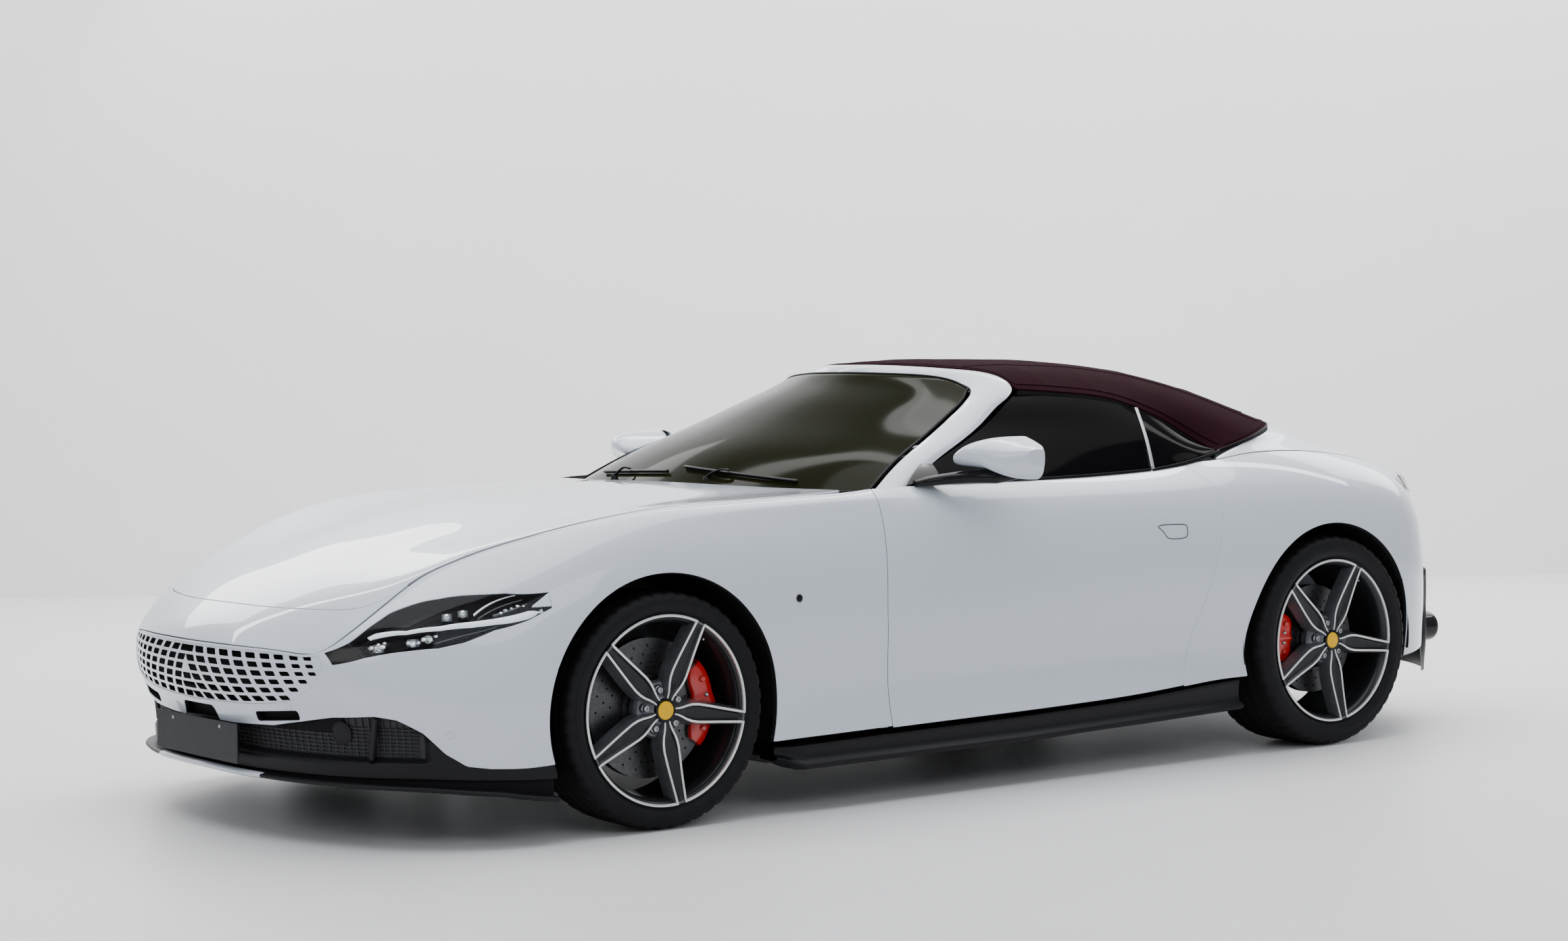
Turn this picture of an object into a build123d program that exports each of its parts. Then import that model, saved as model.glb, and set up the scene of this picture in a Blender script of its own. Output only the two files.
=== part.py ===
from build123d import *
import os
import numpy as np

os.makedirs("parts", exist_ok=True)

# ------------------------------------------------------------------ driving dimensions (mm)
# X forward, Y to the left side, Z up; origin on the ground below the middle of the body.
LENGTH = 4656.0
WIDTH = 1974.0            # over the rear haunches, without mirrors
HEIGHT = 1306.0
WHEELBASE = 2670.0
AX_F = 1308.0             # front axle x
AX_R = AX_F - WHEELBASE   # rear axle x
HUB_F, HUB_R = 336.0, 350.0          # hub heights = loaded tyre radii
TRACK_F, TRACK_R = 1652.0, 1679.0
TYRE_W_F, TYRE_W_R = 245.0, 285.0
RIM_R = 254.0             # 20 inch bead seat radius
LIP_R = 271.0
ARCH_F, ARCH_R = 389.0, 394.0        # wheel arch radii
WING_T = 6.0
QUARTER_T = 10.0
BUMPER_T = 5.0
DOOR_EDGE_T, DOOR_MID_T = 26.0, 112.0
LID_EDGE_T, LID_MID_T = 6.0, 20.0
GLASS_T = 5.0
ROOF_T = 12.0
DISC_F, DISC_R = 199.0, 180.0        # brake disc radii
DOOR_AXIS = (428.0, 926.0)           # x, y of the left door's hinge axis
STEER_DEG = 30.0
CALIPER_F, CALIPER_R = 72.0, 52.0   # angle spanned by the front and rear brake calipers
SPOKE_DEG = 99.5          # angle of the first of the five spokes

# ------------------------------------------------------------------ body surface
# Target points of the outer skin. Each column runs from the sill (row 0) up to the shoulder
# crest (row 6); the columns go from the middle of the nose round the left side to the middle of
# the tail. The bonnet and deck nets run from the crest (j = 0) to the centreline (j = 4).
def col(x, *yz):
    return [(x, p[0], p[1]) for p in yz]
COLS = [
    [(2262,0,195),(2268,0,285),(2292,0,368),(2315,0,415),(2325,0,462),(2324,0,505),(2312,0,541)],
    [(2256,150,195),(2262,150,285),(2286,150,368),(2308,150,415),(2318,150,462),(2317,150,505),(2305,150,541)],
    [(2240,300,195),(2246,300,285),(2268,300,367),(2290,300,413),(2300,300,460),(2299,300,503),(2288,300,540)],
    [(2205,450,195),(2212,450,284),(2232,452,366),(2252,450,411),(2262,447,457),(2262,445,500),(2253,442,537)],
    [(2150,600,195),(2156,600,283),(2172,608,364),(2188,610,408),(2198,602,453),(2207,584,497),(2211,556,531)],
    [(2080,715,195),(2086,722,282),(2098,735,364),(2108,740,415),(2116,728,470),(2128,695,535),(2150,618,577)],
    [(1995,800,193),(2000,808,280),(2012,815,367),(2022,815,430),(2030,796,500),(2040,752,600),(2052,652,652)],
    [(1905,862,188),(1908,868,278),(1915,874,375),(1922,866,450),(1928,842,540),(1932,792,655),(1935,652,727)],
    [(1822,900,184),(1824,906,276),(1828,910,385),(1832,902,475),(1836,880,575),(1840,815,690),(1842,674,767)],
    [(1745,922,180),(1746,928,280),(1748,932,400),(1750,925,510),(1750,902,615),(1752,842,722),(1754,708,800)],
    col(1640,(938,178),(945,300),(949,430),(945,560),(925,670),(872,765),(755,833)),
    col(1500,(944,178),(952,320),(958,460),(954,600),(934,720),(888,808),(800,866)),
    col(1308,(946,182),(955,335),(961,485),(957,630),(938,755),(896,842),(824,894)),
    col(1120,(944,192),(949,345),(955,495),(952,640),(935,765),(895,853),(830,906)),
    col(940,(942,200),(937,345),(944,490),(942,640),(926,765),(888,858),(832,909)),
    col(720,(943,204),(929,345),(937,490),(936,640),(920,765),(885,862),(832,914)),
    col(500,(944,208),(923,345),(932,485),(932,635),(918,765),(884,868),(828,923)),
    col(250,(945,212),(919,345),(930,480),(932,630),(919,762),(884,868),(826,926)),
    col(0,(945,215),(916,345),(930,475),(935,625),(922,758),(886,866),(825,925)),
    col(-250,(945,220),(915,347),(931,475),(939,622),(928,755),(890,864),(824,925)),
    col(-480,(943,227),(916,352),(936,478),(946,622),(936,755),(896,866),(822,929)),
    col(-700,(940,240),(922,360),(946,482),(957,622),(947,755),(904,870),(818,940)),
    col(-900,(942,252),(938,368),(963,488),(973,625),(960,760),(912,878),(812,960)),
    col(-1120,(955,250),(960,370),(980,495),(984,630),(968,768),(915,888),(800,978)),
    col(-1362,(962,250),(972,372),(986,500),(987,635),(970,775),(912,890),(785,980)),
    col(-1600,(955,255),(965,375),(977,500),(977,635),(957,775),(893,880),(755,962)),
    col(-1800,(920,265),(930,380),(940,500),(938,635),(915,765),(850,860),(722,930)),
    [(-1945,838,275),(-1947,845,385),(-1948,848,500),(-1947,843,630),(-1943,824,740),(-1936,775,830),(-1925,705,900)],
    [(-2052,724,285),(-2058,730,390),(-2061,732,500),(-2059,729,620),(-2054,719,715),(-2048,703,800),(-2040,676,870)],
    [(-2160,575,290),(-2170,580,390),(-2172,580,495),(-2164,578,610),(-2150,570,710),(-2138,560,800),(-2125,545,885)],
    [(-2242,385,295),(-2258,388,390),(-2260,388,490),(-2246,386,600),(-2218,382,705),(-2196,378,800),(-2184,370,900)],
    [(-2290,195,300),(-2310,196,390),(-2314,196,488),(-2298,195,595),(-2262,193,702),(-2234,190,800),(-2220,186,909)],
    [(-2304,0,302),(-2324,0,390),(-2328,0,486),(-2311,0,593),(-2274,0,701),(-2246,0,800),(-2232,0,912)],
]
NC, NR = len(COLS), 7
CK, CT = 4, len(COLS) - 5      # nose corner and tail corner columns
HOOD = {
    1: [(2203,452,583),(2238,300,590),(2256,150,594),(2262,0,595)],
    2: [(2105,480,662),(2150,310,655),(2172,155,652),(2180,0,651)],
    3: [(1980,500,722),(2030,330,716),(2060,165,712),(2070,0,710)],
    4: [(1870,520,763),(1915,345,757),(1940,172,758),(1950,0,759)],
    5: [(1770,548,797),(1805,365,789),(1825,182,796),(1832,0,798)],
    6: [(1645,580,828),(1670,385,822),(1685,192,834),(1690,0,837)],
    7: [(1500,610,858),(1515,405,857),(1522,202,872),(1525,0,876)],
    8: [(1308,625,883),(1315,415,887),(1320,208,903),(1322,0,908)],
    9: [(1125,630,896),(1132,420,904),(1138,210,914),(1140,0,918)],
    10: [(950,635,903),(965,422,912),(975,211,922),(980,0,926)],
    11: [(745,640,911),(790,425,920),(820,212,929),(830,0,932)],
    12: [(540,650,920),(600,430,927),(640,215,934),(655,0,937)],
}
DECK = {
    1: [(-2000,552,908),(-2060,375,925),(-2090,188,934),(-2100,0,937)],
    2: [(-1880,570,945),(-1940,385,955),(-1968,192,962),(-1978,0,964)],
    3: [(-1730,590,978),(-1800,395,985),(-1835,198,990),(-1845,0,991)],
    4: [(-1600,610,1010),(-1710,405,1024),(-1750,202,1027),(-1762,0,1028)],
    5: [(-1460,650,1034),(-1625,420,1053),(-1675,210,1056),(-1690,0,1057)],
    6: [(-1290,708,1036),(-1535,440,1066),(-1600,220,1070),(-1615,0,1071)],
}
LEVELS = 4
SUB = 2 ** LEVELS

def control_net():
    P, ids = [], {}
    def add(key, p):
        ids[key] = len(P)
        P.append(p)
    for c in range(NC):
        for r in range(NR):
            add(("s", c, r), COLS[c][r])
    for k, row in HOOD.items():
        for j, p in enumerate(row, 1):
            add(("h", k, j), p)
    for k, row in DECK.items():
        for j, p in enumerate(row, 1):
            add(("d", k, j), p)
    def hid(k, j):
        if j == 0:
            return ids[("s", CK + k, 6)]
        return ids[("s", CK - j, 6)] if k == 0 else ids[("h", k, j)]
    def did(k, j):
        if j == 0:
            return ids[("s", CT - k, 6)]
        return ids[("s", CT + j, 6)] if k == 0 else ids[("d", k, j)]
    F, UV, PT = [], [], []
    for c in range(NC - 1):
        for r in range(NR - 1):
            F.append([ids[("s", c, r)], ids[("s", c+1, r)], ids[("s", c+1, r+1)], ids[("s", c, r+1)]])
            UV.append([(c, r), (c+1, r), (c+1, r+1), (c, r+1)])
            PT.append(0)
    for k in range(len(HOOD)):
        for j in range(4):
            F.append([hid(k, j), hid(k, j+1), hid(k+1, j+1), hid(k+1, j)])
            UV.append([(k, j), (k, j+1), (k+1, j+1), (k+1, j)])
            PT.append(1)
    for k in range(len(DECK)):
        for j in range(4):
            F.append([did(k, j), did(k+1, j), did(k+1, j+1), did(k, j+1)])
            UV.append([(k, j), (k+1, j), (k+1, j+1), (k, j+1)])
            PT.append(2)
    cr = {}
    def crease(c, s):
        a, b = ids[("s", c, 6)], ids[("s", c+1, 6)]
        cr[(min(a, b), max(a, b))] = s
    for c in range(0, CK):
        crease(c, 2.6)
    crease(CK, 1.6)
    for c, s in zip(range(CK+1, CK+9), (.3, .3, .6, .9, 1.0, .9, .7, .4)):
        crease(c, s)
    for c in range(CT, NC-1):
        crease(c, 2.2)
    crease(CT-2, .6)
    crease(CT-1, 1.4)
    return np.array(P, float), np.array(F), np.array(UV, float), np.array(PT), cr

def mirrored(P, F, UV, PT, cr):
    on = np.abs(P[:, 1]) < 1e-6
    new = np.arange(len(P))
    new[~on] = len(P) + np.arange((~on).sum())
    P2 = np.vstack([P, P[~on] * [1, -1, 1]])
    F2 = np.vstack([F, new[F][:, ::-1]])
    cr2 = dict(cr)
    for (a, b), s in cr.items():
        a2, b2 = int(new[a]), int(new[b])
        cr2[(min(a2, b2), max(a2, b2))] = s
    return P2, F2, np.vstack([UV, UV[:, ::-1]]), np.concatenate([PT, PT + 10]), cr2

def gather(idx, vals, n):
    out = np.empty((n, vals.shape[1]))
    for k in range(vals.shape[1]):
        out[:, k] = np.bincount(idx, weights=vals[:, k], minlength=n)
    return out

def topology(F, cr, nv):
    nf = len(F)
    e = np.sort(np.stack([F, np.roll(F, -1, 1)], 2).reshape(-1, 2), 1)
    ue, inv, cnt = np.unique(e, axis=0, return_inverse=True, return_counts=True)
    inv = inv.reshape(nf, 4)
    ne = len(ue)
    sh = np.zeros(ne)
    if cr:
        key = ue[:, 0].astype(np.int64) * (nv + 1) + ue[:, 1]
        k2 = np.array([a * (nv + 1) + b for a, b in cr], dtype=np.int64)
        sh[np.searchsorted(key, k2)] = np.array(list(cr.values()))
    bnd = cnt == 1
    sh[bnd] = 99
    T = dict(F=F, ue=ue, inv=inv, cnt=cnt, w=np.clip(sh, 0, 1), nv=nv, ne=ne, nf=nf)
    T["n"] = np.bincount(ue.ravel(), minlength=nv).astype(float)
    T["nfv"] = np.bincount(F.ravel(), minlength=nv).astype(float)
    nsh = np.bincount(ue.ravel(), weights=np.repeat((sh > 0).astype(float), 2), minlength=nv)
    ssum = np.bincount(ue.ravel(), weights=np.repeat(T["w"], 2), minlength=nv)
    vsh = np.where(nsh >= 2, np.minimum(1, ssum / np.maximum(nsh, 1)), 0)
    corner = (nsh >= 3) | ((np.bincount(ue.ravel(), weights=np.repeat(bnd.astype(float), 2), minlength=nv) >= 1) & (T["nfv"] == 1))
    T["vsh"], T["corner"], T["wk"] = vsh, np.where(corner, vsh, 0), np.maximum(ssum, 1e-9)
    fe, fp = inv + nv, np.arange(nf) + nv + ne
    F2 = np.empty((nf * 4, 4), int)
    for k in range(4):
        F2[k::4] = np.stack([F[:, k], fe[:, k], fp, fe[:, (k+3) % 4]], 1)
    cr2 = {}
    for i in np.nonzero((sh > 1) & ~bnd)[0]:
        a, b = ue[i]
        m = int(i + nv)
        cr2[(min(int(a), m), max(int(a), m))] = sh[i] - 1
        cr2[(min(int(b), m), max(int(b), m))] = sh[i] - 1
    return T, F2, cr2

def refine(T, V):
    F, ue, w = T["F"], T["ue"], T["w"][:, None]
    FP = V[F].mean(1)
    mid = V[ue].mean(1)
    fsum = gather(T["inv"].ravel(), np.repeat(FP, 4, 0), T["ne"])
    EP = (1 - w) * (mid * .5 + fsum * .25) + w * mid
    n, nfv = T["n"][:, None], T["nfv"][:, None]
    Q = gather(F.ravel(), np.repeat(FP, 4, 0), T["nv"]) / nfv
    R = gather(ue.ravel(), np.repeat(mid, 2, 0), T["nv"]) / n
    smooth = Q / n + 2 * R / n + (n - 3) / n * V
    nb = gather(ue.ravel(), (V[ue[:, ::-1]] * w[:, :, None]).reshape(-1, 3), T["nv"])
    hard = .75 * V + .25 * nb / T["wk"][:, None]
    vs = T["vsh"][:, None]
    VP = (1 - vs) * smooth + vs * hard
    c = T["corner"][:, None]
    return np.vstack([(1 - c) * VP + c * V, EP, FP])

def uv_refine(UV):
    c = UV.mean(1)
    out = np.empty((len(UV) * 4, 4, 2))
    for k in range(4):
        out[k::4] = np.stack([UV[:, k], (UV[:, k] + UV[:, (k+1) % 4]) / 2, c, (UV[:, k] + UV[:, (k+3) % 4]) / 2], 1)
    return out

def body_surface():
    P, F, UV, PT, cr = mirrored(*control_net())
    Ts, f, nv, uv = [], F, len(P), UV
    for _ in range(LEVELS):
        T, f2, cr = topology(f, cr, nv)
        Ts.append(T)
        f, nv, uv = f2, T["nv"] + T["ne"] + T["nf"], uv_refine(uv)
    C = P.copy()
    for _ in range(3):
        V = C
        for T in Ts[:3]:
            V = refine(T, V)
        C = C + (P - V[:len(P)])
    V = C
    for T in Ts:
        V = refine(T, V)
    pt = np.repeat(PT, 4 ** LEVELS)
    G = {}
    for patch, (a, b) in {0: (NC-1, NR-1), 1: (len(HOOD), 4), 2: (len(DECK), 4)}.items():
        g = np.full((a * SUB + 1, b * SUB + 1, 3), np.nan)
        m = pt == patch
        ij = np.rint(uv[m] * SUB).astype(int)
        g[ij[..., 0], ij[..., 1]] = V[f[m]]
        G[patch] = g
    return G

GRID = body_surface()

def S(patch, u, v):
    A = GRID[patch]
    u, v = np.broadcast_arrays(np.asarray(u, float), np.asarray(v, float))
    a, b = u * SUB, v * SUB
    i = np.clip(np.floor(a).astype(int), 0, A.shape[0] - 2)
    j = np.clip(np.floor(b).astype(int), 0, A.shape[1] - 2)
    x, y = (a - i)[..., None], (b - j)[..., None]
    return A[i, j]*(1-x)*(1-y) + A[i+1, j]*x*(1-y) + A[i, j+1]*(1-x)*y + A[i+1, j+1]*x*y

def table(t):
    t = np.array(t, float)
    return lambda x: np.interp(x, t[:, 0], t[:, 1])

# lines on the skin, in surface coordinates (column, row)
bumper_low = table([(0,1.40),(1.25,1.38),(2.5,1.47),(3.28,1.72),(3.94,1.97),(4.81,2.09),(5.31,1.94),(5.91,1.47),(6.41,.84),(6.94,.47),(7.6,.40),(9.5,.38),(10.2,.38)])
lamp_low = table([(4.19,5.06),(4.94,4.88),(5.91,4.47),(6.62,4.22),(7.22,4.12),(8.12,4.12),(9.16,3.94),(9.8,3.91)])
lamp_top = table([(4.2,5.86),(4.88,5.72),(5.5,5.75),(6.0,5.69),(6.41,5.5),(7.0,5.25),(7.81,5.03),(8.72,4.78),(9.8,4.30)])
door_front = table([(0,16.0),(2.56,15.97),(3.78,16.0),(4.91,16.03),(6,16.09)])
door_rear = table([(0,21.0),(.25,21.03),(1.81,21.28),(2.5,21.47),(3.5,21.72),(4.22,21.86),(5.2,21.86),(6,21.72)])
bonnet_front = table([(0,2.55),(.1,2.45),(.25,2.2),(.45,1.95),(.8,1.8),(1.9,1.8),(3.2,1.84),(4,1.86)])
bonnet_rear = table([(0,11.05),(.1,11.35),(.2,11.65),(.4,11.93),(1,11.95),(2,11.78),(3,11.66),(4,11.62)])

def smooth(x):
    x = np.clip(x, 0, 1)
    return x * x * (3 - 2 * x)

# ------------------------------------------------------------------ solid helpers
def normals(P):
    n = np.cross(np.gradient(P, axis=0), np.gradient(P, axis=1))
    return n / np.linalg.norm(n, axis=2, keepdims=True)

def spline_face(P):
    return Face.make_surface_from_array_of_points([[Vector(*map(float, p)) for p in r] for r in P], tol=0.05, max_deg=3)

def slab(P, t, lift=0.0, flip=False):
    """closed solid between a point grid lifted by `lift` along its outward normal and the same grid `t` further in"""
    n = normals(P) * (-1 if flip else 1)
    t = np.asarray(t, float)
    t = t[..., None] if t.ndim else t
    A, B = spline_face(P + n * lift), spline_face(P + n * lift - n * t)
    faces = [A, B]
    be = list(B.edges())
    for e in A.edges():
        m = e.position_at(.5)
        o = min(be, key=lambda x: (x.position_at(.5) - m).length)
        faces.append(Face.make_surface_from_curves(e, o))
    s = Solid(Shell(faces))
    return s if s.volume > 0 else Solid(s.wrapped.Reversed())

def grid(us, vs):
    return np.meshgrid(us, vs, indexing="ij")

def mirror_y(s):
    return s.mirror(Plane.XZ)

def both(L):
    """join a left-hand grid that starts on the centreline (first axis) with its mirror image"""
    return np.concatenate([L[::-1][:-1] * [1, -1, 1], L], 0)

def both_j(L):
    """the same for a grid that ends on the centreline (second axis)"""
    return np.concatenate([L, (L[:, ::-1] * [1, -1, 1])[:, 1:]], 1)

def prism(pts, y0, y1):
    w = Wire.make_polygon([Vector(x, y0, z) for x, z in pts], close=True)
    return Solid.extrude(Face(w), Vector(0, y1 - y0, 0))

def bar(x0, x1, y0, y1, z0, z1):
    return Pos((x0+x1)/2, (y0+y1)/2, (z0+z1)/2) * Box(abs(x1-x0), abs(y1-y0), abs(z1-z0))

def ycyl(x, y, z, r, l):
    return Pos(x, y, z) * Rot(90, 0, 0) * Cylinder(r, l)

def cutter(P, d, back, fwd):
    """prism through the closed outline P (n x 3) along direction d, from `back` behind to `fwd` ahead of it"""
    P, d = np.asarray(P, float), np.asarray(d, float)
    d = d / np.linalg.norm(d)
    h = P @ d
    base = P - np.outer(h - (h.min() - back), d)
    w = Wire.make_polygon([Vector(*map(float, p)) for p in base], close=True)
    s = Solid.extrude(Face(w), Vector(*(d * (h.max() - h.min() + back + fwd))))
    return s if s.volume > 0 else Solid(s.wrapped.Reversed())

def ring_of(G):
    """border of a point grid as a closed outline"""
    return np.vstack([G[:, 0], G[-1, 1:], G[-2::-1, -1], G[0, -2:0:-1]])

def flip_y(P):
    return np.asarray(P) * [1, -1, 1]

def one(s):
    """the largest solid of a boolean result"""
    so = s.solids() if hasattr(s, "solids") else [s]
    return max(so, key=lambda q: q.volume)

def save(name, *solids):
    out = []
    for s in solids:
        out += list(s.solids())
    bad = [q for q in out if not q.is_valid]
    shape = out[0] if len(out) == 1 else Compound(out)
    export_step(shape, f"parts/{name}.step")
    bb = shape.bounding_box()
    print(f"{name:20s} solids {len(out):2d} bad {len(bad)} vol {sum(q.volume for q in out)/1e6:9.3f} l "
          f"x {bb.min.X:8.1f} {bb.max.X:8.1f} y {bb.min.Y:8.1f} {bb.max.Y:8.1f} z {bb.min.Z:7.1f} {bb.max.Z:7.1f}", flush=True)

arch_f = ycyl(AX_F, 850, HUB_F, ARCH_F, 500)
arch_r = ycyl(AX_R, 850, HUB_R, ARCH_R, 500)

# ------------------------------------------------------------------ skin panels
# A panel is a net of flat facets on the body surface, trimmed to its shut lines, with a wall thickness.
def cells(us, vs):
    """quads of a (u, v) grid: vertex array and list of polygons"""
    U, V = np.meshgrid(us, vs, indexing="ij")
    n = len(vs)
    i = np.arange(len(us) - 1)[:, None] * n + np.arange(n - 1)[None, :]
    q = np.stack([i, i + n, i + n + 1, i + 1], -1).reshape(-1, 4)
    return np.stack([U.ravel(), V.ravel()], 1), [list(map(int, p)) for p in q]

def split(W, polys, f, tag=None):
    """divide polygons by the line f = 0; returns vertices, polygons with f < 0, polygons with f > 0"""
    val = f(W)
    val = np.where(np.abs(val) < 1e-5, 1e-5, val)
    neg = val < 0
    edges = {}
    for p in polys:
        for a, b in zip(p, p[1:] + p[:1]):
            if neg[a] != neg[b]:
                edges.setdefault((min(a, b), max(a, b)), None)
    if edges:
        E = np.array(list(edges))
        lo, hi = W[E[:, 0]], W[E[:, 1]]
        nl = neg[E[:, 0]]
        t0, t1 = np.zeros(len(E)), np.ones(len(E))
        for _ in range(26):
            tm = (t0 + t1) / 2
            same = (f(lo + (hi - lo) * tm[:, None]) < 0) == nl
            t0, t1 = np.where(same, tm, t0), np.where(same, t1, tm)
        tm = np.clip((t0 + t1) / 2, .004, .996)
        new = lo + (hi - lo) * tm[:, None]
        for k, e in enumerate(edges):
            edges[e] = len(W) + k
        W = np.vstack([W, new])
    A, B, ta = [], [], []
    for i, p in enumerate(polys):
        s = neg[p]
        if s.any() and tag:
            ta.append(tag[i])
        if s.all():
            A.append(p)
        elif not s.any():
            B.append(p)
        else:
            pa, pb = [], []
            for a, b in zip(p, p[1:] + p[:1]):
                (pa if neg[a] else pb).append(a)
                if neg[a] != neg[b]:
                    m = edges[(min(a, b), max(a, b))]
                    pa.append(m)
                    pb.append(m)
            A.append(pa)
            B.append(pb)
    return (W, A, B, ta) if tag else (W, A, B)

def keep(W, polys, f):
    W, A, B = split(W, polys, f)
    return W, A

def drop(W, polys, fs):
    """remove the region where every f in fs is < 0"""
    tag = [True] * len(polys)
    for f in fs:
        W, A, B, ta = split(W, polys, f, tag)
        polys, tag = A + B, ta + [False] * len(B)
    return W, [p for p, t in zip(polys, tag) if not t]

def at(patch, W, h=.03):
    """points and outward unit normals at (u, v) rows"""
    A = GRID[patch].shape
    um, vm = (A[0] - 1) / SUB, (A[1] - 1) / SUB
    u, v = W[:, 0], W[:, 1]
    P = S(patch, u, v)
    du = S(patch, np.minimum(u + h, um), v) - S(patch, np.maximum(u - h, 0), v)
    dv = S(patch, u, np.minimum(v + h, vm)) - S(patch, u, np.maximum(v - h, 0))
    n = np.cross(du, dv) * (-1 if patch == 2 else 1)
    return P, n / np.linalg.norm(n, axis=1, keepdims=True)

def fan(P, p):
    best, bt = -1, None
    for s in range(len(p)):
        q = p[s:] + p[:s]
        t = [(q[0], q[k], q[k+1]) for k in range(1, len(q) - 1)]
        a = min(np.linalg.norm(np.cross(P[y] - P[x], P[z] - P[x])) for x, y, z in t)
        if a > best:
            best, bt = a, t
    return bt

def facets(P, T):
    s = Solid(Shell([Face(Wire.make_polygon([Vector(*map(float, P[k])) for k in t], close=True)) for t in T]))
    return s if s.volume > 0 else Solid(s.wrapped.Reversed())

def largest(polys):
    """the largest edge-connected group of polygons"""
    root = list(range(len(polys)))
    def find(i):
        while root[i] != i:
            root[i] = root[root[i]]
            i = root[i]
        return i
    edge = {}
    for i, p in enumerate(polys):
        for a, b in zip(p, p[1:] + p[:1]):
            j = edge.setdefault((min(a, b), max(a, b)), i)
            root[find(i)] = find(j)
    groups = {}
    for i in range(len(polys)):
        groups.setdefault(find(i), []).append(polys[i])
    return max(groups.values(), key=len)

def panel(patch, W, polys, t, lift=0.0, full=False):
    """closed facet solid of a trimmed net: `t` is the wall thickness (number or array per vertex); `full` joins the left half to its mirror image on the centreline"""
    polys = largest(polys)
    used = sorted({k for p in polys for k in p})
    new = {k: i for i, k in enumerate(used)}
    W = W[used]
    polys = [[new[k] for k in p] for p in polys]
    t = np.asarray(t(W) if callable(t) else t, float)
    P, n = at(patch, W)
    mid = np.abs(P[:, 1]) < 1e-6
    if full:
        n[mid, 1] = 0
        n /= np.linalg.norm(n, axis=1, keepdims=True)
    A = P + n * lift
    B = A - n * (t[:, None] if t.ndim else t)
    N = len(A)
    T, seen = [], set()
    flip = patch == 2
    for p in polys:
        if flip:
            p = p[::-1]
        seen.update(zip(p, p[1:] + p[:1]))
        for x in fan(A, p):
            T += [x, (x[2] + N, x[1] + N, x[0] + N)]
    for a, b in seen:
        if (b, a) not in seen and not (full and mid[a] and mid[b]):
            T += [(b, a, a + N), (b, a + N, b + N)]
    V = np.vstack([A, B])
    if full:
        m2 = np.concatenate([mid, mid])
        im = np.arange(2 * N)
        im[~m2] = 2 * N + np.arange((~m2).sum())
        T = T + [(im[x[2]], im[x[1]], im[x[0]]) for x in T]
        V = np.vstack([V, V[~m2] * [1, -1, 1]])
    return facets(V, T)

def xz(W, patch=0):
    P = S(patch, W[:, 0], W[:, 1])
    return P[:, 0], P[:, 2]

def out_of_arch(x0, z0, r):
    def f(W):
        x, z = xz(W)
        return r - np.hypot(x - x0, z - z0)
    return f

def curve(P, n):
    """smooth curve through points (centripetal parameters, natural cubic)"""
    P = np.asarray(P, float)
    d = np.sqrt(np.linalg.norm(np.diff(P, axis=0), axis=1))
    t = np.concatenate([[0], np.cumsum(d)])
    m = len(P)
    h = np.diff(t)
    A = np.eye(m)
    R = np.zeros_like(P)
    for i in range(1, m - 1):
        A[i, i-1], A[i, i], A[i, i+1] = h[i-1], 2 * (h[i-1] + h[i]), h[i]
        R[i] = 6 * ((P[i+1] - P[i]) / h[i] - (P[i] - P[i-1]) / h[i-1])
    M = np.linalg.solve(A, R)
    tt = np.linspace(0, t[-1], n) if np.isscalar(n) else np.asarray(n) * t[-1]
    k = np.clip(np.searchsorted(t, tt, side="right") - 1, 0, m - 2)
    a, b = (t[k+1] - tt)[:, None], (tt - t[k])[:, None]
    hk = h[k][:, None]
    return (M[k] * a**3 + M[k+1] * b**3) / (6 * hk) + (P[k] / hk - M[k] * hk / 6) * a + (P[k+1] / hk - M[k+1] * hk / 6) * b

def plan_distance(ring):
    """signed distance in plan from a closed outline, negative inside"""
    a = ring[:, :2]
    d = np.roll(a, -1, 0) - a
    def f(x, y):
        q = np.stack([x, y], 1)[:, None, :] - a[None]
        t = np.clip((q * d).sum(2) / (d * d).sum(1), 0, 1)
        dist = np.sqrt(((q - t[..., None] * d) ** 2).sum(2)).min(1)
        b = np.roll(a, -1, 0)
        yy, xx = y[:, None], x[:, None]
        hit = (a[:, 1] > yy) != (b[:, 1] > yy)
        with np.errstate(divide="ignore", invalid="ignore"):
            xi = a[:, 0] + (yy - a[:, 1]) * (b[:, 0] - a[:, 0]) / (b[:, 1] - a[:, 1])
        return np.where((hit & (xx < xi)).sum(1) % 2 == 1, -dist, dist)
    return f

grille_low = table([(0,2.1),(1.12,2.16),(2.0,2.25),(2.62,2.40),(3.0,2.58),(3.28,2.85),(3.6,3.55),(3.91,4.45),(4.06,5.0),(4.2,5.9)])
def lamp_mid(u):
    return (lamp_low(u) + lamp_top(u)) / 2
def lamp_area(m):
    return [lambda W: lamp_low(W[:, 0]) - m - W[:, 1], lambda W: W[:, 1] - lamp_top(W[:, 0]) - m, lambda W: 4.30 - m - W[:, 0], lambda W: W[:, 0] - 9.74 - m]

# ------------------------------------------------------------------ nose
W, Q = cells(np.linspace(4.0, 10.0, 22), np.linspace(3.6, 6, 9))
for f in lamp_area(-.03):
    W, Q = keep(W, Q, f)
headlamp = panel(0, W, Q, 40, lift=-1)
save("headlamps", headlamp, mirror_y(headlamp))

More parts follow.
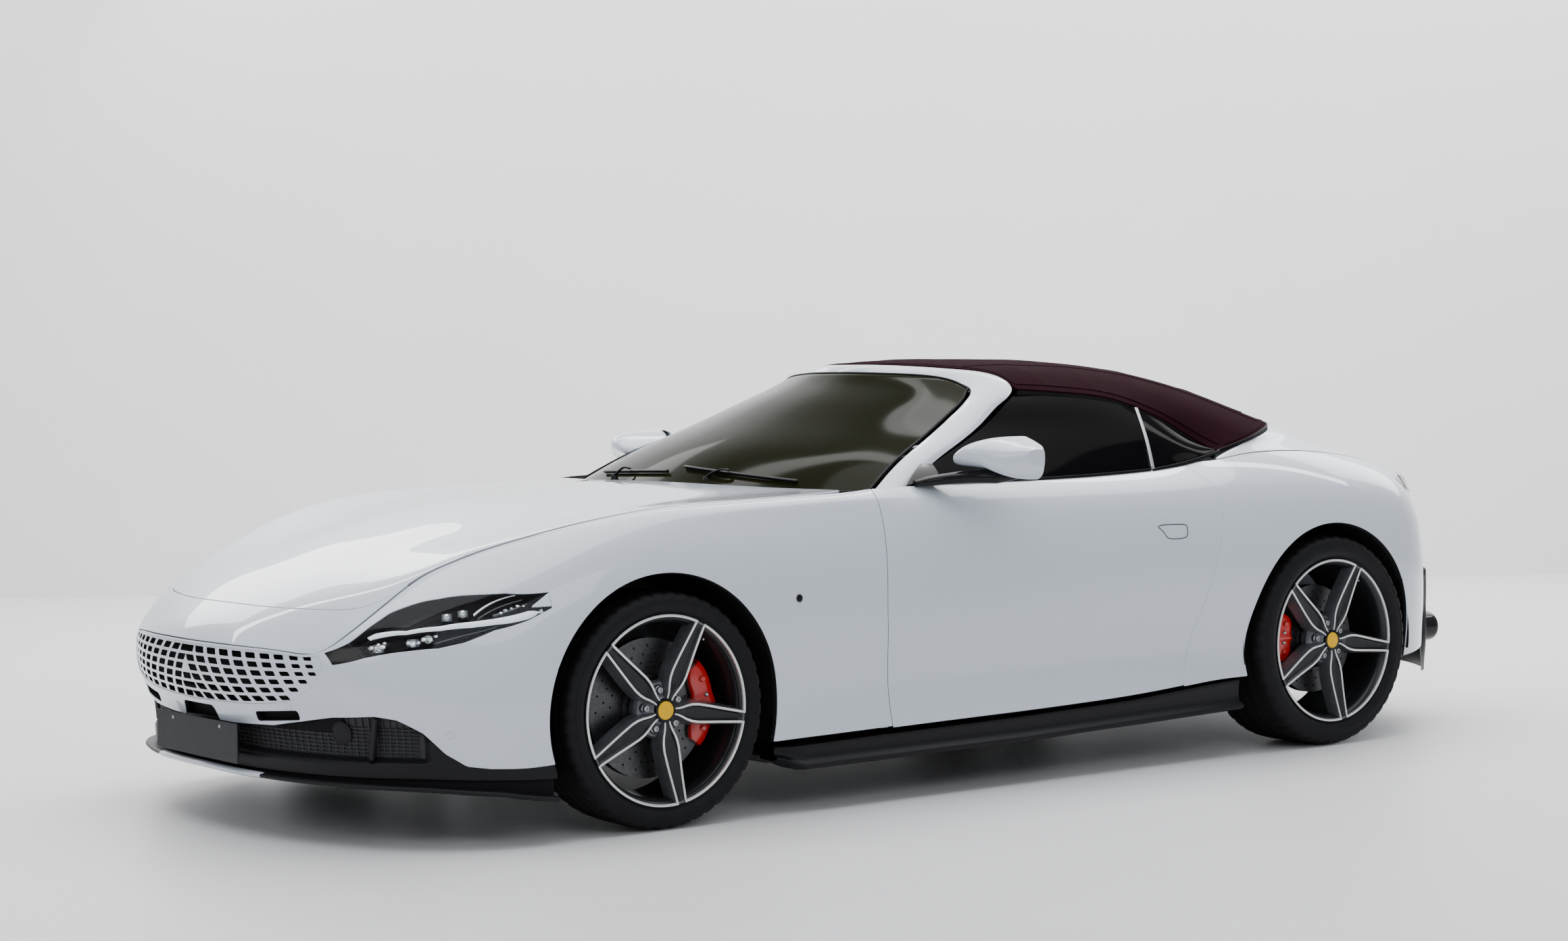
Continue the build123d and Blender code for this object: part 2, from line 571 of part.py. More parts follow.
W, Q = cells(np.concatenate([np.linspace(0, 4, 10), np.linspace(4.4, 9.75, 17)]), np.concatenate([[.3], np.linspace(1.0, 5.96, 14)]))
W, Q = keep(W, Q, lambda W: bumper_low(W[:, 0]) - W[:, 1])
W, Q = keep(W, Q, out_of_arch(AX_F, HUB_F, ARCH_F))
W, Q = drop(W, Q, lamp_area(.03))
W, Q = drop(W, Q, [lambda W: 6.41 - W[:, 0], lambda W: lamp_mid(W[:, 0]) - W[:, 1]])
W, Q = drop(W, Q, [lambda W: grille_low(W[:, 0]) - .03 - W[:, 1], lambda W: W[:, 1] - 5.87, lambda W: W[:, 0] - 4.12])
save("front_bumper", panel(0, W, Q, BUMPER_T, full=True))

W, Q = cells(np.linspace(0, 4.2, 15), np.linspace(2, 5.83, 9))
W, Q = keep(W, Q, lambda W: grille_low(W[:, 0]) + .03 - W[:, 1])
W, Q = keep(W, Q, lambda W: W[:, 0] - 4.07)
save("grille", panel(0, W, Q, 8, lift=-4, full=True))

# bonnet outline in bonnet-patch coordinates (k, j), from the middle of its front edge round to the middle of its rear edge
BON = [(1.86,4),(1.84,3.2),(1.80,1.9),(1.79,.9),(1.86,.50),(2.02,.27),(2.30,.12),(2.75,.055),(3.5,.045),(5,.045),(7,.045),(9,.045),(10.6,.05),(11.15,.08),(11.55,.17),(11.8,.32),(11.93,.6),(11.93,1.1),(11.80,2),(11.68,3),(11.62,4)]
bon = curve(BON, 90)
bon3 = S(1, bon[:, 0], bon[:, 1])
bonnet_sd = plan_distance(np.vstack([bon3, (bon3[::-1] * [1, -1, 1])[1:-1]]))
def bonnet_f(off, sign=1):
    def f(W):
        P = S(1, W[:, 0], W[:, 1])
        return sign * (bonnet_sd(P[:, 0], P[:, 1]) + off)
    return f
W, Q = cells(np.linspace(.12, 3.0, 9), np.concatenate([[.05, .3, .65], np.linspace(1, 4, 8)]))
W, Q = keep(W, Q, bonnet_f(-3, -1))
save("nose_panel", panel(1, W, Q, BUMPER_T, full=True))

W, Q = cells(np.linspace(1.6, 12, 20), np.concatenate([[0, .2, .45, .7], np.linspace(1, 4, 8)]))
W, Q = keep(W, Q, bonnet_f(3))
def bonnet_t(W):
    P = S(1, W[:, 0], W[:, 1])
    return LID_EDGE_T + (LID_MID_T - LID_EDGE_T) * smooth((-bonnet_sd(P[:, 0], P[:, 1]) - 20) / 90)
save("bonnet", panel(1, W, Q, bonnet_t, full=True))

# lower black fascia with the intake, set back under the bumper's edge
W, Q = cells(np.concatenate([np.linspace(0, 4, 9), np.linspace(4.5, 9.75, 15)]), np.linspace(.06, 2.2, 6))
W, Q = keep(W, Q, lambda W: W[:, 1] - bumper_low(W[:, 0]) + .05)
W, Q = keep(W, Q, out_of_arch(AX_F, HUB_F, ARCH_F))
save("lower_fascia", panel(0, W, Q, 10, lift=-6, full=True))

# front splitter blade along the lower edge
us = np.linspace(0, 9.7, 40)
e = S(0, us, np.full_like(us, 0.0))
tang = np.gradient(e, axis=0)
out = np.stack([-tang[:, 1], tang[:, 0], 0 * us], 1)
out = -out / np.linalg.norm(out, axis=1, keepdims=True)
sag = np.interp(us, [0, 4, 6, 8, 9.7], [0, 8, 14, 24, 42])
rows = []
for d in (-120, -80, -30, 12):
    p = e + out * d
    p[:, 2] = e[:, 2] - 6 - sag
    rows.append(p)
B = both(np.stack(rows, 1))
splitter = slab(B, 14, flip=True)
for a in (ycyl(AX_F, 850, HUB_F, ARCH_F - 2, 620), ycyl(AX_F, -850, HUB_F, ARCH_F - 2, 620)):
    splitter = one(splitter - a)
save("front_splitter", splitter)

# ------------------------------------------------------------------ front wings
W, Q = cells(np.linspace(6.2, 16.2, 24), np.linspace(.12, 5.96, 12))
W, Q = keep(W, Q, lambda W: W[:, 0] - door_front(W[:, 1]) + .018)
W, Q = keep(W, Q, lambda W: 6.44 - W[:, 0])
W, Q = keep(W, Q, out_of_arch(AX_F, HUB_F, ARCH_F))
W, Q = drop(W, Q, lamp_area(.03))
W, Q = drop(W, Q, [lambda W: W[:, 0] - 9.77, lambda W: W[:, 1] - lamp_mid(W[:, 0])])
wing = panel(0, W, Q, WING_T)
save("front_wings", wing, mirror_y(wing))

# cowl below the windscreen
js2 = np.concatenate([np.linspace(.3, 1, 6), np.linspace(1.25, 4, 9)])
K, J = grid(np.linspace(0, 1, 5), js2)
P = S(1, 11.3 + .7 * K, J)
P[..., 2] -= 34
save("cowl_panel", slab(both_j(P), 6))

# ------------------------------------------------------------------ doors
W, Q = cells(np.linspace(15.9, 22, 18), np.linspace(.09, 5.95, 12))
W, Q = keep(W, Q, lambda W: door_front(W[:, 1]) + .018 - W[:, 0])
W, Q = keep(W, Q, lambda W: W[:, 0] - door_rear(W[:, 1]) + .02)
def door_t(W):
    a = (W[:, 0] - door_front(W[:, 1])) / (door_rear(W[:, 1]) - door_front(W[:, 1]))
    t = DOOR_EDGE_T + (DOOR_MID_T - DOOR_EDGE_T) * smooth((a - .08) / .1) * smooth((.92 - a) / .1) * smooth((W[:, 1] - .15) / .5)
    return t * (1 - .45 * smooth((W[:, 1] - 4.6) / 1.3))
door = panel(0, W, Q, door_t)
save("door_left", door)
save("door_right", mirror_y(door))

# ------------------------------------------------------------------ rear quarters, tail
tail_split = table([(100,-1713),(560,-1713),(640,-1740),(772,-1946),(1000,-1964)])
def behind_split(m):
    def f(W):
        x, z = xz(W)
        return x - tail_split(z) + m
    return f
W, Q = cells(np.linspace(21, 28, 20), np.linspace(.06, 5.96, 12))
W, Q = keep(W, Q, lambda W: door_rear(W[:, 1]) + .022 - W[:, 0])
W, Q = keep(W, Q, out_of_arch(AX_R, HUB_R, ARCH_R))
W, Q = drop(W, Q, [behind_split(-2.5)])
quarter = panel(0, W, Q, QUARTER_T)
save("rear_quarters", quarter, mirror_y(quarter))

TAIL = ((27.32, 28.35, 5.12, 5.78), (28.75, 30.2, 5.18, 5.72))
rear_low = table([(25.3,.08),(27.6,.10),(28.6,.45),(29.4,1.0),(32,1.05)])
def tail_area(t, m):
    return [lambda W: t[0] - m - W[:, 0], lambda W: W[:, 0] - t[1] - m, lambda W: t[2] - m - W[:, 1], lambda W: W[:, 1] - t[3] - m]
def round_tips(r):
    def f(W):
        P = S(0, W[:, 0], W[:, 1])
        return r - np.hypot(P[:, 1] - np.clip(P[:, 1], 520, 640), P[:, 2] - 322)
    return f
W, Q = cells(np.linspace(25.2, 32, 20), np.linspace(.06, 5.95, 12))
W, Q = keep(W, Q, behind_split(2.5))
W, Q = keep(W, Q, lambda W: rear_low(W[:, 0]) - W[:, 1])
W, Q = keep(W, Q, out_of_arch(AX_R, HUB_R, ARCH_R))
for t in TAIL:
    W, Q = drop(W, Q, tail_area(t, .03))
W, Q = drop(W, Q, [lambda W: S(0, W[:, 0], W[:, 1])[:, 1] - 274, lambda W: 506 - xz(W)[1], lambda W: xz(W)[1] - 646])
W, Q = keep(W, Q, round_tips(58))
save("rear_bumper", panel(0, W, Q, BUMPER_T + 1, full=True))
lamps = []
for t in TAIL:
    W, Q = cells(np.linspace(t[0] + .02, t[1] - .02, 6), np.linspace(t[2] + .02, t[3] - .02, 3))
    p = panel(0, W, Q, 30)
    lamps += [p, mirror_y(p)]
save("tail_lamps", *lamps)

W, Q = cells(np.linspace(28.7, 32, 14), np.linspace(.06, 1.1, 4))
W, Q = keep(W, Q, lambda W: W[:, 1] - rear_low(W[:, 0]) + .06)
W, Q = keep(W, Q, lambda W: S(0, W[:, 0], W[:, 1])[:, 1] - 440)
save("rear_diffuser", panel(0, W, Q, 14, lift=-8, full=True))
tips = []
for y in (640, 520):
    for s in (1, -1):
        x1 = -2203 if y > 600 else -2253
        tips.append(Pos(x1 + 75, s * y, 322) * Rot(0, 90, 0) * (Cylinder(50, 150) - Cylinder(46, 300)))
save("exhaust_tips", *tips)

# boot lid and tonneau cover on the deck
DJ = np.concatenate([[.035, .3, .65], np.linspace(1, 4, 8)])
def lid_t(k0, k1, mid):
    return lambda W: LID_EDGE_T + (mid - LID_EDGE_T) * smooth((W[:, 1] - .1) / .5) * smooth((W[:, 0] - k0) / .3) * smooth((k1 - W[:, 0]) / .3)
W, Q = cells(np.linspace(.12, 2.42, 9), DJ)
save("boot_lid", panel(2, W, Q, lid_t(.12, 2.42, 24), full=True))
W, Q = cells(np.linspace(2.50, 5.72, 12), DJ)
save("tonneau_cover", panel(2, W, Q, 8, full=True))

# ------------------------------------------------------------------ windscreen and its frame
I_ = np.array([(455,797,905),(300,733,990),(137,668,1057),(-20,606,1125),(-120,562,1172),(-172,525,1207),(-172,465,1229),(-145,390,1247),(-85,240,1258),(-40,100,1262.5),(-30,0,1263)], float)
O_ = np.array([(335,815,905),(175,745,985),(16,692,1048),(-118,645,1106),(-215,614,1160),(-290,588,1205),(-285,520,1248),(-208,400,1272),(-140,240,1284),(-90,100,1289.5),(-80,0,1290)], float)

Ic = curve(np.vstack([I_, I_[-2::-1] * [1, -1, 1]]), 97)
Oc = curve(np.vstack([O_, O_[-2::-1] * [1, -1, 1]]), 97)
ws = np.linspace(0, 1, 5)
R = Ic[:, None] * (1 - ws)[None, :, None] + Oc[:, None] * ws[None, :, None]
n = normals(R)
sgn = np.sign(np.sum(n[48, 2] * np.array([0.3, 0, 1])))
R = R + n * sgn * (4 * 9 * ws * (1 - ws))[None, :, None]
frame_ws = slab(R, 24, flip=sgn < 0)
frame_ws = one(one(frame_ws - bar(200, 600, 700, 900, 800, 934)) - bar(200, 600, -900, -700, 800, 934))
save("windscreen_frame", frame_ws)

def coons(B, T, L, R):
    """B,T: (n,3) along s; L,R: (m,3) along t"""
    n, m = len(B), len(L)
    s = np.linspace(0, 1, n)[:, None, None]
    t = np.linspace(0, 1, m)[None, :, None]
    return ((1-t)*B[:, None] + t*T[:, None] + (1-s)*L[None] + s*R[None]
            - ((1-s)*(1-t)*B[0] + s*(1-t)*B[-1] + (1-s)*t*T[0] + s*t*T[-1]))

lw = curve(I_[:6] + [10, -7, 4], 16)
tw = curve(np.vstack([I_[5:], I_[-2:4:-1] * [1, -1, 1]]) + [0, 0, 0], 33)
tw = tw + [10, 0, 0]
lw[-1] = tw[0]
bw = curve([(lw[0][0], lw[0][1], lw[0][2]), (560, 620, 912), (640, 380, 918), (680, 180, 921), (692, 0, 922), (680, -180, 921), (640, -380, 918), (560, -620, 912), (lw[0][0], -lw[0][1], lw[0][2])], 33)
G = coons(bw, tw, lw, lw * [1, -1, 1])
s, t = grid(np.linspace(-1, 1, 33), np.linspace(0, 1, 16))
bulge = 16 * 4 * t * (1 - t) * (1 - s**2)
nn = normals(G)
sg = np.sign(nn[16, 8, 2])
G = G + nn * sg * bulge[..., None]
save("windscreen", slab(G, GLASS_T, flip=sg < 0))

# ------------------------------------------------------------------ soft top
E_ = [(-312,591,1208.5),(-404,607,1202),(-520,628,1192),(-653,650,1174),(-776,670,1136),(-880,690,1089),(-966,722,1033),(-1024,770,992)]
C_ = [(-104,0,1293.5),(-250,0,1303),(-420,0,1306),(-600,0,1303.5),(-780,0,1294),(-950,0,1275),(-1100,0,1247),(-1250,0,1208),(-1390,0,1163),(-1510,0,1121),(-1622,0,1083)]
H_ = [(-104,0,1293.5),(-114,100,1292.5),(-166,240,1287.5),(-234,400,1275.5),(-286,500,1255.5),(-312,591,1208.5)]
B_ = [(-1622,0,1083),(-1604,200,1081),(-1552,400,1077),(-1470,560,1070),(-1380,648,1060),(-1294,704,1047),(-1210,742,1031),(-1110,762,1010),(-1024,770,992)]
NS, NT = 31, 17
ss, tq = np.linspace(0, 1, NS), np.linspace(0, 1, NT)
Cc, Ec, Hc, Bc = curve(C_, NS), curve(E_, NS), curve(H_, NT), curve(B_, NT)
tt = tq[None, :, None]
def across(s_, pz):
    """roof section from the centreline to the side edge"""
    c, e = Cc[s_][:, None], Ec[s_][:, None]
    q = tq[None, :]
    return np.stack([c[..., 0] + (e - c)[..., 0] * q ** 2.0, e[..., 1] * q, c[..., 2] + (e - c)[..., 2] * q ** pz], 2)
pz = np.interp(ss, [0, .3, .6, 1], [2.8, 2.6, 2.5, 2.4])[:, None]
X = across(np.arange(NS), pz)
w1, w0 = smooth(ss)[:, None, None] ** 1.5, (1 - smooth(ss * 1.6))[:, None, None]
ST = X + w1 * (Bc - X[-1])[None] + w0 * (Hc - X[0])[None]
ST = np.concatenate([ST[:, ::-1], (ST * [1, -1, 1])[:, 1:]], 1)
sgs = np.sign(normals(ST)[8, 14, 2])
soft_top = slab(ST, ROOF_T, flip=sgs < 0)
def roof_patch(t0, t1, s1, m=0.0, nt=8, ns=9):
    T_, S_ = grid(np.linspace(t0 - m, t1 + m, nt), np.linspace(-s1 - m, s1 + m, ns))
    a = T_ * 30
    b = (S_ + 1) / 2 * (ST.shape[1] - 1)
    i, j = np.clip(a.astype(int), 0, 29), np.clip(b.astype(int), 0, ST.shape[1] - 2)
    x, y = (a - i)[..., None], (b - j)[..., None]
    return ST[i, j]*(1-x)*(1-y) + ST[i+1, j]*x*(1-y) + ST[i, j+1]*(1-x)*y + ST[i+1, j+1]*x*y
soft_top = one(soft_top - cutter(ring_of(roof_patch(.74, .92, .46, .006)), (-.45, 0, .9), 60, 60))
save("soft_top", soft_top)

# side glass
def quad(bottom, top, front, rear, n=20, m=10, bulge=6.0):
    B, T, L, R = curve(bottom, n), curve(top, n), curve(front, m), curve(rear, m)
    P = coons(B, T, L, R)
    s, t = grid(np.linspace(0, 1, n), np.linspace(0, 1, m))
    nn = normals(P)
    sg = np.sign(nn[n//2, m//2, 1])
    return P + nn * sg * (bulge * 4 * t * (1-t))[..., None], sg < 0
A, Bq, Cq, Dq = (318,816,934), (-676,815,942), (-744,668,1138), (-302,588,1188)
dg, fl = quad([A, (150,818,931), (-100,818,930), (-400,817,933), Bq], [Dq, (-400,604,1188), (-520,626,1179), (-640,646,1163), Cq],
              [A, (160,752,990), (6,699,1042), (-128,652,1096), (-226,620,1150), Dq], [Bq, (-706,752,1035), Cq])
door_glass = slab(dg, GLASS_T, flip=fl)
save("door_glass_left", door_glass)
save("door_glass_right", mirror_y(door_glass))
qg, fl = quad([(-692,815,946), (-800,812,958), (-900,806,974), (-1000,786,990)], [(-758,670,1130), (-862,690,1084), (-944,722,1032), (-1004,768,996)],
              [(-692,815,946), (-722,752,1035), (-758,670,1130)], [(-1000,786,990), (-1004,768,996)], bulge=3)
quarter_glass = slab(qg, GLASS_T, flip=fl)
save("rear_windows", quarter_glass, mirror_y(quarter_glass), slab(roof_patch(.74, .92, .46, -.004), 5, lift=-2, flip=sgs < 0))

# ------------------------------------------------------------------ mirrors
# sections of the housing from its inner to its outer end: y, front x, rear x, bottom z, top z
housing = [(884,196,60,988,1006), (897,216,36,976,1032), (915,226,24,969,1050), (945,226,18,964,1066), (980,212,14,958,1074), (1018,188,12,947,1066), (1050,156,12,944,1045), (1073,120,16,955,1023), (1088,80,26,973,1001)]
m_pts, m_n = [], 20
for y, xf, xr, zb, zt in housing:
    for k in range(m_n):
        c, s_ = float(np.cos(2*np.pi*k/m_n)), float(np.sin(2*np.pi*k/m_n))
        m_pts.append((xr + (c ** .9 * (xf - xr) if c > 0 else -abs(c) ** .5 * 9), y, (zb + zt)/2 + (zt - zb)/2 * (1 if s_ > 0 else -1) * abs(s_) ** .85))
m_last = (len(housing) - 1) * m_n
m_faces = []
for i in range(len(housing) - 1):
    for k in range(m_n):
        a0, b0 = i*m_n + k, i*m_n + (k+1) % m_n
        m_faces += [(a0, b0, b0 + m_n), (a0, b0 + m_n, a0 + m_n)]
for r0, flip in ((0, True), (m_last, False)):
    m_pts.append(tuple(np.mean(m_pts[r0:r0 + m_n], 0)))
    for k in range(m_n):
        t = (r0 + k, r0 + (k+1) % m_n, len(m_pts) - 1)
        m_faces.append(t[::-1] if flip else t)
m = facets(np.array(m_pts, float), m_faces)
arm = Solid.extrude(Face(Wire.make_polygon([Vector(296,848,926), Vector(150,848,926), Vector(120,848,942), Vector(262,848,946)], close=True)), Vector(-70, 100, 22))
mirror_l = one(m + arm)
save("mirror_left", mirror_l)
save("mirror_right", mirror_y(mirror_l))

# ------------------------------------------------------------------ sills, floor, interior
xs = np.linspace(905, -950, 16)
top = np.interp(xs, [-950, -900, -700, -480, 0, 500, 905], [250, 248, 234, 220, 208, 201, 194])
bot = np.interp(xs, [-950, 0, 905], [150, 128, 122])
outline = list(zip(xs, top)) + list(zip(xs[::-1], bot[::-1]))
sill = prism(outline, 824, 948)
for c in (ycyl(AX_F, 850, HUB_F, ARCH_F + 4, 500), ycyl(AX_R, 850, HUB_R, ARCH_R + 4, 500)):
    sill = one(sill - c)
save("side_sills", sill, mirror_y(sill))

floor = bar(-900, 860, -800, 800, 132, 150)
floor += bar(840, 2080, -430, 430, 140, 156)
floor += bar(-2050, -880, -480, 480, 150, 166)
floor += bar(-900, 700, -130, 130, 150, 330)          # tunnel
floor += bar(690, 712, -770, 770, 150, 840)           # front bulkhead
floor += bar(-1120, -1100, -600, 600, 150, 900)       # rear bulkhead
floor += bar(-2050, -1100, -480, 480, 380, 392)       # boot floor
floor += bar(-2060, -2044, -480, 480, 150, 392)
floor += bar(2064, 2080, -430, 430, 150, 330)
floor += bar(-1116, -900, -640, 640, 132, 150)
for c in (ycyl(AX_F, 850, HUB_F, ARCH_F + 24, 600), ycyl(AX_R, 850, HUB_R, ARCH_R + 24, 600)):
    floor = floor - c
    floor = floor - mirror_y(c)
save("floor_pan", one(floor))

engine = bar(760, 1240, -290, 290, 235, 700)
save("engine_block", engine)

liners = []
for x, z, r, y0, y1 in ((AX_F, HUB_F, ARCH_F + 10, 560, 900), (AX_R, HUB_R, ARCH_R + 10, 600, 925)):
    ring = ycyl(x, (y0+y1)/2, z, r + 5, y1 - y0) - ycyl(x, 800, z, r, 900)
    ring = ring - bar(x - 600, x + 600, 0, 1200, -300, z + 40)
    a = one(ring)
    # trim to stay inside the skin
    liners += [a, mirror_y(a)]
save("arch_liners", *liners)

dash = prism([(470,870),(180,862),(90,800),(100,660),(330,560),(470,560)], -745, 745)
dash = one(dash + prism([(140,700),(-420,470),(-620,470),(-620,335),(470,335),(470,600)], -110, 110))
dash = one(dash - Pos(-70, 375, 770) * Rot(0, -66, 0) * Pos(0, 0, -150) * Cylinder(22, 420))
save("dashboard", dash)

def seat(y):
    base = Pos(-480, y, 350) * Box(520, 480, 150)
    back = prism([(-640,380),(-740,400),(-930,930),(-890,1010),(-850,1010),(-800,930)], y - 240, y + 240)
    head = prism([(-935,1020),(-935,1130),(-860,1140),(-840,1020)], y - 130, y + 130)
    neck = prism([(-925,990),(-925,1040),(-865,1040),(-865,990)], y - 60, y + 60)
    s = base + back + head + neck
    return one(s)
save("front_seats", seat(375), seat(-375))
rs = prism([(-1080,560),(-960,545),(-950,430),(-1085,430)], -560, 560) + prism([(-1092,540),(-1060,540),(-1070,860),(-1092,860)], -560, 560)
save("rear_seat", one(rs))

# steering wheel
tilt = 24
ring = Torus(178, 15)
spk = Box(340, 34, 14) + Pos(0, -88, 0) * Box(40, 170, 14)
hubw = Cylinder(58, 40)
sw = ring + spk + hubw
shaft = Pos(0, 0, -120) * Cylinder(14, 220)
sw = one(sw + shaft)
sw = Pos(-70, 375, 770) * Rot(0, -(90 - tilt), 0) * Rot(0, 0, 90) * sw
save("steering_wheel", sw)

# ------------------------------------------------------------------ wheels
def revolve_y(pts):
    w = Wire.make_polygon([Vector(r, y, 0) for r, y in pts], close=True)
    return Solid.revolve(Face(w), 360, Axis((0, 0, 0), (0, 1, 0)))

def tyre(R, hw):
    k = hw / 122.5
    pts = [(257,-102.5),(270,-105.5),(273,-109),(285,-118),(300,-122.5),(R-21,-119),(R-8,-108),(R-1,-92),(R,-60),(R,60),(R-1,92),(R-8,108),(R-21,119),(300,122.5),(285,118),(273,109),(270,105.5),(257,102.5),
           (257,94),(275,96),(300,110),(R-22,104),(R-14,88),(R-13,0),(R-14,-88),(R-22,-104),(300,-110),(275,-96),(257,-94)]
    return revolve_y([(r, y * k) for r, y in pts])

def rim(hw):
    k = hw / 122.5
    y1 = 116 * k
    pts = [(LIP_R,y1),(LIP_R,108*k),(256,104*k),(254,80*k),(254,-80*k),(256,-104*k),(LIP_R,-108*k),(LIP_R,-y1),(264,-y1),(248,-104*k),(246,-60*k),(246,70*k),(252,y1-6),(262,y1)]
    r = revolve_y(pts)
    f = y1 - 26                      # outer face of the spokes at the rim
    hub = Pos(0, f - 38, 0) * Rot(90, 0, 0) * Cylinder(78, 36)
    r = r + hub
    for i in range(5):
        a = SPOKE_DEG + 72 * i
        for s in (1, -1):
            pts = [(50, s * 2), (60, s * 26), (130, s * 24), (256 * np.cos(np.radians(15)), s * 256 * np.sin(np.radians(15))),
                   (256 * np.cos(np.radians(9)), s * 256 * np.sin(np.radians(9))), (135, s * 8)]
            w = Wire.make_polygon([Vector(x, 0, z) for x, z in pts], close=True)
            sp = Solid.extrude(Face(w), Vector(0, 26, 0))
            r = r + Pos(0, f - 40, 0) * Rot(0, a, 0) * sp
    for i in range(5):
        a = np.radians(36 - SPOKE_DEG + 72 * i)
        r = r - Pos(57.15 * np.cos(a), f - 34, 57.15 * np.sin(a)) * Rot(90, 0, 0) * Cylinder(7.5, 60)
    r = r - Pos(0, f - 34, 0) * Rot(90, 0, 0) * Cylinder(33.5, 60)
    return one(r), f

def disc(R, f):
    y = f - 48 - 40
    d = Pos(0, y, 0) * Rot(90, 0, 0) * (Cylinder(R, 32) - Cylinder(92, 40))
    bell = Pos(0, y + 16, 0) * Rot(90, 0, 0) * (Cylinder(96, 32) - Cylinder(60, 40))
    b = Pos(0, y + 28, 0) * Rot(90, 0, 0) * (Cylinder(96, 8) - Cylinder(34, 20))
    d = d + bell + b
    for i in range(5):
        a = np.radians(36 - SPOKE_DEG + 72 * i)
        d = d - Pos(57.15 * np.cos(a), y + 28, 57.15 * np.sin(a)) * Rot(90, 0, 0) * Cylinder(7.5, 40)
    return one(d), y

def caliper(R, y, ang, span):
    w = Wire.make_polygon([Vector(r, q, 0) for r, q in
        [(R-54, y-16-32), (R+26, y-16-32), (R+26, y+16+26), (R-54, y+16+26), (R-54, y+16+6), (R+7, y+16+6), (R+7, y-16-6), (R-54, y-16-6)]], close=True)
    s = Solid.revolve(Face(w), span, Axis((0, 0, 0), (0, 1, 0)))
    return Rot(0, ang, 0) * s

def knuckle(R, y, side):
    k = Pos(0, y - 60, 0) * Rot(90, 0, 0) * Cylinder(50, 84)
    k = k + bar(-42, 42, y - 102, y - 76, -110, 170)
    d = 1 if side > 0 else -1
    k = k + bar(min(0, d * (R - 30)), max(0, d * (R - 30)), y - 76, y - 50, -36, 36)
    return one(k)

for end, x, z, tr, tw_, R, dr, side in (("front", AX_F, HUB_F, TRACK_F, TYRE_W_F, HUB_F, DISC_F, -1), ("rear", AX_R, HUB_R, TRACK_R, TYRE_W_R, HUB_R, DISC_R, 1)):
    ty = tyre(R, tw_ / 2)
    ri, f = rim(tw_ / 2)
    di, y = disc(dr, f)
    # caliper behind the front axle and ahead of the rear one, about level with the hub
    ca = caliper(dr, y, 180 - CALIPER_F/2, CALIPER_F) if side < 0 else caliper(dr, y, -CALIPER_R/2 - 5, CALIPER_R)
    kn = knuckle(dr, y, side)
    L = Pos(x, tr / 2, z)
    for nm, s in (("tyre", ty), ("rim", ri), ("brake_disc", di)):
        a = L * s
        save(f"{nm}_{end}_left", a)
        save(f"{nm}_{end}_right", mirror_y(a))
    if end == "front":
        save("knuckle_front_left", L * kn)
        save("knuckle_front_right", mirror_y(L * kn))
        save("caliper_front_left", L * ca)
        save("caliper_front_right", mirror_y(L * ca))
    else:
        save("rear_knuckles", L * kn, mirror_y(L * kn))
        save("rear_calipers", L * ca, mirror_y(L * ca))

arms = []
for x, z, yk, yi in ((AX_F, HUB_F, 640, 400), (AX_R, HUB_R, 620, 484)):
    for zz in (z - 90, z + 130):
        w = Wire.make_polygon([Vector(x - 120, yi, zz), Vector(x - 85, yi, zz), Vector(x, yk - 60, zz), Vector(x + 85, yi, zz), Vector(x + 120, yi, zz), Vector(x + 30, yk, zz), Vector(x - 30, yk, zz)], close=True)
        a = Solid.extrude(Face(w), Vector(0, 0, 22))
        arms += [a, mirror_y(a)]
save("suspension_arms", *arms)

# ------------------------------------------------------------------ number plates and wipers
plate_f = bar(2290, 2294, -260, 260, 210, 322)
plate_r = bar(-2292, -2288, -262, 262, 518, 634)
for y in (-150, 150):
    plate_f = plate_f - Pos(2292, y, 306) * Rot(0, 90, 0) * Cylinder(3.5, 30)
save("number_plates", plate_f, plate_r)
wip = []
for s0, s1, t0, t1 in ((.155, .46, .045, .10), (.50, .80, .07, .055)):
    # a straight-sided blade laid along the foot of the screen, clear of the glass
    row = []
    for q in np.linspace(0, 1, 9):
        a_, b_ = (s0 + (s1 - s0) * q) * 32, (t0 + (t1 - t0) * q) * 15
        i, j = int(a_), int(b_)
        x_, y_ = a_ - i, b_ - j
        ev = lambda A: A[i, j]*(1-x_)*(1-y_) + A[i+1, j]*x_*(1-y_) + A[i, j+1]*(1-x_)*y_ + A[i+1, j+1]*x_*y_
        n_ = ev(normals(G)) * sg
        row.append((ev(G), n_ / np.linalg.norm(n_)))
    pts_ = []
    for k in range(9):
        tg = row[min(k+1, 8)][0] - row[max(k-1, 0)][0]
        n_ = row[k][1]
        d_ = np.cross(n_, tg / np.linalg.norm(tg))
        for u_, v_ in ((-5, 4), (5, 4), (5, 14), (-5, 14)):
            pts_.append(row[k][0] + d_ * u_ + n_ * v_)
    fs_ = [t for k in range(8) for e in range(4) for t in ((4*k + e, 4*k + (e+1) % 4, 4*k + 4 + (e+1) % 4), (4*k + e, 4*k + 4 + (e+1) % 4, 4*k + 4 + e))]
    fs_ += [(2, 1, 0), (3, 2, 0), (32, 33, 34), (32, 34, 35)]
    wip.append(facets(np.array(pts_), fs_))
save("wipers", *wip)
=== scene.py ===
import bpy, math
import numpy as np
from mathutils import Vector, Matrix


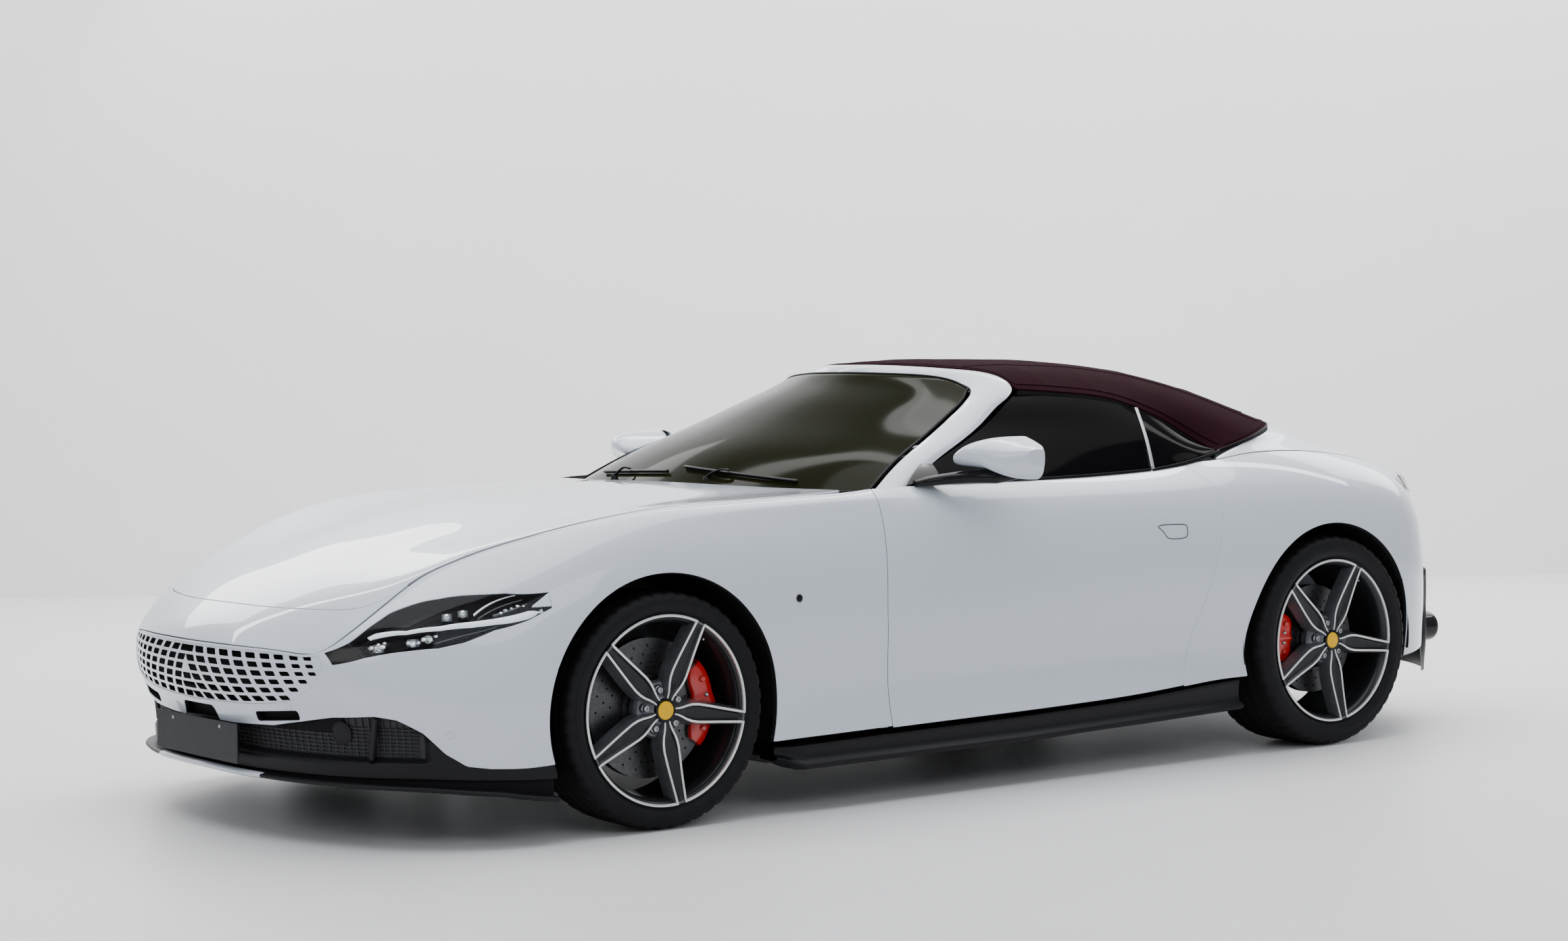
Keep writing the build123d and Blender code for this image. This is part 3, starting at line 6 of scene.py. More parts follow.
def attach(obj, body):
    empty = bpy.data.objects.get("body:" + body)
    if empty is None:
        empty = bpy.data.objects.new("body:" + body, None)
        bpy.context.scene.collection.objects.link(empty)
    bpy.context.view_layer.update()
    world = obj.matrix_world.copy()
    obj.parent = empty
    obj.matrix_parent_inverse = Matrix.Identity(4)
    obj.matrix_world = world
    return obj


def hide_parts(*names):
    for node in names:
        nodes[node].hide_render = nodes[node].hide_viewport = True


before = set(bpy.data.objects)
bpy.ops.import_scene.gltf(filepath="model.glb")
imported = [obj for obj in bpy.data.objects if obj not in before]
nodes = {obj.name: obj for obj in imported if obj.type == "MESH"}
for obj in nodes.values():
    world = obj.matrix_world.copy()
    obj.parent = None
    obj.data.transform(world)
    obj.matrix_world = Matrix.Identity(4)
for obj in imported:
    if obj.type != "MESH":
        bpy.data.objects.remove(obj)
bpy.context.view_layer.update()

# ------------------------------------------------------------------ driving dimensions (mm), as in the CAD part
AX_F, AX_R = 1308.0, -1362.0
HUB_F, HUB_R = 336.0, 350.0
TRACK_F, TRACK_R = 1652.0, 1679.0
TYRE_W_F, TYRE_W_R = 245.0, 285.0
LIP_R = 271.0
ARCH_F, ARCH_R = 389.0, 394.0
SPOKE_DEG = 99.5

# ------------------------------------------------------------------ body surface, the same net as in the CAD part
# Target points of the outer skin. Each column runs from the sill (row 0) up to the shoulder
# crest (row 6); the columns go from the middle of the nose round the left side to the middle of
# the tail. The bonnet and deck nets run from the crest (j = 0) to the centreline (j = 4).
def col(x, *yz):
    return [(x, p[0], p[1]) for p in yz]
COLS = [
    [(2262,0,195),(2268,0,285),(2292,0,368),(2315,0,415),(2325,0,462),(2324,0,505),(2312,0,541)],
    [(2256,150,195),(2262,150,285),(2286,150,368),(2308,150,415),(2318,150,462),(2317,150,505),(2305,150,541)],
    [(2240,300,195),(2246,300,285),(2268,300,367),(2290,300,413),(2300,300,460),(2299,300,503),(2288,300,540)],
    [(2205,450,195),(2212,450,284),(2232,452,366),(2252,450,411),(2262,447,457),(2262,445,500),(2253,442,537)],
    [(2150,600,195),(2156,600,283),(2172,608,364),(2188,610,408),(2198,602,453),(2207,584,497),(2211,556,531)],
    [(2080,715,195),(2086,722,282),(2098,735,364),(2108,740,415),(2116,728,470),(2128,695,535),(2150,618,577)],
    [(1995,800,193),(2000,808,280),(2012,815,367),(2022,815,430),(2030,796,500),(2040,752,600),(2052,652,652)],
    [(1905,862,188),(1908,868,278),(1915,874,375),(1922,866,450),(1928,842,540),(1932,792,655),(1935,652,727)],
    [(1822,900,184),(1824,906,276),(1828,910,385),(1832,902,475),(1836,880,575),(1840,815,690),(1842,674,767)],
    [(1745,922,180),(1746,928,280),(1748,932,400),(1750,925,510),(1750,902,615),(1752,842,722),(1754,708,800)],
    col(1640,(938,178),(945,300),(949,430),(945,560),(925,670),(872,765),(755,833)),
    col(1500,(944,178),(952,320),(958,460),(954,600),(934,720),(888,808),(800,866)),
    col(1308,(946,182),(955,335),(961,485),(957,630),(938,755),(896,842),(824,894)),
    col(1120,(944,192),(949,345),(955,495),(952,640),(935,765),(895,853),(830,906)),
    col(940,(942,200),(937,345),(944,490),(942,640),(926,765),(888,858),(832,909)),
    col(720,(943,204),(929,345),(937,490),(936,640),(920,765),(885,862),(832,914)),
    col(500,(944,208),(923,345),(932,485),(932,635),(918,765),(884,868),(828,923)),
    col(250,(945,212),(919,345),(930,480),(932,630),(919,762),(884,868),(826,926)),
    col(0,(945,215),(916,345),(930,475),(935,625),(922,758),(886,866),(825,925)),
    col(-250,(945,220),(915,347),(931,475),(939,622),(928,755),(890,864),(824,925)),
    col(-480,(943,227),(916,352),(936,478),(946,622),(936,755),(896,866),(822,929)),
    col(-700,(940,240),(922,360),(946,482),(957,622),(947,755),(904,870),(818,940)),
    col(-900,(942,252),(938,368),(963,488),(973,625),(960,760),(912,878),(812,960)),
    col(-1120,(955,250),(960,370),(980,495),(984,630),(968,768),(915,888),(800,978)),
    col(-1362,(962,250),(972,372),(986,500),(987,635),(970,775),(912,890),(785,980)),
    col(-1600,(955,255),(965,375),(977,500),(977,635),(957,775),(893,880),(755,962)),
    col(-1800,(920,265),(930,380),(940,500),(938,635),(915,765),(850,860),(722,930)),
    [(-1945,838,275),(-1947,845,385),(-1948,848,500),(-1947,843,630),(-1943,824,740),(-1936,775,830),(-1925,705,900)],
    [(-2052,724,285),(-2058,730,390),(-2061,732,500),(-2059,729,620),(-2054,719,715),(-2048,703,800),(-2040,676,870)],
    [(-2160,575,290),(-2170,580,390),(-2172,580,495),(-2164,578,610),(-2150,570,710),(-2138,560,800),(-2125,545,885)],
    [(-2242,385,295),(-2258,388,390),(-2260,388,490),(-2246,386,600),(-2218,382,705),(-2196,378,800),(-2184,370,900)],
    [(-2290,195,300),(-2310,196,390),(-2314,196,488),(-2298,195,595),(-2262,193,702),(-2234,190,800),(-2220,186,909)],
    [(-2304,0,302),(-2324,0,390),(-2328,0,486),(-2311,0,593),(-2274,0,701),(-2246,0,800),(-2232,0,912)],
]
NC, NR = len(COLS), 7
CK, CT = 4, len(COLS) - 5      # nose corner and tail corner columns
HOOD = {
    1: [(2203,452,583),(2238,300,590),(2256,150,594),(2262,0,595)],
    2: [(2105,480,662),(2150,310,655),(2172,155,652),(2180,0,651)],
    3: [(1980,500,722),(2030,330,716),(2060,165,712),(2070,0,710)],
    4: [(1870,520,763),(1915,345,757),(1940,172,758),(1950,0,759)],
    5: [(1770,548,797),(1805,365,789),(1825,182,796),(1832,0,798)],
    6: [(1645,580,828),(1670,385,822),(1685,192,834),(1690,0,837)],
    7: [(1500,610,858),(1515,405,857),(1522,202,872),(1525,0,876)],
    8: [(1308,625,883),(1315,415,887),(1320,208,903),(1322,0,908)],
    9: [(1125,630,896),(1132,420,904),(1138,210,914),(1140,0,918)],
    10: [(950,635,903),(965,422,912),(975,211,922),(980,0,926)],
    11: [(745,640,911),(790,425,920),(820,212,929),(830,0,932)],
    12: [(540,650,920),(600,430,927),(640,215,934),(655,0,937)],
}
DECK = {
    1: [(-2000,552,908),(-2060,375,925),(-2090,188,934),(-2100,0,937)],
    2: [(-1880,570,945),(-1940,385,955),(-1968,192,962),(-1978,0,964)],
    3: [(-1730,590,978),(-1800,395,985),(-1835,198,990),(-1845,0,991)],
    4: [(-1600,610,1010),(-1710,405,1024),(-1750,202,1027),(-1762,0,1028)],
    5: [(-1460,650,1034),(-1625,420,1053),(-1675,210,1056),(-1690,0,1057)],
    6: [(-1290,708,1036),(-1535,440,1066),(-1600,220,1070),(-1615,0,1071)],
}
LEVELS = 4
SUB = 2 ** LEVELS

def control_net():
    P, ids = [], {}
    def add(key, p):
        ids[key] = len(P)
        P.append(p)
    for c in range(NC):
        for r in range(NR):
            add(("s", c, r), COLS[c][r])
    for k, row in HOOD.items():
        for j, p in enumerate(row, 1):
            add(("h", k, j), p)
    for k, row in DECK.items():
        for j, p in enumerate(row, 1):
            add(("d", k, j), p)
    def hid(k, j):
        if j == 0:
            return ids[("s", CK + k, 6)]
        return ids[("s", CK - j, 6)] if k == 0 else ids[("h", k, j)]
    def did(k, j):
        if j == 0:
            return ids[("s", CT - k, 6)]
        return ids[("s", CT + j, 6)] if k == 0 else ids[("d", k, j)]
    F, UV, PT = [], [], []
    for c in range(NC - 1):
        for r in range(NR - 1):
            F.append([ids[("s", c, r)], ids[("s", c+1, r)], ids[("s", c+1, r+1)], ids[("s", c, r+1)]])
            UV.append([(c, r), (c+1, r), (c+1, r+1), (c, r+1)])
            PT.append(0)
    for k in range(len(HOOD)):
        for j in range(4):
            F.append([hid(k, j), hid(k, j+1), hid(k+1, j+1), hid(k+1, j)])
            UV.append([(k, j), (k, j+1), (k+1, j+1), (k+1, j)])
            PT.append(1)
    for k in range(len(DECK)):
        for j in range(4):
            F.append([did(k, j), did(k+1, j), did(k+1, j+1), did(k, j+1)])
            UV.append([(k, j), (k+1, j), (k+1, j+1), (k, j+1)])
            PT.append(2)
    cr = {}
    def crease(c, s):
        a, b = ids[("s", c, 6)], ids[("s", c+1, 6)]
        cr[(min(a, b), max(a, b))] = s
    for c in range(0, CK):
        crease(c, 2.6)
    crease(CK, 1.6)
    for c, s in zip(range(CK+1, CK+9), (.3, .3, .6, .9, 1.0, .9, .7, .4)):
        crease(c, s)
    for c in range(CT, NC-1):
        crease(c, 2.2)
    crease(CT-2, .6)
    crease(CT-1, 1.4)
    return np.array(P, float), np.array(F), np.array(UV, float), np.array(PT), cr

def mirrored(P, F, UV, PT, cr):
    on = np.abs(P[:, 1]) < 1e-6
    new = np.arange(len(P))
    new[~on] = len(P) + np.arange((~on).sum())
    P2 = np.vstack([P, P[~on] * [1, -1, 1]])
    F2 = np.vstack([F, new[F][:, ::-1]])
    cr2 = dict(cr)
    for (a, b), s in cr.items():
        a2, b2 = int(new[a]), int(new[b])
        cr2[(min(a2, b2), max(a2, b2))] = s
    return P2, F2, np.vstack([UV, UV[:, ::-1]]), np.concatenate([PT, PT + 10]), cr2

def gather(idx, vals, n):
    out = np.empty((n, vals.shape[1]))
    for k in range(vals.shape[1]):
        out[:, k] = np.bincount(idx, weights=vals[:, k], minlength=n)
    return out

def topology(F, cr, nv):
    nf = len(F)
    e = np.sort(np.stack([F, np.roll(F, -1, 1)], 2).reshape(-1, 2), 1)
    ue, inv, cnt = np.unique(e, axis=0, return_inverse=True, return_counts=True)
    inv = inv.reshape(nf, 4)
    ne = len(ue)
    sh = np.zeros(ne)
    if cr:
        key = ue[:, 0].astype(np.int64) * (nv + 1) + ue[:, 1]
        k2 = np.array([a * (nv + 1) + b for a, b in cr], dtype=np.int64)
        sh[np.searchsorted(key, k2)] = np.array(list(cr.values()))
    bnd = cnt == 1
    sh[bnd] = 99
    T = dict(F=F, ue=ue, inv=inv, cnt=cnt, w=np.clip(sh, 0, 1), nv=nv, ne=ne, nf=nf)
    T["n"] = np.bincount(ue.ravel(), minlength=nv).astype(float)
    T["nfv"] = np.bincount(F.ravel(), minlength=nv).astype(float)
    nsh = np.bincount(ue.ravel(), weights=np.repeat((sh > 0).astype(float), 2), minlength=nv)
    ssum = np.bincount(ue.ravel(), weights=np.repeat(T["w"], 2), minlength=nv)
    vsh = np.where(nsh >= 2, np.minimum(1, ssum / np.maximum(nsh, 1)), 0)
    corner = (nsh >= 3) | ((np.bincount(ue.ravel(), weights=np.repeat(bnd.astype(float), 2), minlength=nv) >= 1) & (T["nfv"] == 1))
    T["vsh"], T["corner"], T["wk"] = vsh, np.where(corner, vsh, 0), np.maximum(ssum, 1e-9)
    fe, fp = inv + nv, np.arange(nf) + nv + ne
    F2 = np.empty((nf * 4, 4), int)
    for k in range(4):
        F2[k::4] = np.stack([F[:, k], fe[:, k], fp, fe[:, (k+3) % 4]], 1)
    cr2 = {}
    for i in np.nonzero((sh > 1) & ~bnd)[0]:
        a, b = ue[i]
        m = int(i + nv)
        cr2[(min(int(a), m), max(int(a), m))] = sh[i] - 1
        cr2[(min(int(b), m), max(int(b), m))] = sh[i] - 1
    return T, F2, cr2

def refine(T, V):
    F, ue, w = T["F"], T["ue"], T["w"][:, None]
    FP = V[F].mean(1)
    mid = V[ue].mean(1)
    fsum = gather(T["inv"].ravel(), np.repeat(FP, 4, 0), T["ne"])
    EP = (1 - w) * (mid * .5 + fsum * .25) + w * mid
    n, nfv = T["n"][:, None], T["nfv"][:, None]
    Q = gather(F.ravel(), np.repeat(FP, 4, 0), T["nv"]) / nfv
    R = gather(ue.ravel(), np.repeat(mid, 2, 0), T["nv"]) / n
    smooth = Q / n + 2 * R / n + (n - 3) / n * V
    nb = gather(ue.ravel(), (V[ue[:, ::-1]] * w[:, :, None]).reshape(-1, 3), T["nv"])
    hard = .75 * V + .25 * nb / T["wk"][:, None]
    vs = T["vsh"][:, None]
    VP = (1 - vs) * smooth + vs * hard
    c = T["corner"][:, None]
    return np.vstack([(1 - c) * VP + c * V, EP, FP])

def uv_refine(UV):
    c = UV.mean(1)
    out = np.empty((len(UV) * 4, 4, 2))
    for k in range(4):
        out[k::4] = np.stack([UV[:, k], (UV[:, k] + UV[:, (k+1) % 4]) / 2, c, (UV[:, k] + UV[:, (k+3) % 4]) / 2], 1)
    return out

def body_surface():
    P, F, UV, PT, cr = mirrored(*control_net())
    Ts, f, nv, uv = [], F, len(P), UV
    for _ in range(LEVELS):
        T, f2, cr = topology(f, cr, nv)
        Ts.append(T)
        f, nv, uv = f2, T["nv"] + T["ne"] + T["nf"], uv_refine(uv)
    C = P.copy()
    for _ in range(3):
        V = C
        for T in Ts[:3]:
            V = refine(T, V)
        C = C + (P - V[:len(P)])
    V = C
    for T in Ts:
        V = refine(T, V)
    pt = np.repeat(PT, 4 ** LEVELS)
    G = {}
    for patch, (a, b) in {0: (NC-1, NR-1), 1: (len(HOOD), 4), 2: (len(DECK), 4)}.items():
        g = np.full((a * SUB + 1, b * SUB + 1, 3), np.nan)
        m = pt == patch
        ij = np.rint(uv[m] * SUB).astype(int)
        g[ij[..., 0], ij[..., 1]] = V[f[m]]
        G[patch] = g
    return G

GRID = body_surface()

def S(patch, u, v):
    A = GRID[patch]
    u, v = np.broadcast_arrays(np.asarray(u, float), np.asarray(v, float))
    a, b = u * SUB, v * SUB
    i = np.clip(np.floor(a).astype(int), 0, A.shape[0] - 2)
    j = np.clip(np.floor(b).astype(int), 0, A.shape[1] - 2)
    x, y = (a - i)[..., None], (b - j)[..., None]
    return A[i, j]*(1-x)*(1-y) + A[i+1, j]*x*(1-y) + A[i, j+1]*(1-x)*y + A[i+1, j+1]*x*y

def table(t):
    t = np.array(t, float)
    return lambda x: np.interp(x, t[:, 0], t[:, 1])

# lines on the skin, in surface coordinates (column, row)
bumper_low = table([(0,1.40),(1.25,1.38),(2.5,1.47),(3.28,1.72),(3.94,1.97),(4.81,2.09),(5.31,1.94),(5.91,1.47),(6.41,.84),(6.94,.47),(7.6,.40),(9.5,.38),(10.2,.38)])
lamp_low = table([(4.19,5.06),(4.94,4.88),(5.91,4.47),(6.62,4.22),(7.22,4.12),(8.12,4.12),(9.16,3.94),(9.8,3.91)])
lamp_top = table([(4.2,5.86),(4.88,5.72),(5.5,5.75),(6.0,5.69),(6.41,5.5),(7.0,5.25),(7.81,5.03),(8.72,4.78),(9.8,4.30)])
door_front = table([(0,16.0),(2.56,15.97),(3.78,16.0),(4.91,16.03),(6,16.09)])
door_rear = table([(0,21.0),(.25,21.03),(1.81,21.28),(2.5,21.47),(3.5,21.72),(4.22,21.86),(5.2,21.86),(6,21.72)])
bonnet_front = table([(0,2.55),(.1,2.45),(.25,2.2),(.45,1.95),(.8,1.8),(1.9,1.8),(3.2,1.84),(4,1.86)])
bonnet_rear = table([(0,11.05),(.1,11.35),(.2,11.65),(.4,11.93),(1,11.95),(2,11.78),(3,11.66),(4,11.62)])

def smooth(x):
    x = np.clip(x, 0, 1)
    return x * x * (3 - 2 * x)


# A panel is a net of flat facets on the body surface, trimmed to its shut lines, with a wall thickness.
def cells(us, vs):
    """quads of a (u, v) grid: vertex array and list of polygons"""
    U, V = np.meshgrid(us, vs, indexing="ij")
    n = len(vs)
    i = np.arange(len(us) - 1)[:, None] * n + np.arange(n - 1)[None, :]
    q = np.stack([i, i + n, i + n + 1, i + 1], -1).reshape(-1, 4)
    return np.stack([U.ravel(), V.ravel()], 1), [list(map(int, p)) for p in q]

def split(W, polys, f, tag=None):
    """divide polygons by the line f = 0; returns vertices, polygons with f < 0, polygons with f > 0"""
    val = f(W)
    val = np.where(np.abs(val) < 1e-5, 1e-5, val)
    neg = val < 0
    edges = {}
    for p in polys:
        for a, b in zip(p, p[1:] + p[:1]):
            if neg[a] != neg[b]:
                edges.setdefault((min(a, b), max(a, b)), None)
    if edges:
        E = np.array(list(edges))
        lo, hi = W[E[:, 0]], W[E[:, 1]]
        nl = neg[E[:, 0]]
        t0, t1 = np.zeros(len(E)), np.ones(len(E))
        for _ in range(26):
            tm = (t0 + t1) / 2
            same = (f(lo + (hi - lo) * tm[:, None]) < 0) == nl
            t0, t1 = np.where(same, tm, t0), np.where(same, t1, tm)
        tm = np.clip((t0 + t1) / 2, .004, .996)
        new = lo + (hi - lo) * tm[:, None]
        for k, e in enumerate(edges):
            edges[e] = len(W) + k
        W = np.vstack([W, new])
    A, B, ta = [], [], []
    for i, p in enumerate(polys):
        s = neg[p]
        if s.any() and tag:
            ta.append(tag[i])
        if s.all():
            A.append(p)
        elif not s.any():
            B.append(p)
        else:
            pa, pb = [], []
            for a, b in zip(p, p[1:] + p[:1]):
                (pa if neg[a] else pb).append(a)
                if neg[a] != neg[b]:
                    m = edges[(min(a, b), max(a, b))]
                    pa.append(m)
                    pb.append(m)
            A.append(pa)
            B.append(pb)
    return (W, A, B, ta) if tag else (W, A, B)

def keep(W, polys, f):
    W, A, B = split(W, polys, f)
    return W, A

def drop(W, polys, fs):
    """remove the region where every f in fs is < 0"""
    tag = [True] * len(polys)
    for f in fs:
        W, A, B, ta = split(W, polys, f, tag)
        polys, tag = A + B, ta + [False] * len(B)
    return W, [p for p, t in zip(polys, tag) if not t]

def at(patch, W, h=.03):
    """points and outward unit normals at (u, v) rows"""
    A = GRID[patch].shape
    um, vm = (A[0] - 1) / SUB, (A[1] - 1) / SUB
    u, v = W[:, 0], W[:, 1]
    P = S(patch, u, v)
    du = S(patch, np.minimum(u + h, um), v) - S(patch, np.maximum(u - h, 0), v)
    dv = S(patch, u, np.minimum(v + h, vm)) - S(patch, u, np.maximum(v - h, 0))
    n = np.cross(du, dv) * (-1 if patch == 2 else 1)
    return P, n / np.linalg.norm(n, axis=1, keepdims=True)


def xz(W, patch=0):
    P = S(patch, W[:, 0], W[:, 1])
    return P[:, 0], P[:, 2]

def out_of_arch(x0, z0, r):
    def f(W):
        x, z = xz(W)
        return r - np.hypot(x - x0, z - z0)
    return f

def curve(P, n):
    """smooth curve through points (centripetal parameters, natural cubic)"""
    P = np.asarray(P, float)
    d = np.sqrt(np.linalg.norm(np.diff(P, axis=0), axis=1))
    t = np.concatenate([[0], np.cumsum(d)])
    m = len(P)
    h = np.diff(t)
    A = np.eye(m)
    R = np.zeros_like(P)
    for i in range(1, m - 1):
        A[i, i-1], A[i, i], A[i, i+1] = h[i-1], 2 * (h[i-1] + h[i]), h[i]
        R[i] = 6 * ((P[i+1] - P[i]) / h[i] - (P[i] - P[i-1]) / h[i-1])
    M = np.linalg.solve(A, R)
    tt = np.linspace(0, t[-1], n) if np.isscalar(n) else np.asarray(n) * t[-1]
    k = np.clip(np.searchsorted(t, tt, side="right") - 1, 0, m - 2)
    a, b = (t[k+1] - tt)[:, None], (tt - t[k])[:, None]
    hk = h[k][:, None]
    return (M[k] * a**3 + M[k+1] * b**3) / (6 * hk) + (P[k] / hk - M[k] * hk / 6) * a + (P[k+1] / hk - M[k+1] * hk / 6) * b

def plan_distance(ring):
    """signed distance in plan from a closed outline, negative inside"""
    a = ring[:, :2]
    d = np.roll(a, -1, 0) - a
    def f(x, y):
        q = np.stack([x, y], 1)[:, None, :] - a[None]
        t = np.clip((q * d).sum(2) / (d * d).sum(1), 0, 1)
        dist = np.sqrt(((q - t[..., None] * d) ** 2).sum(2)).min(1)
        b = np.roll(a, -1, 0)
        yy, xx = y[:, None], x[:, None]
        hit = (a[:, 1] > yy) != (b[:, 1] > yy)
        with np.errstate(divide="ignore", invalid="ignore"):
            xi = a[:, 0] + (yy - a[:, 1]) * (b[:, 0] - a[:, 0]) / (b[:, 1] - a[:, 1])
        return np.where((hit & (xx < xi)).sum(1) % 2 == 1, -dist, dist)
    return f

grille_low = table([(0,2.1),(1.12,2.16),(2.0,2.25),(2.62,2.40),(3.0,2.58),(3.28,2.85),(3.6,3.55),(3.91,4.45),(4.06,5.0),(4.2,5.9)])
def lamp_mid(u):
    return (lamp_low(u) + lamp_top(u)) / 2
def lamp_area(m):
    return [lambda W: lamp_low(W[:, 0]) - m - W[:, 1], lambda W: W[:, 1] - lamp_top(W[:, 0]) - m, lambda W: 4.30 - m - W[:, 0], lambda W: W[:, 0] - 9.74 - m]


# bonnet outline in bonnet-patch coordinates (k, j), from the middle of its front edge round to the middle of its rear edge
BON = [(1.86,4),(1.84,3.2),(1.80,1.9),(1.79,.9),(1.86,.50),(2.02,.27),(2.30,.12),(2.75,.055),(3.5,.045),(5,.045),(7,.045),(9,.045),(10.6,.05),(11.15,.08),(11.55,.17),(11.8,.32),(11.93,.6),(11.93,1.1),(11.80,2),(11.68,3),(11.62,4)]
bon = curve(BON, 90)
bon3 = S(1, bon[:, 0], bon[:, 1])
bonnet_sd = plan_distance(np.vstack([bon3, (bon3[::-1] * [1, -1, 1])[1:-1]]))
def bonnet_f(off, sign=1):
    def f(W):
        P = S(1, W[:, 0], W[:, 1])
        return sign * (bonnet_sd(P[:, 0], P[:, 1]) + off)
    return f

# ------------------------------------------------------------------ materials
def _nt(name):
    m = bpy.data.materials.new(name)
    m.use_nodes = True
    nt = m.node_tree
    return m, nt, nt.nodes["Principled BSDF"]

def mat(name, col, rough=.5, metal=0.0, coat=0.0, coat_rough=.03, var=.05, vscale=30.0, bump=0.0, bscale=400.0,
        kind="noise", spec=.5, sheen=0.0, rvar=.12, alpha=1.0, emit=0.0, emit_col=(1, 1, 1), detail=4.0, sheen_col=None):
    m, nt, b = _nt(name)
    I, L = b.inputs, nt.links
    I["Metallic"].default_value = metal
    I["Coat Weight"].default_value = coat
    I["Coat Roughness"].default_value = coat_rough
    I["Specular IOR Level"].default_value = spec
    I["Alpha"].default_value = alpha
    I["Sheen Weight"].default_value = sheen
    if sheen_col:
        I["Sheen Tint"].default_value = (*sheen_col, 1)
    if emit:
        I["Emission Color"].default_value = (*emit_col, 1)
        I["Emission Strength"].default_value = emit
    tc = nt.nodes.new("ShaderNodeTexCoord")
    n = nt.nodes.new("ShaderNodeTexNoise")
    n.inputs["Scale"].default_value = vscale
    n.inputs["Detail"].default_value = detail
    L.new(tc.outputs["Object"], n.inputs["Vector"])
    r = nt.nodes.new("ShaderNodeValToRGB")
    r.color_ramp.elements[0].position, r.color_ramp.elements[1].position = .3, .7
    r.color_ramp.elements[0].color = (*[c * (1 - var) for c in col], 1)
    r.color_ramp.elements[1].color = (*[min(1, c * (1 + var)) for c in col], 1)
    L.new(n.outputs["Fac"], r.inputs["Fac"])
    L.new(r.outputs["Color"], I["Base Color"])
    mr = nt.nodes.new("ShaderNodeMapRange")
    mr.inputs["To Min"].default_value = rough * (1 - rvar)
    mr.inputs["To Max"].default_value = min(1, rough * (1 + rvar))
    L.new(n.outputs["Fac"], mr.inputs["Value"])
    L.new(mr.outputs["Result"], I["Roughness"])
    if bump:
        if kind == "noise":
            t = nt.nodes.new("ShaderNodeTexNoise"); out = "Fac"
            t.inputs["Detail"].default_value = 3
        elif kind == "grain":
            t = nt.nodes.new("ShaderNodeTexVoronoi"); out = "Distance"
        if kind in ("noise", "grain"):
            t.inputs["Scale"].default_value = bscale
            L.new(tc.outputs["Object"], t.inputs["Vector"])
            h = t.outputs[out]
        else:                                   # weave: two crossed sets of threads
            hs = []
            for dr in ("X", "Y") if kind == "weave" else ("X", "Z"):
                w = nt.nodes.new("ShaderNodeTexWave")
                w.bands_direction = dr
                w.inputs["Scale"].default_value = bscale
                w.inputs["Distortion"].default_value = .4
                L.new(tc.outputs["Object"], w.inputs["Vector"])
                hs.append(w.outputs["Fac"])
            a = nt.nodes.new("ShaderNodeMath"); a.operation = "MAXIMUM"
            L.new(hs[0], a.inputs[0]); L.new(hs[1], a.inputs[1])
            h = a.outputs[0]
        bp = nt.nodes.new("ShaderNodeBump")
        bp.inputs["Strength"].default_value = bump
        bp.inputs["Distance"].default_value = .001
        L.new(h, bp.inputs["Height"])
        L.new(bp.outputs["Normal"], I["Normal"])
    return m

def glassy(name, col, fac, tint):
    """thin glass: tinted see-through with a constant share of mirror reflection"""
    m, nt, b = _nt(name)
    nt.nodes.remove(b)
    out = nt.nodes["Material Output"]
    tr = nt.nodes.new("ShaderNodeBsdfTransparent")
    n = nt.nodes.new("ShaderNodeTexNoise"); n.inputs["Scale"].default_value = 3
    tc = nt.nodes.new("ShaderNodeTexCoord"); nt.links.new(tc.outputs["Object"], n.inputs["Vector"])
    r = nt.nodes.new("ShaderNodeValToRGB")
    r.color_ramp.elements[0].color = (*[c * .93 for c in tint], 1)
    r.color_ramp.elements[1].color = (*tint, 1)
    nt.links.new(n.outputs["Fac"], r.inputs["Fac"]); nt.links.new(r.outputs["Color"], tr.inputs["Color"])
    gl = nt.nodes.new("ShaderNodeBsdfGlossy"); gl.inputs["Roughness"].default_value = .02
    gl.inputs["Color"].default_value = (*col, 1)
    mx = nt.nodes.new("ShaderNodeMixShader"); mx.inputs["Fac"].default_value = fac
    nt.links.new(tr.outputs[0], mx.inputs[1]); nt.links.new(gl.outputs[0], mx.inputs[2])
    nt.links.new(mx.outputs[0], out.inputs["Surface"])
    return m

PAINT = mat("paint_pearl_white", (.598, .647, .726), rough=.32, coat=1.0, coat_rough=.02, var=.012, vscale=900, rvar=.2, spec=.5)
GAPM = mat("shut_line_shadow", (.012, .012, .013), rough=.8, var=.1, vscale=60, spec=.15)
PAINT_IN = mat("paint_inner_face", (.60, .63, .67), rough=.5, var=.03, vscale=40, bump=.05, bscale=300)
BLACK = mat("gloss_black", (.006, .0055, .007), rough=.12, coat=0.0, spec=.22, var=.1, vscale=60)
TRIM = mat("satin_black_trim", (.0055, .0055, .0072), rough=.44, spec=.22, var=.15, vscale=60, bump=.12, bscale=900)
TRIM2 = mat("grained_black_plastic", (.022, .022, .024), rough=.62, var=.15, vscale=50, bump=.35, bscale=1100, kind="grain")
DARK = mat("deep_black", (.004, .004, .005), rough=.8, var=.2, vscale=50, spec=.2)
# windscreen and side glass are nearly opaque and near black: partly real tint, partly painted shade standing in for the
# dim cabin behind
GLASS = mat("windscreen_tint_and_cabin_shade", (.010, .0105, .0045), rough=.07, var=.10, vscale=2.5, rvar=.1, alpha=.97, spec=.018)
SGLASS = mat("side_glass_tint_and_cabin_shade", (.003, .003, .0035), rough=.06, var=.10, vscale=2.5, rvar=.1, alpha=.98, spec=.014)
SEAL = mat("rubber_seal", (.006, .006, .007), rough=.55, spec=.12, var=.2, vscale=80, bump=.1, bscale=700)
CLOTH = mat("burgundy_roof_cloth", (.0128, .0021, .0048), rough=.92, var=.16, vscale=14, bump=.5, bscale=330, kind="weave", sheen=.03, spec=.035, detail=9, sheen_col=(.8, .35, .45))
CHROME = mat("bright_metal", (.72, .73, .75), rough=.16, metal=1, var=.03, vscale=60)
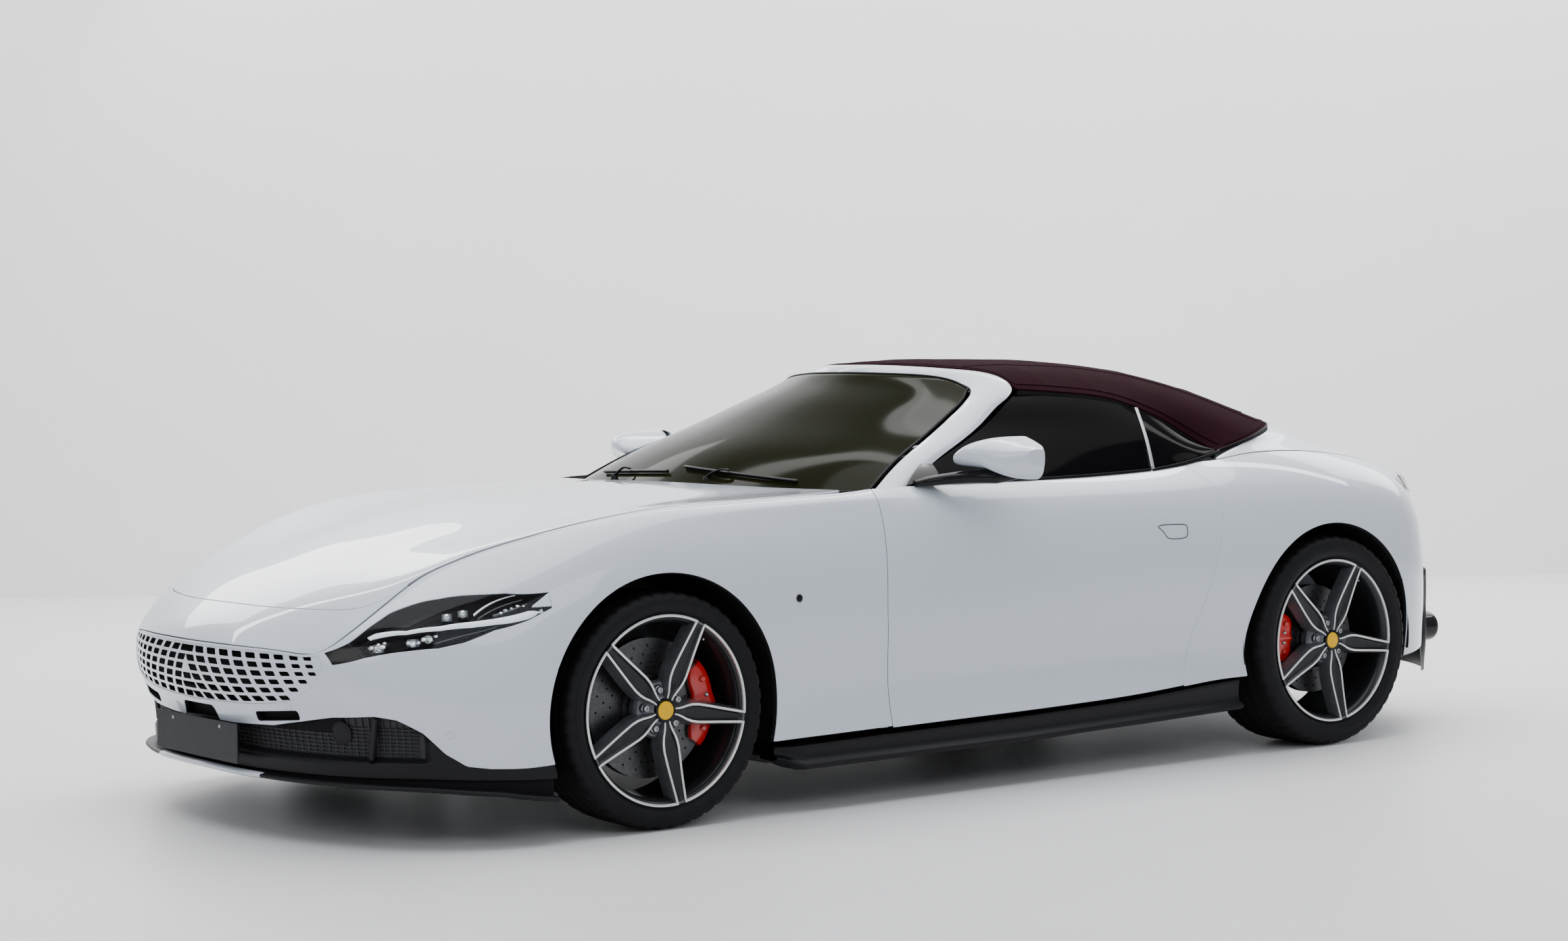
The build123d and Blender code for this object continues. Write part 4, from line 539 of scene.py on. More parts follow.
LENS = glassy("clear_lens", (.9, .93, 1), .013, (.93, .94, .95))
LAMPBODY = mat("lamp_housing_black", (.006, .0045, .0055), rough=.34, coat=0.0, spec=.14, var=.2, vscale=50)
LAMPGREY = mat("lamp_satin_grey", (.11, .12, .13), rough=.3, metal=.6, var=.15, vscale=60)
DRL = mat("daylight_bar", (.80, .86, .92), rough=.16, var=.05, vscale=30, emit=.55, emit_col=(.82, .90, 1.0), coat=1)
# lamp crystals and projector domes: the faint emission is a painted glint, not a light source
GLOW_CRYSTAL = mat("lamp_crystal", (.75, .8, .85), rough=.06, metal=.85, var=.25, vscale=260, emit=.12, emit_col=(.9, .95, 1))
REDLENS = mat("red_tail_lens", (.060, .002, .004), rough=.08, coat=.6, var=.2, vscale=120)
REDCORE = mat("red_lamp_core", (.25, .006, .010), rough=.25, var=.2, vscale=200, emit=.05, emit_col=(1, .05, .05))
TYRE = mat("tyre_rubber", (.0085, .0085, .0095), rough=.58, var=.18, vscale=25, bump=.2, bscale=500, spec=.14)
# two copies of the dark wheel paint: the lighter one on spoke flanks and hub is painted light, the darker one in the
# barrel, bolt pockets and sunk spoke floors is painted shade
RIM = mat("wheel_paint_lit_copy", (.115, .12, .135), rough=.30, metal=.55, coat=.5, var=.1, vscale=60)
RIMB = mat("wheel_paint_shaded_copy", (.022, .023, .026), rough=.30, metal=.6, var=.1, vscale=60)
CUT = mat("diamond_cut_silver", (.74, .74, .73), rough=.26, metal=.75, var=.05, vscale=200, bump=.03, bscale=1200, spec=.6)
DISC = mat("disc_iron", (.10, .10, .105), rough=.34, metal=.9, var=.2, vscale=90, bump=.1, bscale=260)
RED = mat("caliper_red", (.58, .008, .006), rough=.22, coat=.8, var=.06, vscale=50)
YELLOW = mat("cap_yellow", (.80, .45, .002), rough=.4, coat=.08, spec=.2, var=.05, vscale=80)
STEEL = mat("brushed_steel", (.40, .41, .42), rough=.33, metal=1, var=.1, vscale=80, bump=.06, bscale=600)
ALLOY = mat("cast_alloy", (.25, .26, .27), rough=.5, metal=.85, var=.15, vscale=60, bump=.25, bscale=300)
PAN = mat("underfloor_alloy", (.12, .125, .13), rough=.6, metal=.5, var=.2, vscale=8, bump=.15, bscale=120)
LINER = mat("arch_felt", (.010, .010, .011), rough=.95, var=.25, vscale=60, bump=.6, bscale=260, spec=.1)
LEATHER = mat("black_leather", (.020, .018, .018), rough=.45, var=.12, vscale=20, bump=.35, bscale=520, kind="grain")
LEATHER2 = mat("burgundy_leather", (.075, .012, .018), rough=.45, var=.10, vscale=20, bump=.35, bscale=520, kind="grain")
STITCH = mat("stitch_thread", (.45, .40, .38), rough=.8, var=.1, vscale=300)
CARPET = mat("cabin_carpet", (.016, .015, .016), rough=1, var=.3, vscale=200, bump=.9, bscale=700, spec=.1)
PLATE = mat("blank_dark_plate", (.013, .0145, .0175), rough=.5, spec=.25, var=.08, vscale=40, bump=.08, bscale=500)
PLATE_W = mat("blank_pale_plate", (.62, .63, .62), rough=.4, var=.04, vscale=40)
MIRRORG = mat("mirror_glass", (.62, .66, .70), rough=.02, metal=1, var=.02, vscale=6)
SCREEN = mat("display_glass", (.006, .007, .010), rough=.06, coat=1, var=.1, vscale=30)
ENGINE = mat("engine_plain_alloy", (.16, .165, .17), rough=.5, metal=.7, var=.2, vscale=30, bump=.2, bscale=120)

# ------------------------------------------------------------------ mesh helpers
def mesh(name, V, F, mats, body="chassis", N=None, midx=None, smooth=True, slot=None, rep=()):
    """an object from vertices in mm; N are its vertex normals"""
    me = bpy.data.meshes.new(name)
    me.from_pydata((np.asarray(V, float) * .001).tolist(), [], [list(map(int, f)) for f in F])
    for m in mats if isinstance(mats, (list, tuple)) else [mats]:
        me.materials.append(m)
    if midx is not None:
        me.polygons.foreach_set("material_index", np.asarray(midx, np.int32))
    me.polygons.foreach_set("use_smooth", np.full(len(me.polygons), smooth))
    me.update()
    if N is not None:
        me.normals_split_custom_set_from_vertices(np.asarray(N, float).tolist())
    o = bpy.data.objects.new(name, me)
    bpy.context.scene.collection.objects.link(o)
    if body:
        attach(o, body)
    if rep:
        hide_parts(*([rep] if isinstance(rep, str) else rep))
    return o

class Build:
    """collects several shapes into one mesh"""
    def __init__(self):
        self.V, self.F, self.N, self.M, self.n = [], [], [], [], 0
    def add(self, V, F, N=None, mi=0, flip=False):
        V = np.asarray(V, float)
        if N is None:
            N = vertex_normals(V, F)
        F = [list(f)[::-1] for f in F] if flip else F
        self.V.append(V); self.N.append(np.asarray(N, float))
        self.F += [[int(k) + self.n for k in f] for f in F]
        self.M += list(mi) if isinstance(mi, (list, np.ndarray)) else [mi] * len(F)
        self.n += len(V)
        return self
    def both(self):
        """add the mirror image on the right-hand side"""
        V, N = np.vstack(self.V), np.vstack(self.N)
        F, M = list(self.F), list(self.M)
        self.add(V * [1, -1, 1], [f[::-1] for f in F], N * [1, -1, 1], M)
        return self
    def move(self, d, mirror=False):
        s = np.array([1, -1, 1]) if mirror else np.ones(3)
        b = Build()
        b.V, b.N = [np.vstack(self.V) * s + np.asarray(d) ], [np.vstack(self.N) * s]
        b.F = [f[::-1] for f in self.F] if mirror else list(self.F)
        b.M, b.n = list(self.M), self.n
        return b
    def obj(self, name, mats, body="chassis", **k):
        return mesh(name, np.vstack(self.V), self.F, mats, body, np.vstack(self.N), self.M, **k)

def vertex_normals(V, F):
    N = np.zeros((len(V), 3))
    for f in F:
        P = V[list(f)]
        n = np.cross(P - P[0], np.roll(P, -1, 0) - P[0]).sum(0)
        for k in f:
            N[k] += n
    l = np.linalg.norm(N, axis=1, keepdims=True)
    return np.where(l > 1e-12, N / np.maximum(l, 1e-12), [0, 0, 1])

def flat(V, F):
    """the same shape with every face on its own vertices, for hard edges"""
    V2, F2, N2 = [], [], []
    for f in F:
        P = np.asarray(V, float)[list(f)]
        n = np.zeros(3)
        for k in range(1, len(P) - 1):
            n += np.cross(P[k] - P[0], P[k+1] - P[0])
        n /= max(np.linalg.norm(n), 1e-12)
        F2.append(list(range(len(V2), len(V2) + len(P))))
        V2 += list(P); N2 += [n] * len(P)
    return np.array(V2), F2, np.array(N2)

def gridmesh(P, flip=False, closed_i=False, closed_j=False):
    """quads over a point grid with smooth normals; returns V, F, N"""
    a, b = P.shape[:2]
    gi = np.gradient(np.concatenate([P[-1:], P, P[:1]], 0), axis=0)[1:-1] if closed_i else np.gradient(P, axis=0)
    gj = np.gradient(np.concatenate([P[:, -1:], P, P[:, :1]], 1), axis=1)[:, 1:-1] if closed_j else np.gradient(P, axis=1)
    n = np.cross(gi, gj)
    l = np.linalg.norm(n, axis=2, keepdims=True)
    n = n / np.maximum(l, 1e-9) * (-1 if flip else 1)
    F = []
    for i in range(a if closed_i else a - 1):
        for j in range(b if closed_j else b - 1):
            q = [i * b + j, ((i+1) % a) * b + j, ((i+1) % a) * b + (j+1) % b, i * b + (j+1) % b]
            F.append(q[::-1] if flip else q)
    return P.reshape(-1, 3), F, n.reshape(-1, 3)

def plate(B, P, t, r=2.0, flip=False, mi=0, mi_back=None):
    """a curved plate over point grid P with rounded edges, `t` thick inwards, added to builder B"""
    V, F, N = gridmesh(P, flip)
    a, b = P.shape[:2]
    B.add(V, F, N, mi)
    B.add(V - N * t, [f[::-1] for f in F], -N, mi if mi_back is None else mi_back)
    ring = [(i, 0) for i in range(a)] + [(a-1, j) for j in range(1, b)] + [(i, b-1) for i in range(a-2, -1, -1)] + [(0, j) for j in range(b-2, 0, -1)]
    idx = np.array([i * b + j for i, j in ring])
    p, n = V[idx], N[idx]
    tan = np.roll(p, -1, 0) - np.roll(p, 1, 0)
    d = np.cross(tan, n)
    d /= np.maximum(np.linalg.norm(d, axis=1, keepdims=True), 1e-9)
    d *= np.sign(np.sum(d * (p - V.mean(0)), 1).sum())
    rows, nr = [p], [n]
    for ang in (30, 60, 90):
        c, s = math.cos(math.radians(ang)), math.sin(math.radians(ang))
        rows.append(p + d * r * s - n * r * (1 - c)); nr.append(n * c + d * s)
    rows.append(p + d * r * .6 - n * t); nr.append(d)
    rows.append(p - n * t); nr.append(d)
    m = len(p)
    VV, NN = np.vstack(rows), np.vstack(nr)
    FF = []
    for k in range(len(rows) - 1):
        for i in range(m):
            j = (i + 1) % m
            q = [k*m + i, k*m + j, (k+1)*m + j, (k+1)*m + i]
            FF.append(q)
    a3 = VV[FF[0]]
    nn = np.cross(a3[1] - a3[0], a3[2] - a3[0])
    if np.dot(nn, NN[FF[0][0]] + d[0]) < 0:
        FF = [f[::-1] for f in FF]
    B.add(VV, FF, NN, mi)

def tube(path, r, n=12, closed=False, caps=True, sq=None, up=(0, 0, 1)):
    """round (or sq=(w, h) rounded-box) tube along a path; returns V, F"""
    P = np.asarray(path, float)
    m = len(P)
    T = np.roll(P, -1, 0) - np.roll(P, 1, 0) if closed else np.gradient(P, axis=0)
    T /= np.maximum(np.linalg.norm(T, axis=1, keepdims=True), 1e-9)
    u = np.array(up, float)
    S1 = np.cross(T, u); l = np.linalg.norm(S1, axis=1, keepdims=True)
    S1 = np.where(l > 1e-3, S1 / np.maximum(l, 1e-9), [1, 0, 0])
    U1 = np.cross(S1, T)
    th = np.linspace(0, 2*np.pi, n, endpoint=False)
    if sq is None:
        cx, cy = np.cos(th), np.sin(th)
        rr = np.broadcast_to(np.asarray(r, float), (m,))[:, None]
        ox, oy = cx * rr, cy * rr
    else:
        e = .45
        ox = np.sign(np.cos(th)) * np.abs(np.cos(th)) ** e * sq[0] / 2 * np.ones((m, 1))
        oy = np.sign(np.sin(th)) * np.abs(np.sin(th)) ** e * sq[1] / 2 * np.ones((m, 1))
    V = P[:, None] + S1[:, None] * ox[..., None] + U1[:, None] * oy[..., None]
    F = []
    for i in range(m if closed else m - 1):
        for j in range(n):
            F.append([i*n + j, i*n + (j+1) % n, ((i+1) % m)*n + (j+1) % n, ((i+1) % m)*n + j])
    if caps and not closed:
        F.append(list(range(n))[::-1]); F.append([(m-1)*n + j for j in range(n)])
    return V.reshape(-1, 3), F

def revolve(prof, n=128, axis="y", centre=(0, 0, 0), a0=0, a1=360, split_deg=35):
    """profile (radius, along-axis) turned about an axis; hard corners of the profile stay hard. returns V, F, N"""
    prof = np.asarray(prof, float)
    full = abs(a1 - a0) >= 360
    th = np.radians(np.linspace(a0, a1, n + (0 if full else 1), endpoint=not full))
    seg = np.diff(prof, axis=0)
    seg /= np.maximum(np.linalg.norm(seg, axis=1, keepdims=True), 1e-9)
    rows, nrm, pairs = [], [], []
    for k in range(len(seg)):
        n2 = np.array([seg[k][1], -seg[k][0]])
        for e, q in ((0, prof[k]), (1, prof[k+1])):
            o = k - 1 if e == 0 else k + 1
            nn = n2
            if 0 <= o < len(seg) and np.dot(seg[o], seg[k]) > math.cos(math.radians(split_deg)):
                nn = n2 + np.array([seg[o][1], -seg[o][0]])
                nn = nn / np.linalg.norm(nn)
            rows.append(q); nrm.append(nn)
        pairs.append((2*k, 2*k+1))
    m = len(th)
    R, Nn = np.array(rows), np.array(nrm)
    c, s = np.cos(th), np.sin(th)
    def place(r, h):
        if axis == "y":
            return np.stack([r[:, None] * c, h[:, None] + 0*c, r[:, None] * s], 2)
        if axis == "x":
            return np.stack([h[:, None] + 0*c, r[:, None] * c, r[:, None] * s], 2)
        return np.stack([r[:, None] * c, r[:, None] * s, h[:, None] + 0*c], 2)
    V = place(R[:, 0], R[:, 1]) + np.asarray(centre, float)
    N = place(Nn[:, 0], Nn[:, 1])
    F = []
    for a, b in pairs:
        for i in range(m if full else m - 1):
            j = (i + 1) % m
            q = [a*m + i, b*m + i, b*m + j, a*m + j]
            F.append(q)
    V, N = V.reshape(-1, 3), N.reshape(-1, 3)
    f0 = F[len(F)//2]
    if np.dot(np.cross(V[f0[1]] - V[f0[0]], V[f0[2]] - V[f0[0]]), N[f0[0]]) < 0:
        F = [f[::-1] for f in F]
    return V, F, N

def rbox(x0, x1, y0, y1, z0, z1, r=6, n=3):
    """box with rounded edges as a smooth shape; returns V, F, N"""
    c = np.array([(x0+x1)/2, (y0+y1)/2, (z0+z1)/2]); h = np.array([abs(x1-x0), abs(y1-y0), abs(z1-z0)]) / 2
    r = min(r, h.min() * .98)
    k = n + 1
    t = np.concatenate([-1 - 0*np.arange(1), np.linspace(-1, 1, 2)[:0], []])
    a = np.concatenate([np.linspace(-1, -.5, k), np.linspace(.5, 1, k)])
    V, F, N = [], [], []
    for ax in range(3):
        for sg in (-1, 1):
            U, W_ = np.meshgrid(a, a, indexing="ij")
            P = np.zeros(U.shape + (3,))
            i, j = (ax+1) % 3, (ax+2) % 3
            P[..., ax] = sg; P[..., i], P[..., j] = U, W_
            # cube point -> rounded box point
            core = h - r
            q = np.sign(P) * np.where(np.abs(P) > .5, (np.abs(P) - .5) * 2, 0)
            d = q / np.maximum(np.linalg.norm(q, axis=2, keepdims=True), 1e-9)
            base = np.where(np.abs(P) >= .5, np.sign(P) * core, P * 2 * core)
            V0 = c + base + d * r
            m = len(a)
            o = sum(len(v) for v in V)
            V.append(V0.reshape(-1, 3)); N.append(d.reshape(-1, 3))
            for x in range(m-1):
                for y in range(m-1):
                    f = [o + x*m + y, o + (x+1)*m + y, o + (x+1)*m + y + 1, o + x*m + y + 1]
                    F.append(f if sg > 0 else f[::-1])
    return np.vstack(V), F, np.vstack(N)

# ------------------------------------------------------------------ fine skin panels on the body surface
NRM = {}
for pa_, g_ in GRID.items():
    nn_ = np.cross(np.gradient(g_, axis=0), np.gradient(g_, axis=1)) * (-1 if pa_ == 2 else 1)
    NRM[pa_] = nn_ / np.maximum(np.linalg.norm(nn_, axis=2, keepdims=True), 1e-9)

def onskin(patch, W):
    A = NRM[patch]
    u, v = W[:, 0] * SUB, W[:, 1] * SUB
    i = np.clip(np.floor(u).astype(int), 0, A.shape[0] - 2)
    j = np.clip(np.floor(v).astype(int), 0, A.shape[1] - 2)
    x, y = (u - i)[:, None], (v - j)[:, None]
    n = A[i, j]*(1-x)*(1-y) + A[i+1, j]*x*(1-y) + A[i, j+1]*(1-x)*y + A[i+1, j+1]*x*y
    return S(patch, W[:, 0], W[:, 1]), n / np.linalg.norm(n, axis=1, keepdims=True)

def span(a, b, k=1):
    """grid lines of the surface net between a and b, with both ends"""
    s = SUB * k * .68
    c = np.arange(math.ceil(a * s - 1e-6), math.floor(b * s + 1e-6) + 1) / s
    return np.unique(np.concatenate([[a], c, [b]]))

def area(patch, us, vs, cut=None):
    W, Q = cells(us, vs)
    if cut:
        W, Q = cut(W, Q)
    used = sorted({k for p in Q for k in p})
    new = {k: i for i, k in enumerate(used)}
    return W[used], [[new[k] for k in p] for p in Q]

def skin(B, patch, us, vs, cut=None, depth=12.0, r=2.0, lift=0.0, full=False, inner=None, mi=0, mi_in=None, shape=None, wallmi=None, gapmi=None):
    """a trimmed panel with rolled edges; `inner` gives a back face at that depth (number or function of W)"""
    W, Q = area(patch, us, vs, cut)
    P, n = onskin(patch, W)
    if full:
        mid = np.abs(S(patch, W[:, 0], W[:, 1])[:, 1]) < 1e-3
        n[mid, 1] = 0
        n /= np.linalg.norm(n, axis=1, keepdims=True)
    else:
        mid = np.zeros(len(W), bool)
    lf = lift(W) if callable(lift) else lift
    P = P + n * (lf[:, None] if np.ndim(lf) else lf)
    if patch == 2:
        Q = [q[::-1] for q in Q]
    if shape is not None:
        P, n = shape(W, P, n, Q)
    m_list = mi(W, Q) if callable(mi) else [mi] * len(Q)
    B.add(P, Q, n, m_list)
    seen = set()
    for p in Q:
        seen.update(zip(p, p[1:] + p[:1]))
    bd = [(a, b) for a, b in seen if (b, a) not in seen and not (mid[a] and mid[b])]
    if not bd:
        return
    E = np.array(bd)
    idx = np.unique(E)
    pos = {int(k): i for i, k in enumerate(idx)}
    t = P[E[:, 1]] - P[E[:, 0]]
    d = np.cross(t, n[E[:, 0]] + n[E[:, 1]])
    acc = np.zeros((len(idx), 3))
    dl = np.linalg.norm(d, axis=1, keepdims=True)
    d = d / np.maximum(dl, 1e-9)
    for (a, b), x in zip(bd, d):
        acc[pos[a]] += x
        acc[pos[b]] += x
    mm = mid[idx]
    acc[mm, 1] = 0
    acc /= np.maximum(np.linalg.norm(acc, axis=1, keepdims=True), 1e-9)
    p, nn = P[idx], n[idx]
    dep = depth(W[idx]) if callable(depth) else depth
    dep = dep[:, None] if np.ndim(dep) else dep
    rows, nr = [p], [nn]
    for ang in (35, 65, 90):
        c, s = math.cos(math.radians(ang)), math.sin(math.radians(ang))
        rows.append(p + acc * r * s - nn * r * (1 - c)); nr.append(nn * c + acc * s)
    rows.append(p + acc * r - nn * dep); nr.append(acc)
    m = len(idx)
    F, FM = [], []
    base_mi = wallmi if wallmi is not None else (mi if not callable(mi) else 0)
    for a, b in bd:
        i, j = pos[a], pos[b]
        for k in range(len(rows) - 1):
            F.append([(k*m) + j, (k*m) + i, (k+1)*m + i, (k+1)*m + j])
            FM.append(gapmi if gapmi is not None and k == len(rows) - 2 else base_mi)
    B.add(np.vstack(rows), F, np.vstack(nr), FM)
    if inner is not None:
        ti = inner(W) if callable(inner) else inner
        ti = ti[:, None] if np.ndim(ti) else ti
        B.add(P - n * ti, [q[::-1] for q in Q], -n, mi_in if mi_in is not None else 0)

def skinline(patch, uv, lift=0.0):
    W = np.asarray(uv, float)
    P, n = onskin(patch, W)
    return P + n * lift, n

# ------------------------------------------------------------------ nose
def k_lamp(m):
    fs = lamp_area(m)
    def c(W, Q):
        for f in fs:
            W, Q = keep(W, Q, f)
        return W, Q
    return c

NOTCH_MID = 22.0
def cut_bumper(W, Q):
    W, Q = keep(W, Q, lambda W: bumper_low(W[:, 0]) - W[:, 1])
    W, Q = keep(W, Q, out_of_arch(AX_F, HUB_F, ARCH_F))
    W, Q = drop(W, Q, lamp_area(.016))
    W, Q = drop(W, Q, [lambda W: 6.425 - W[:, 0], lambda W: lamp_mid(W[:, 0]) - W[:, 1]])
    W, Q = drop(W, Q, [lambda W: grille_low(W[:, 0]) - .03 - W[:, 1], lambda W: W[:, 1] - 5.87, lambda W: W[:, 0] - 4.12])
    def slot(W):                       # rounded air slot in the chin
        P = S(0, W[:, 0], W[:, 1])
        y, z = P[:, 1], P[:, 2]
        zc = 346.5 + (y - 320) * .078
        a, b = np.abs(y - 398) - 90 + 11, np.abs(z - zc) - 15.5 + 11
        return np.hypot(np.maximum(a, 0), np.maximum(b, 0)) + np.minimum(np.maximum(a, b), 0) - 11
    W, Q = drop(W, Q, [slot])
    def notch(W):                      # opening behind the plate
        P = S(0, W[:, 0], W[:, 1])
        y, z = P[:, 1], P[:, 2]
        a, b = y - 118 + 14 + (z - 300) * .35, z - 362 + 14
        return np.hypot(np.maximum(a, 0), np.maximum(b, 0)) + np.minimum(np.maximum(a, b), 0) - 14
    W, Q = drop(W, Q, [notch])
    return W, Q

B = Build()
us = np.unique(np.concatenate([np.arange(0, 4.2, 1/36), span(4.2, 9.75)]))
vs = np.unique(np.concatenate([span(.3, 1.3), np.arange(1.3, 2.3, 1/30), span(2.3, 5.96)]))
skin(B, 0, us, vs, cut_bumper, depth=14, full=True, gapmi=1)
B.both().obj("front_bumper_skin", [PAINT, GAPM], rep="front_bumper", slot="paint")

# grille panel with its holes
KY = np.array([-50, 14, 75, 141, 207, 272, 332, 391, 443, 497, 542, 582, 620])
def hole(W):
    P = S(0, W[:, 0], W[:, 1])
    y, z = P[:, 1], P[:, 2]
    pitch = 26.8 - 1.95e-5 * y * y
    rc = (520.5 - z) / pitch
    row = np.clip(np.rint(rc), 0, 5)
    kap = np.interp(y, KY, np.arange(len(KY)) - 1.0)
    a = kap - .247 * rc
    k = np.rint(a)
    cy = np.interp(k + .247 * row, np.arange(len(KY)) - 1.0, KY)       # centre of the hole
    gap = np.interp(kap + .5, np.arange(len(KY)) - 1.0, KY) - np.interp(kap - .5, np.arange(len(KY)) - 1.0, KY)
    w = np.interp(cy, [0, 90, 270, 440, 560], [50, 50, 47, 37, 25])
    h = np.interp(cy, [0, 90, 270, 440, 560], [20.5, 20.5, 19.0, 15.5, 12.0])
    lim = np.array([552, 564, 576, 546, 510, 468])[row.astype(int)]
    ok = (cy > 25) & (cy < lim)
    lx, lz = (a - k) * gap, (rc - row) * pitch
    r = 4.2
    A, Bq = np.abs(lx) - w/2 + r, np.abs(lz) - h/2 + r
    sd = np.hypot(np.maximum(A, 0), np.maximum(Bq, 0)) + np.minimum(np.maximum(A, Bq), 0) - r
    sd = np.where(ok, sd, 6.0)
    # each row also has one hole across the centreline where its first pair leaves room
    first = []
    for q in range(6):
        c_ = np.interp(np.arange(-2, 4) + .247 * q, np.arange(len(KY)) - 1.0, KY)
        first.append(c_[c_ > 25].min() - 25 - 9)
    hw = np.array(first)[row.astype(int)]
    A, Bq = np.abs(y) - hw + r, np.abs(lz) - 10.25 + r
    sc = np.hypot(np.maximum(A, 0), np.maximum(Bq, 0)) + np.minimum(np.maximum(A, Bq), 0) - r
    return np.minimum(sd, np.where(hw > 12, sc, 6.0))
def cut_grille(W, Q):
    W, Q = keep(W, Q, lambda W: grille_low(W[:, 0]) + .016 - W[:, 1])
    W, Q = keep(W, Q, lambda W: W[:, 0] - 4.09)
    return drop(W, Q, [hole])
B = Build()
skin(B, 0, np.arange(0, 4.2001, 1/24), np.linspace(2, 5.845, 108), cut_grille, depth=5, r=1.0, lift=-2.5, full=True, gapmi=1)
B.both().obj("grille_panel", [PAINT, GAPM], rep="grille", slot="paint")
B = Build()
skin(B, 0, span(0, 4.1), span(2.02, 5.86), lambda W, Q: keep(W, Q, lambda W: grille_low(W[:, 0]) - W[:, 1]), depth=3, lift=-42, full=True)
B.both().obj("grille_backing", [DARK])

# nose panel and bonnet
B = Build()
skin(B, 1, span(.1, 3.0), span(.04, 4), lambda W, Q: keep(W, Q, bonnet_f(-2.2, -1)), depth=14, full=True)
B.both().obj("nose_panel_skin", [PAINT], rep="nose_panel", slot="paint")
def bonnet_depth(W):
    P = S(1, W[:, 0], W[:, 1])
    return 6 + 14 * smooth((-bonnet_sd(P[:, 0], P[:, 1]) - 20) / 90)
B = Build()
us = np.unique(np.concatenate([span(1.7, 2.3, 2), span(2.3, 11.2), span(11.2, 12, 2)]))
vs = np.unique(np.concatenate([span(0, 1, 2), span(1, 4)]))
skin(B, 1, us, vs, lambda W, Q: keep(W, Q, bonnet_f(2.2)), depth=6.0, full=True, inner=bonnet_depth, mi_in=1)
B.both().obj("bonnet_skin", [PAINT, PAINT_IN], "bonnet_body", rep="bonnet", slot="paint")

# black lower fascia: outer lip, mesh intake, divider
def fascia_lift(W):
    # the intake is sunk between the lip and the white bumper
    u, v = W[:, 0], W[:, 1]
    d = bumper_low(u) - .06 - v
    e = smooth((v - .42) / .22) * smooth(d / .16) * smooth((6.15 - u) / .35)
    return -6 - 26 * e
def cut_fascia(W, Q):
    W, Q = keep(W, Q, lambda W: W[:, 1] - bumper_low(W[:, 0]) + .02)
    return keep(W, Q, out_of_arch(AX_F, HUB_F, ARCH_F))
B = Build()
us = np.unique(np.concatenate([span(0, 6.4, 2), span(6.4, 9.75)]))
def fas_mi(W, Q):
    out = []
    for q in Q:
        c = W[q].mean(0)
        d = bumper_low(c[0]) - .06 - c[1]
        out.append(1 if (.60 < c[1] and d > .12 and c[0] < 5.9) else 0)
    return out
def fas_shape(W, P, n, Q):
    return P, vertex_normals(P, Q)
skin(B, 0, us, span(.02, 2.2, 2), cut_fascia, depth=10, lift=fascia_lift, full=True, mi=fas_mi, shape=fas_shape)
B.both().obj("lower_fascia_skin", [TRIM, TRIM2], rep="lower_fascia", slot="black_trim")
# fine mesh bars in the intake
B = Build()
for k in range(8):
    v = .66 + .115 * k
    us = np.linspace(0, 5.75, 90)
    ok = v < bumper_low(us) - .16
    if ok.sum() < 6:
        continue
    us = us[ok]
    P, n = skinline(0, np.stack([us, np.full_like(us, v)], 1), -29)
    V, F = tube(P, 2.4, 6, up=(0, 0, 1))
    B.add(V, F)
for s0 in np.arange(.25, 5.6, .16):
    vv = np.linspace(.6, bumper_low(s0) - .15, 12)
    P, n = skinline(0, np.stack([np.full_like(vv, s0), vv], 1), -29)
    V, F = tube(P, 2.0, 6, up=(0, 1, 0))
    B.add(V, F)
B.both().obj("intake_mesh", [TRIM2])
B = Build()
for uu, w in ((4.62, 7),):
    vv = np.linspace(.5, bumper_low(uu) - .05, 14)
    P, n = skinline(0, np.stack([uu + .12 * (vv - .5), vv], 1), -14)
    V, F = tube(P, 1, 12, sq=(12, 22), up=(0, 1, 0))
    B.add(V, F)
B.both().obj("intake_divider", [TRIM], slot="black_trim")
# round driving-aid sensor cover in the intake, parking sensors
def disc_on(B, patch, u, v, r, lift, t=3, mi=0, side=1, n=28, dome=.6, ringmi=None, ring=0.0):
    P, nn = skinline(patch, [[u, v]], lift)
    p, w = P[0], nn[0]
    a = np.cross(w, [0, 0, 1]); a /= np.linalg.norm(a); b = np.cross(a, w)
    prof = [(0.001, t + dome), (r * .6, t + dome * .7), (r * .9, t + .1), (r, t - .6), (r, -4)]
    V, F, N = revolve(prof, n, "z")
    M = np.stack([a, -b, w]) if np.linalg.det(np.stack([a, b, w])) < 0 else np.stack([a, b, w])
    B.add(V @ M + p, F, N @ M, mi)
    if ring:
        V, F, N = revolve([(r + .2, t - 2), (r + .4, t), (r + ring, t), (r + ring + .4, t - 2)], n, "z")
        B.add(V @ M + p, F, N @ M, mi if ringmi is None else ringmi)
B = Build()
disc_on(B, 0, 3.95, 1.30, 30, -28, 4, n=40, ring=2.5)
B.obj("intake_sensor_cover", [TRIM], slot="black_trim")
B = Build()
for u, v in ((6.56, 1.38), (3.05, 2.32)):
    disc_on(B, 0, u, v, 10.0, -1.2, 1.6, ring=1.0, ringmi=1)
disc_on(B, 0, 28.9, 2.4, 10.0, -1.2, 1.6, ring=1.0, ringmi=1)
disc_on(B, 0, 30.6, 2.4, 10.0, -1.2, 1.6, ring=1.0, ringmi=1)
B.both().obj("parking_sensors", [PAINT, STEEL])
B = Build()
disc_on(B, 0, 14.47, 2.88, 11, -1.0, 2.0, ring=2.5, ringmi=1)
B.both().obj("wing_side_markers", [BLACK, CHROME])

# chin slot and centre opening backings
B = Build()
skin(B, 0, span(.0, 4.0), span(1.3, 2.5), lambda W, Q: (W, Q), depth=3, lift=-26, full=True)
B.both().obj("chin_opening_backing", [DARK])

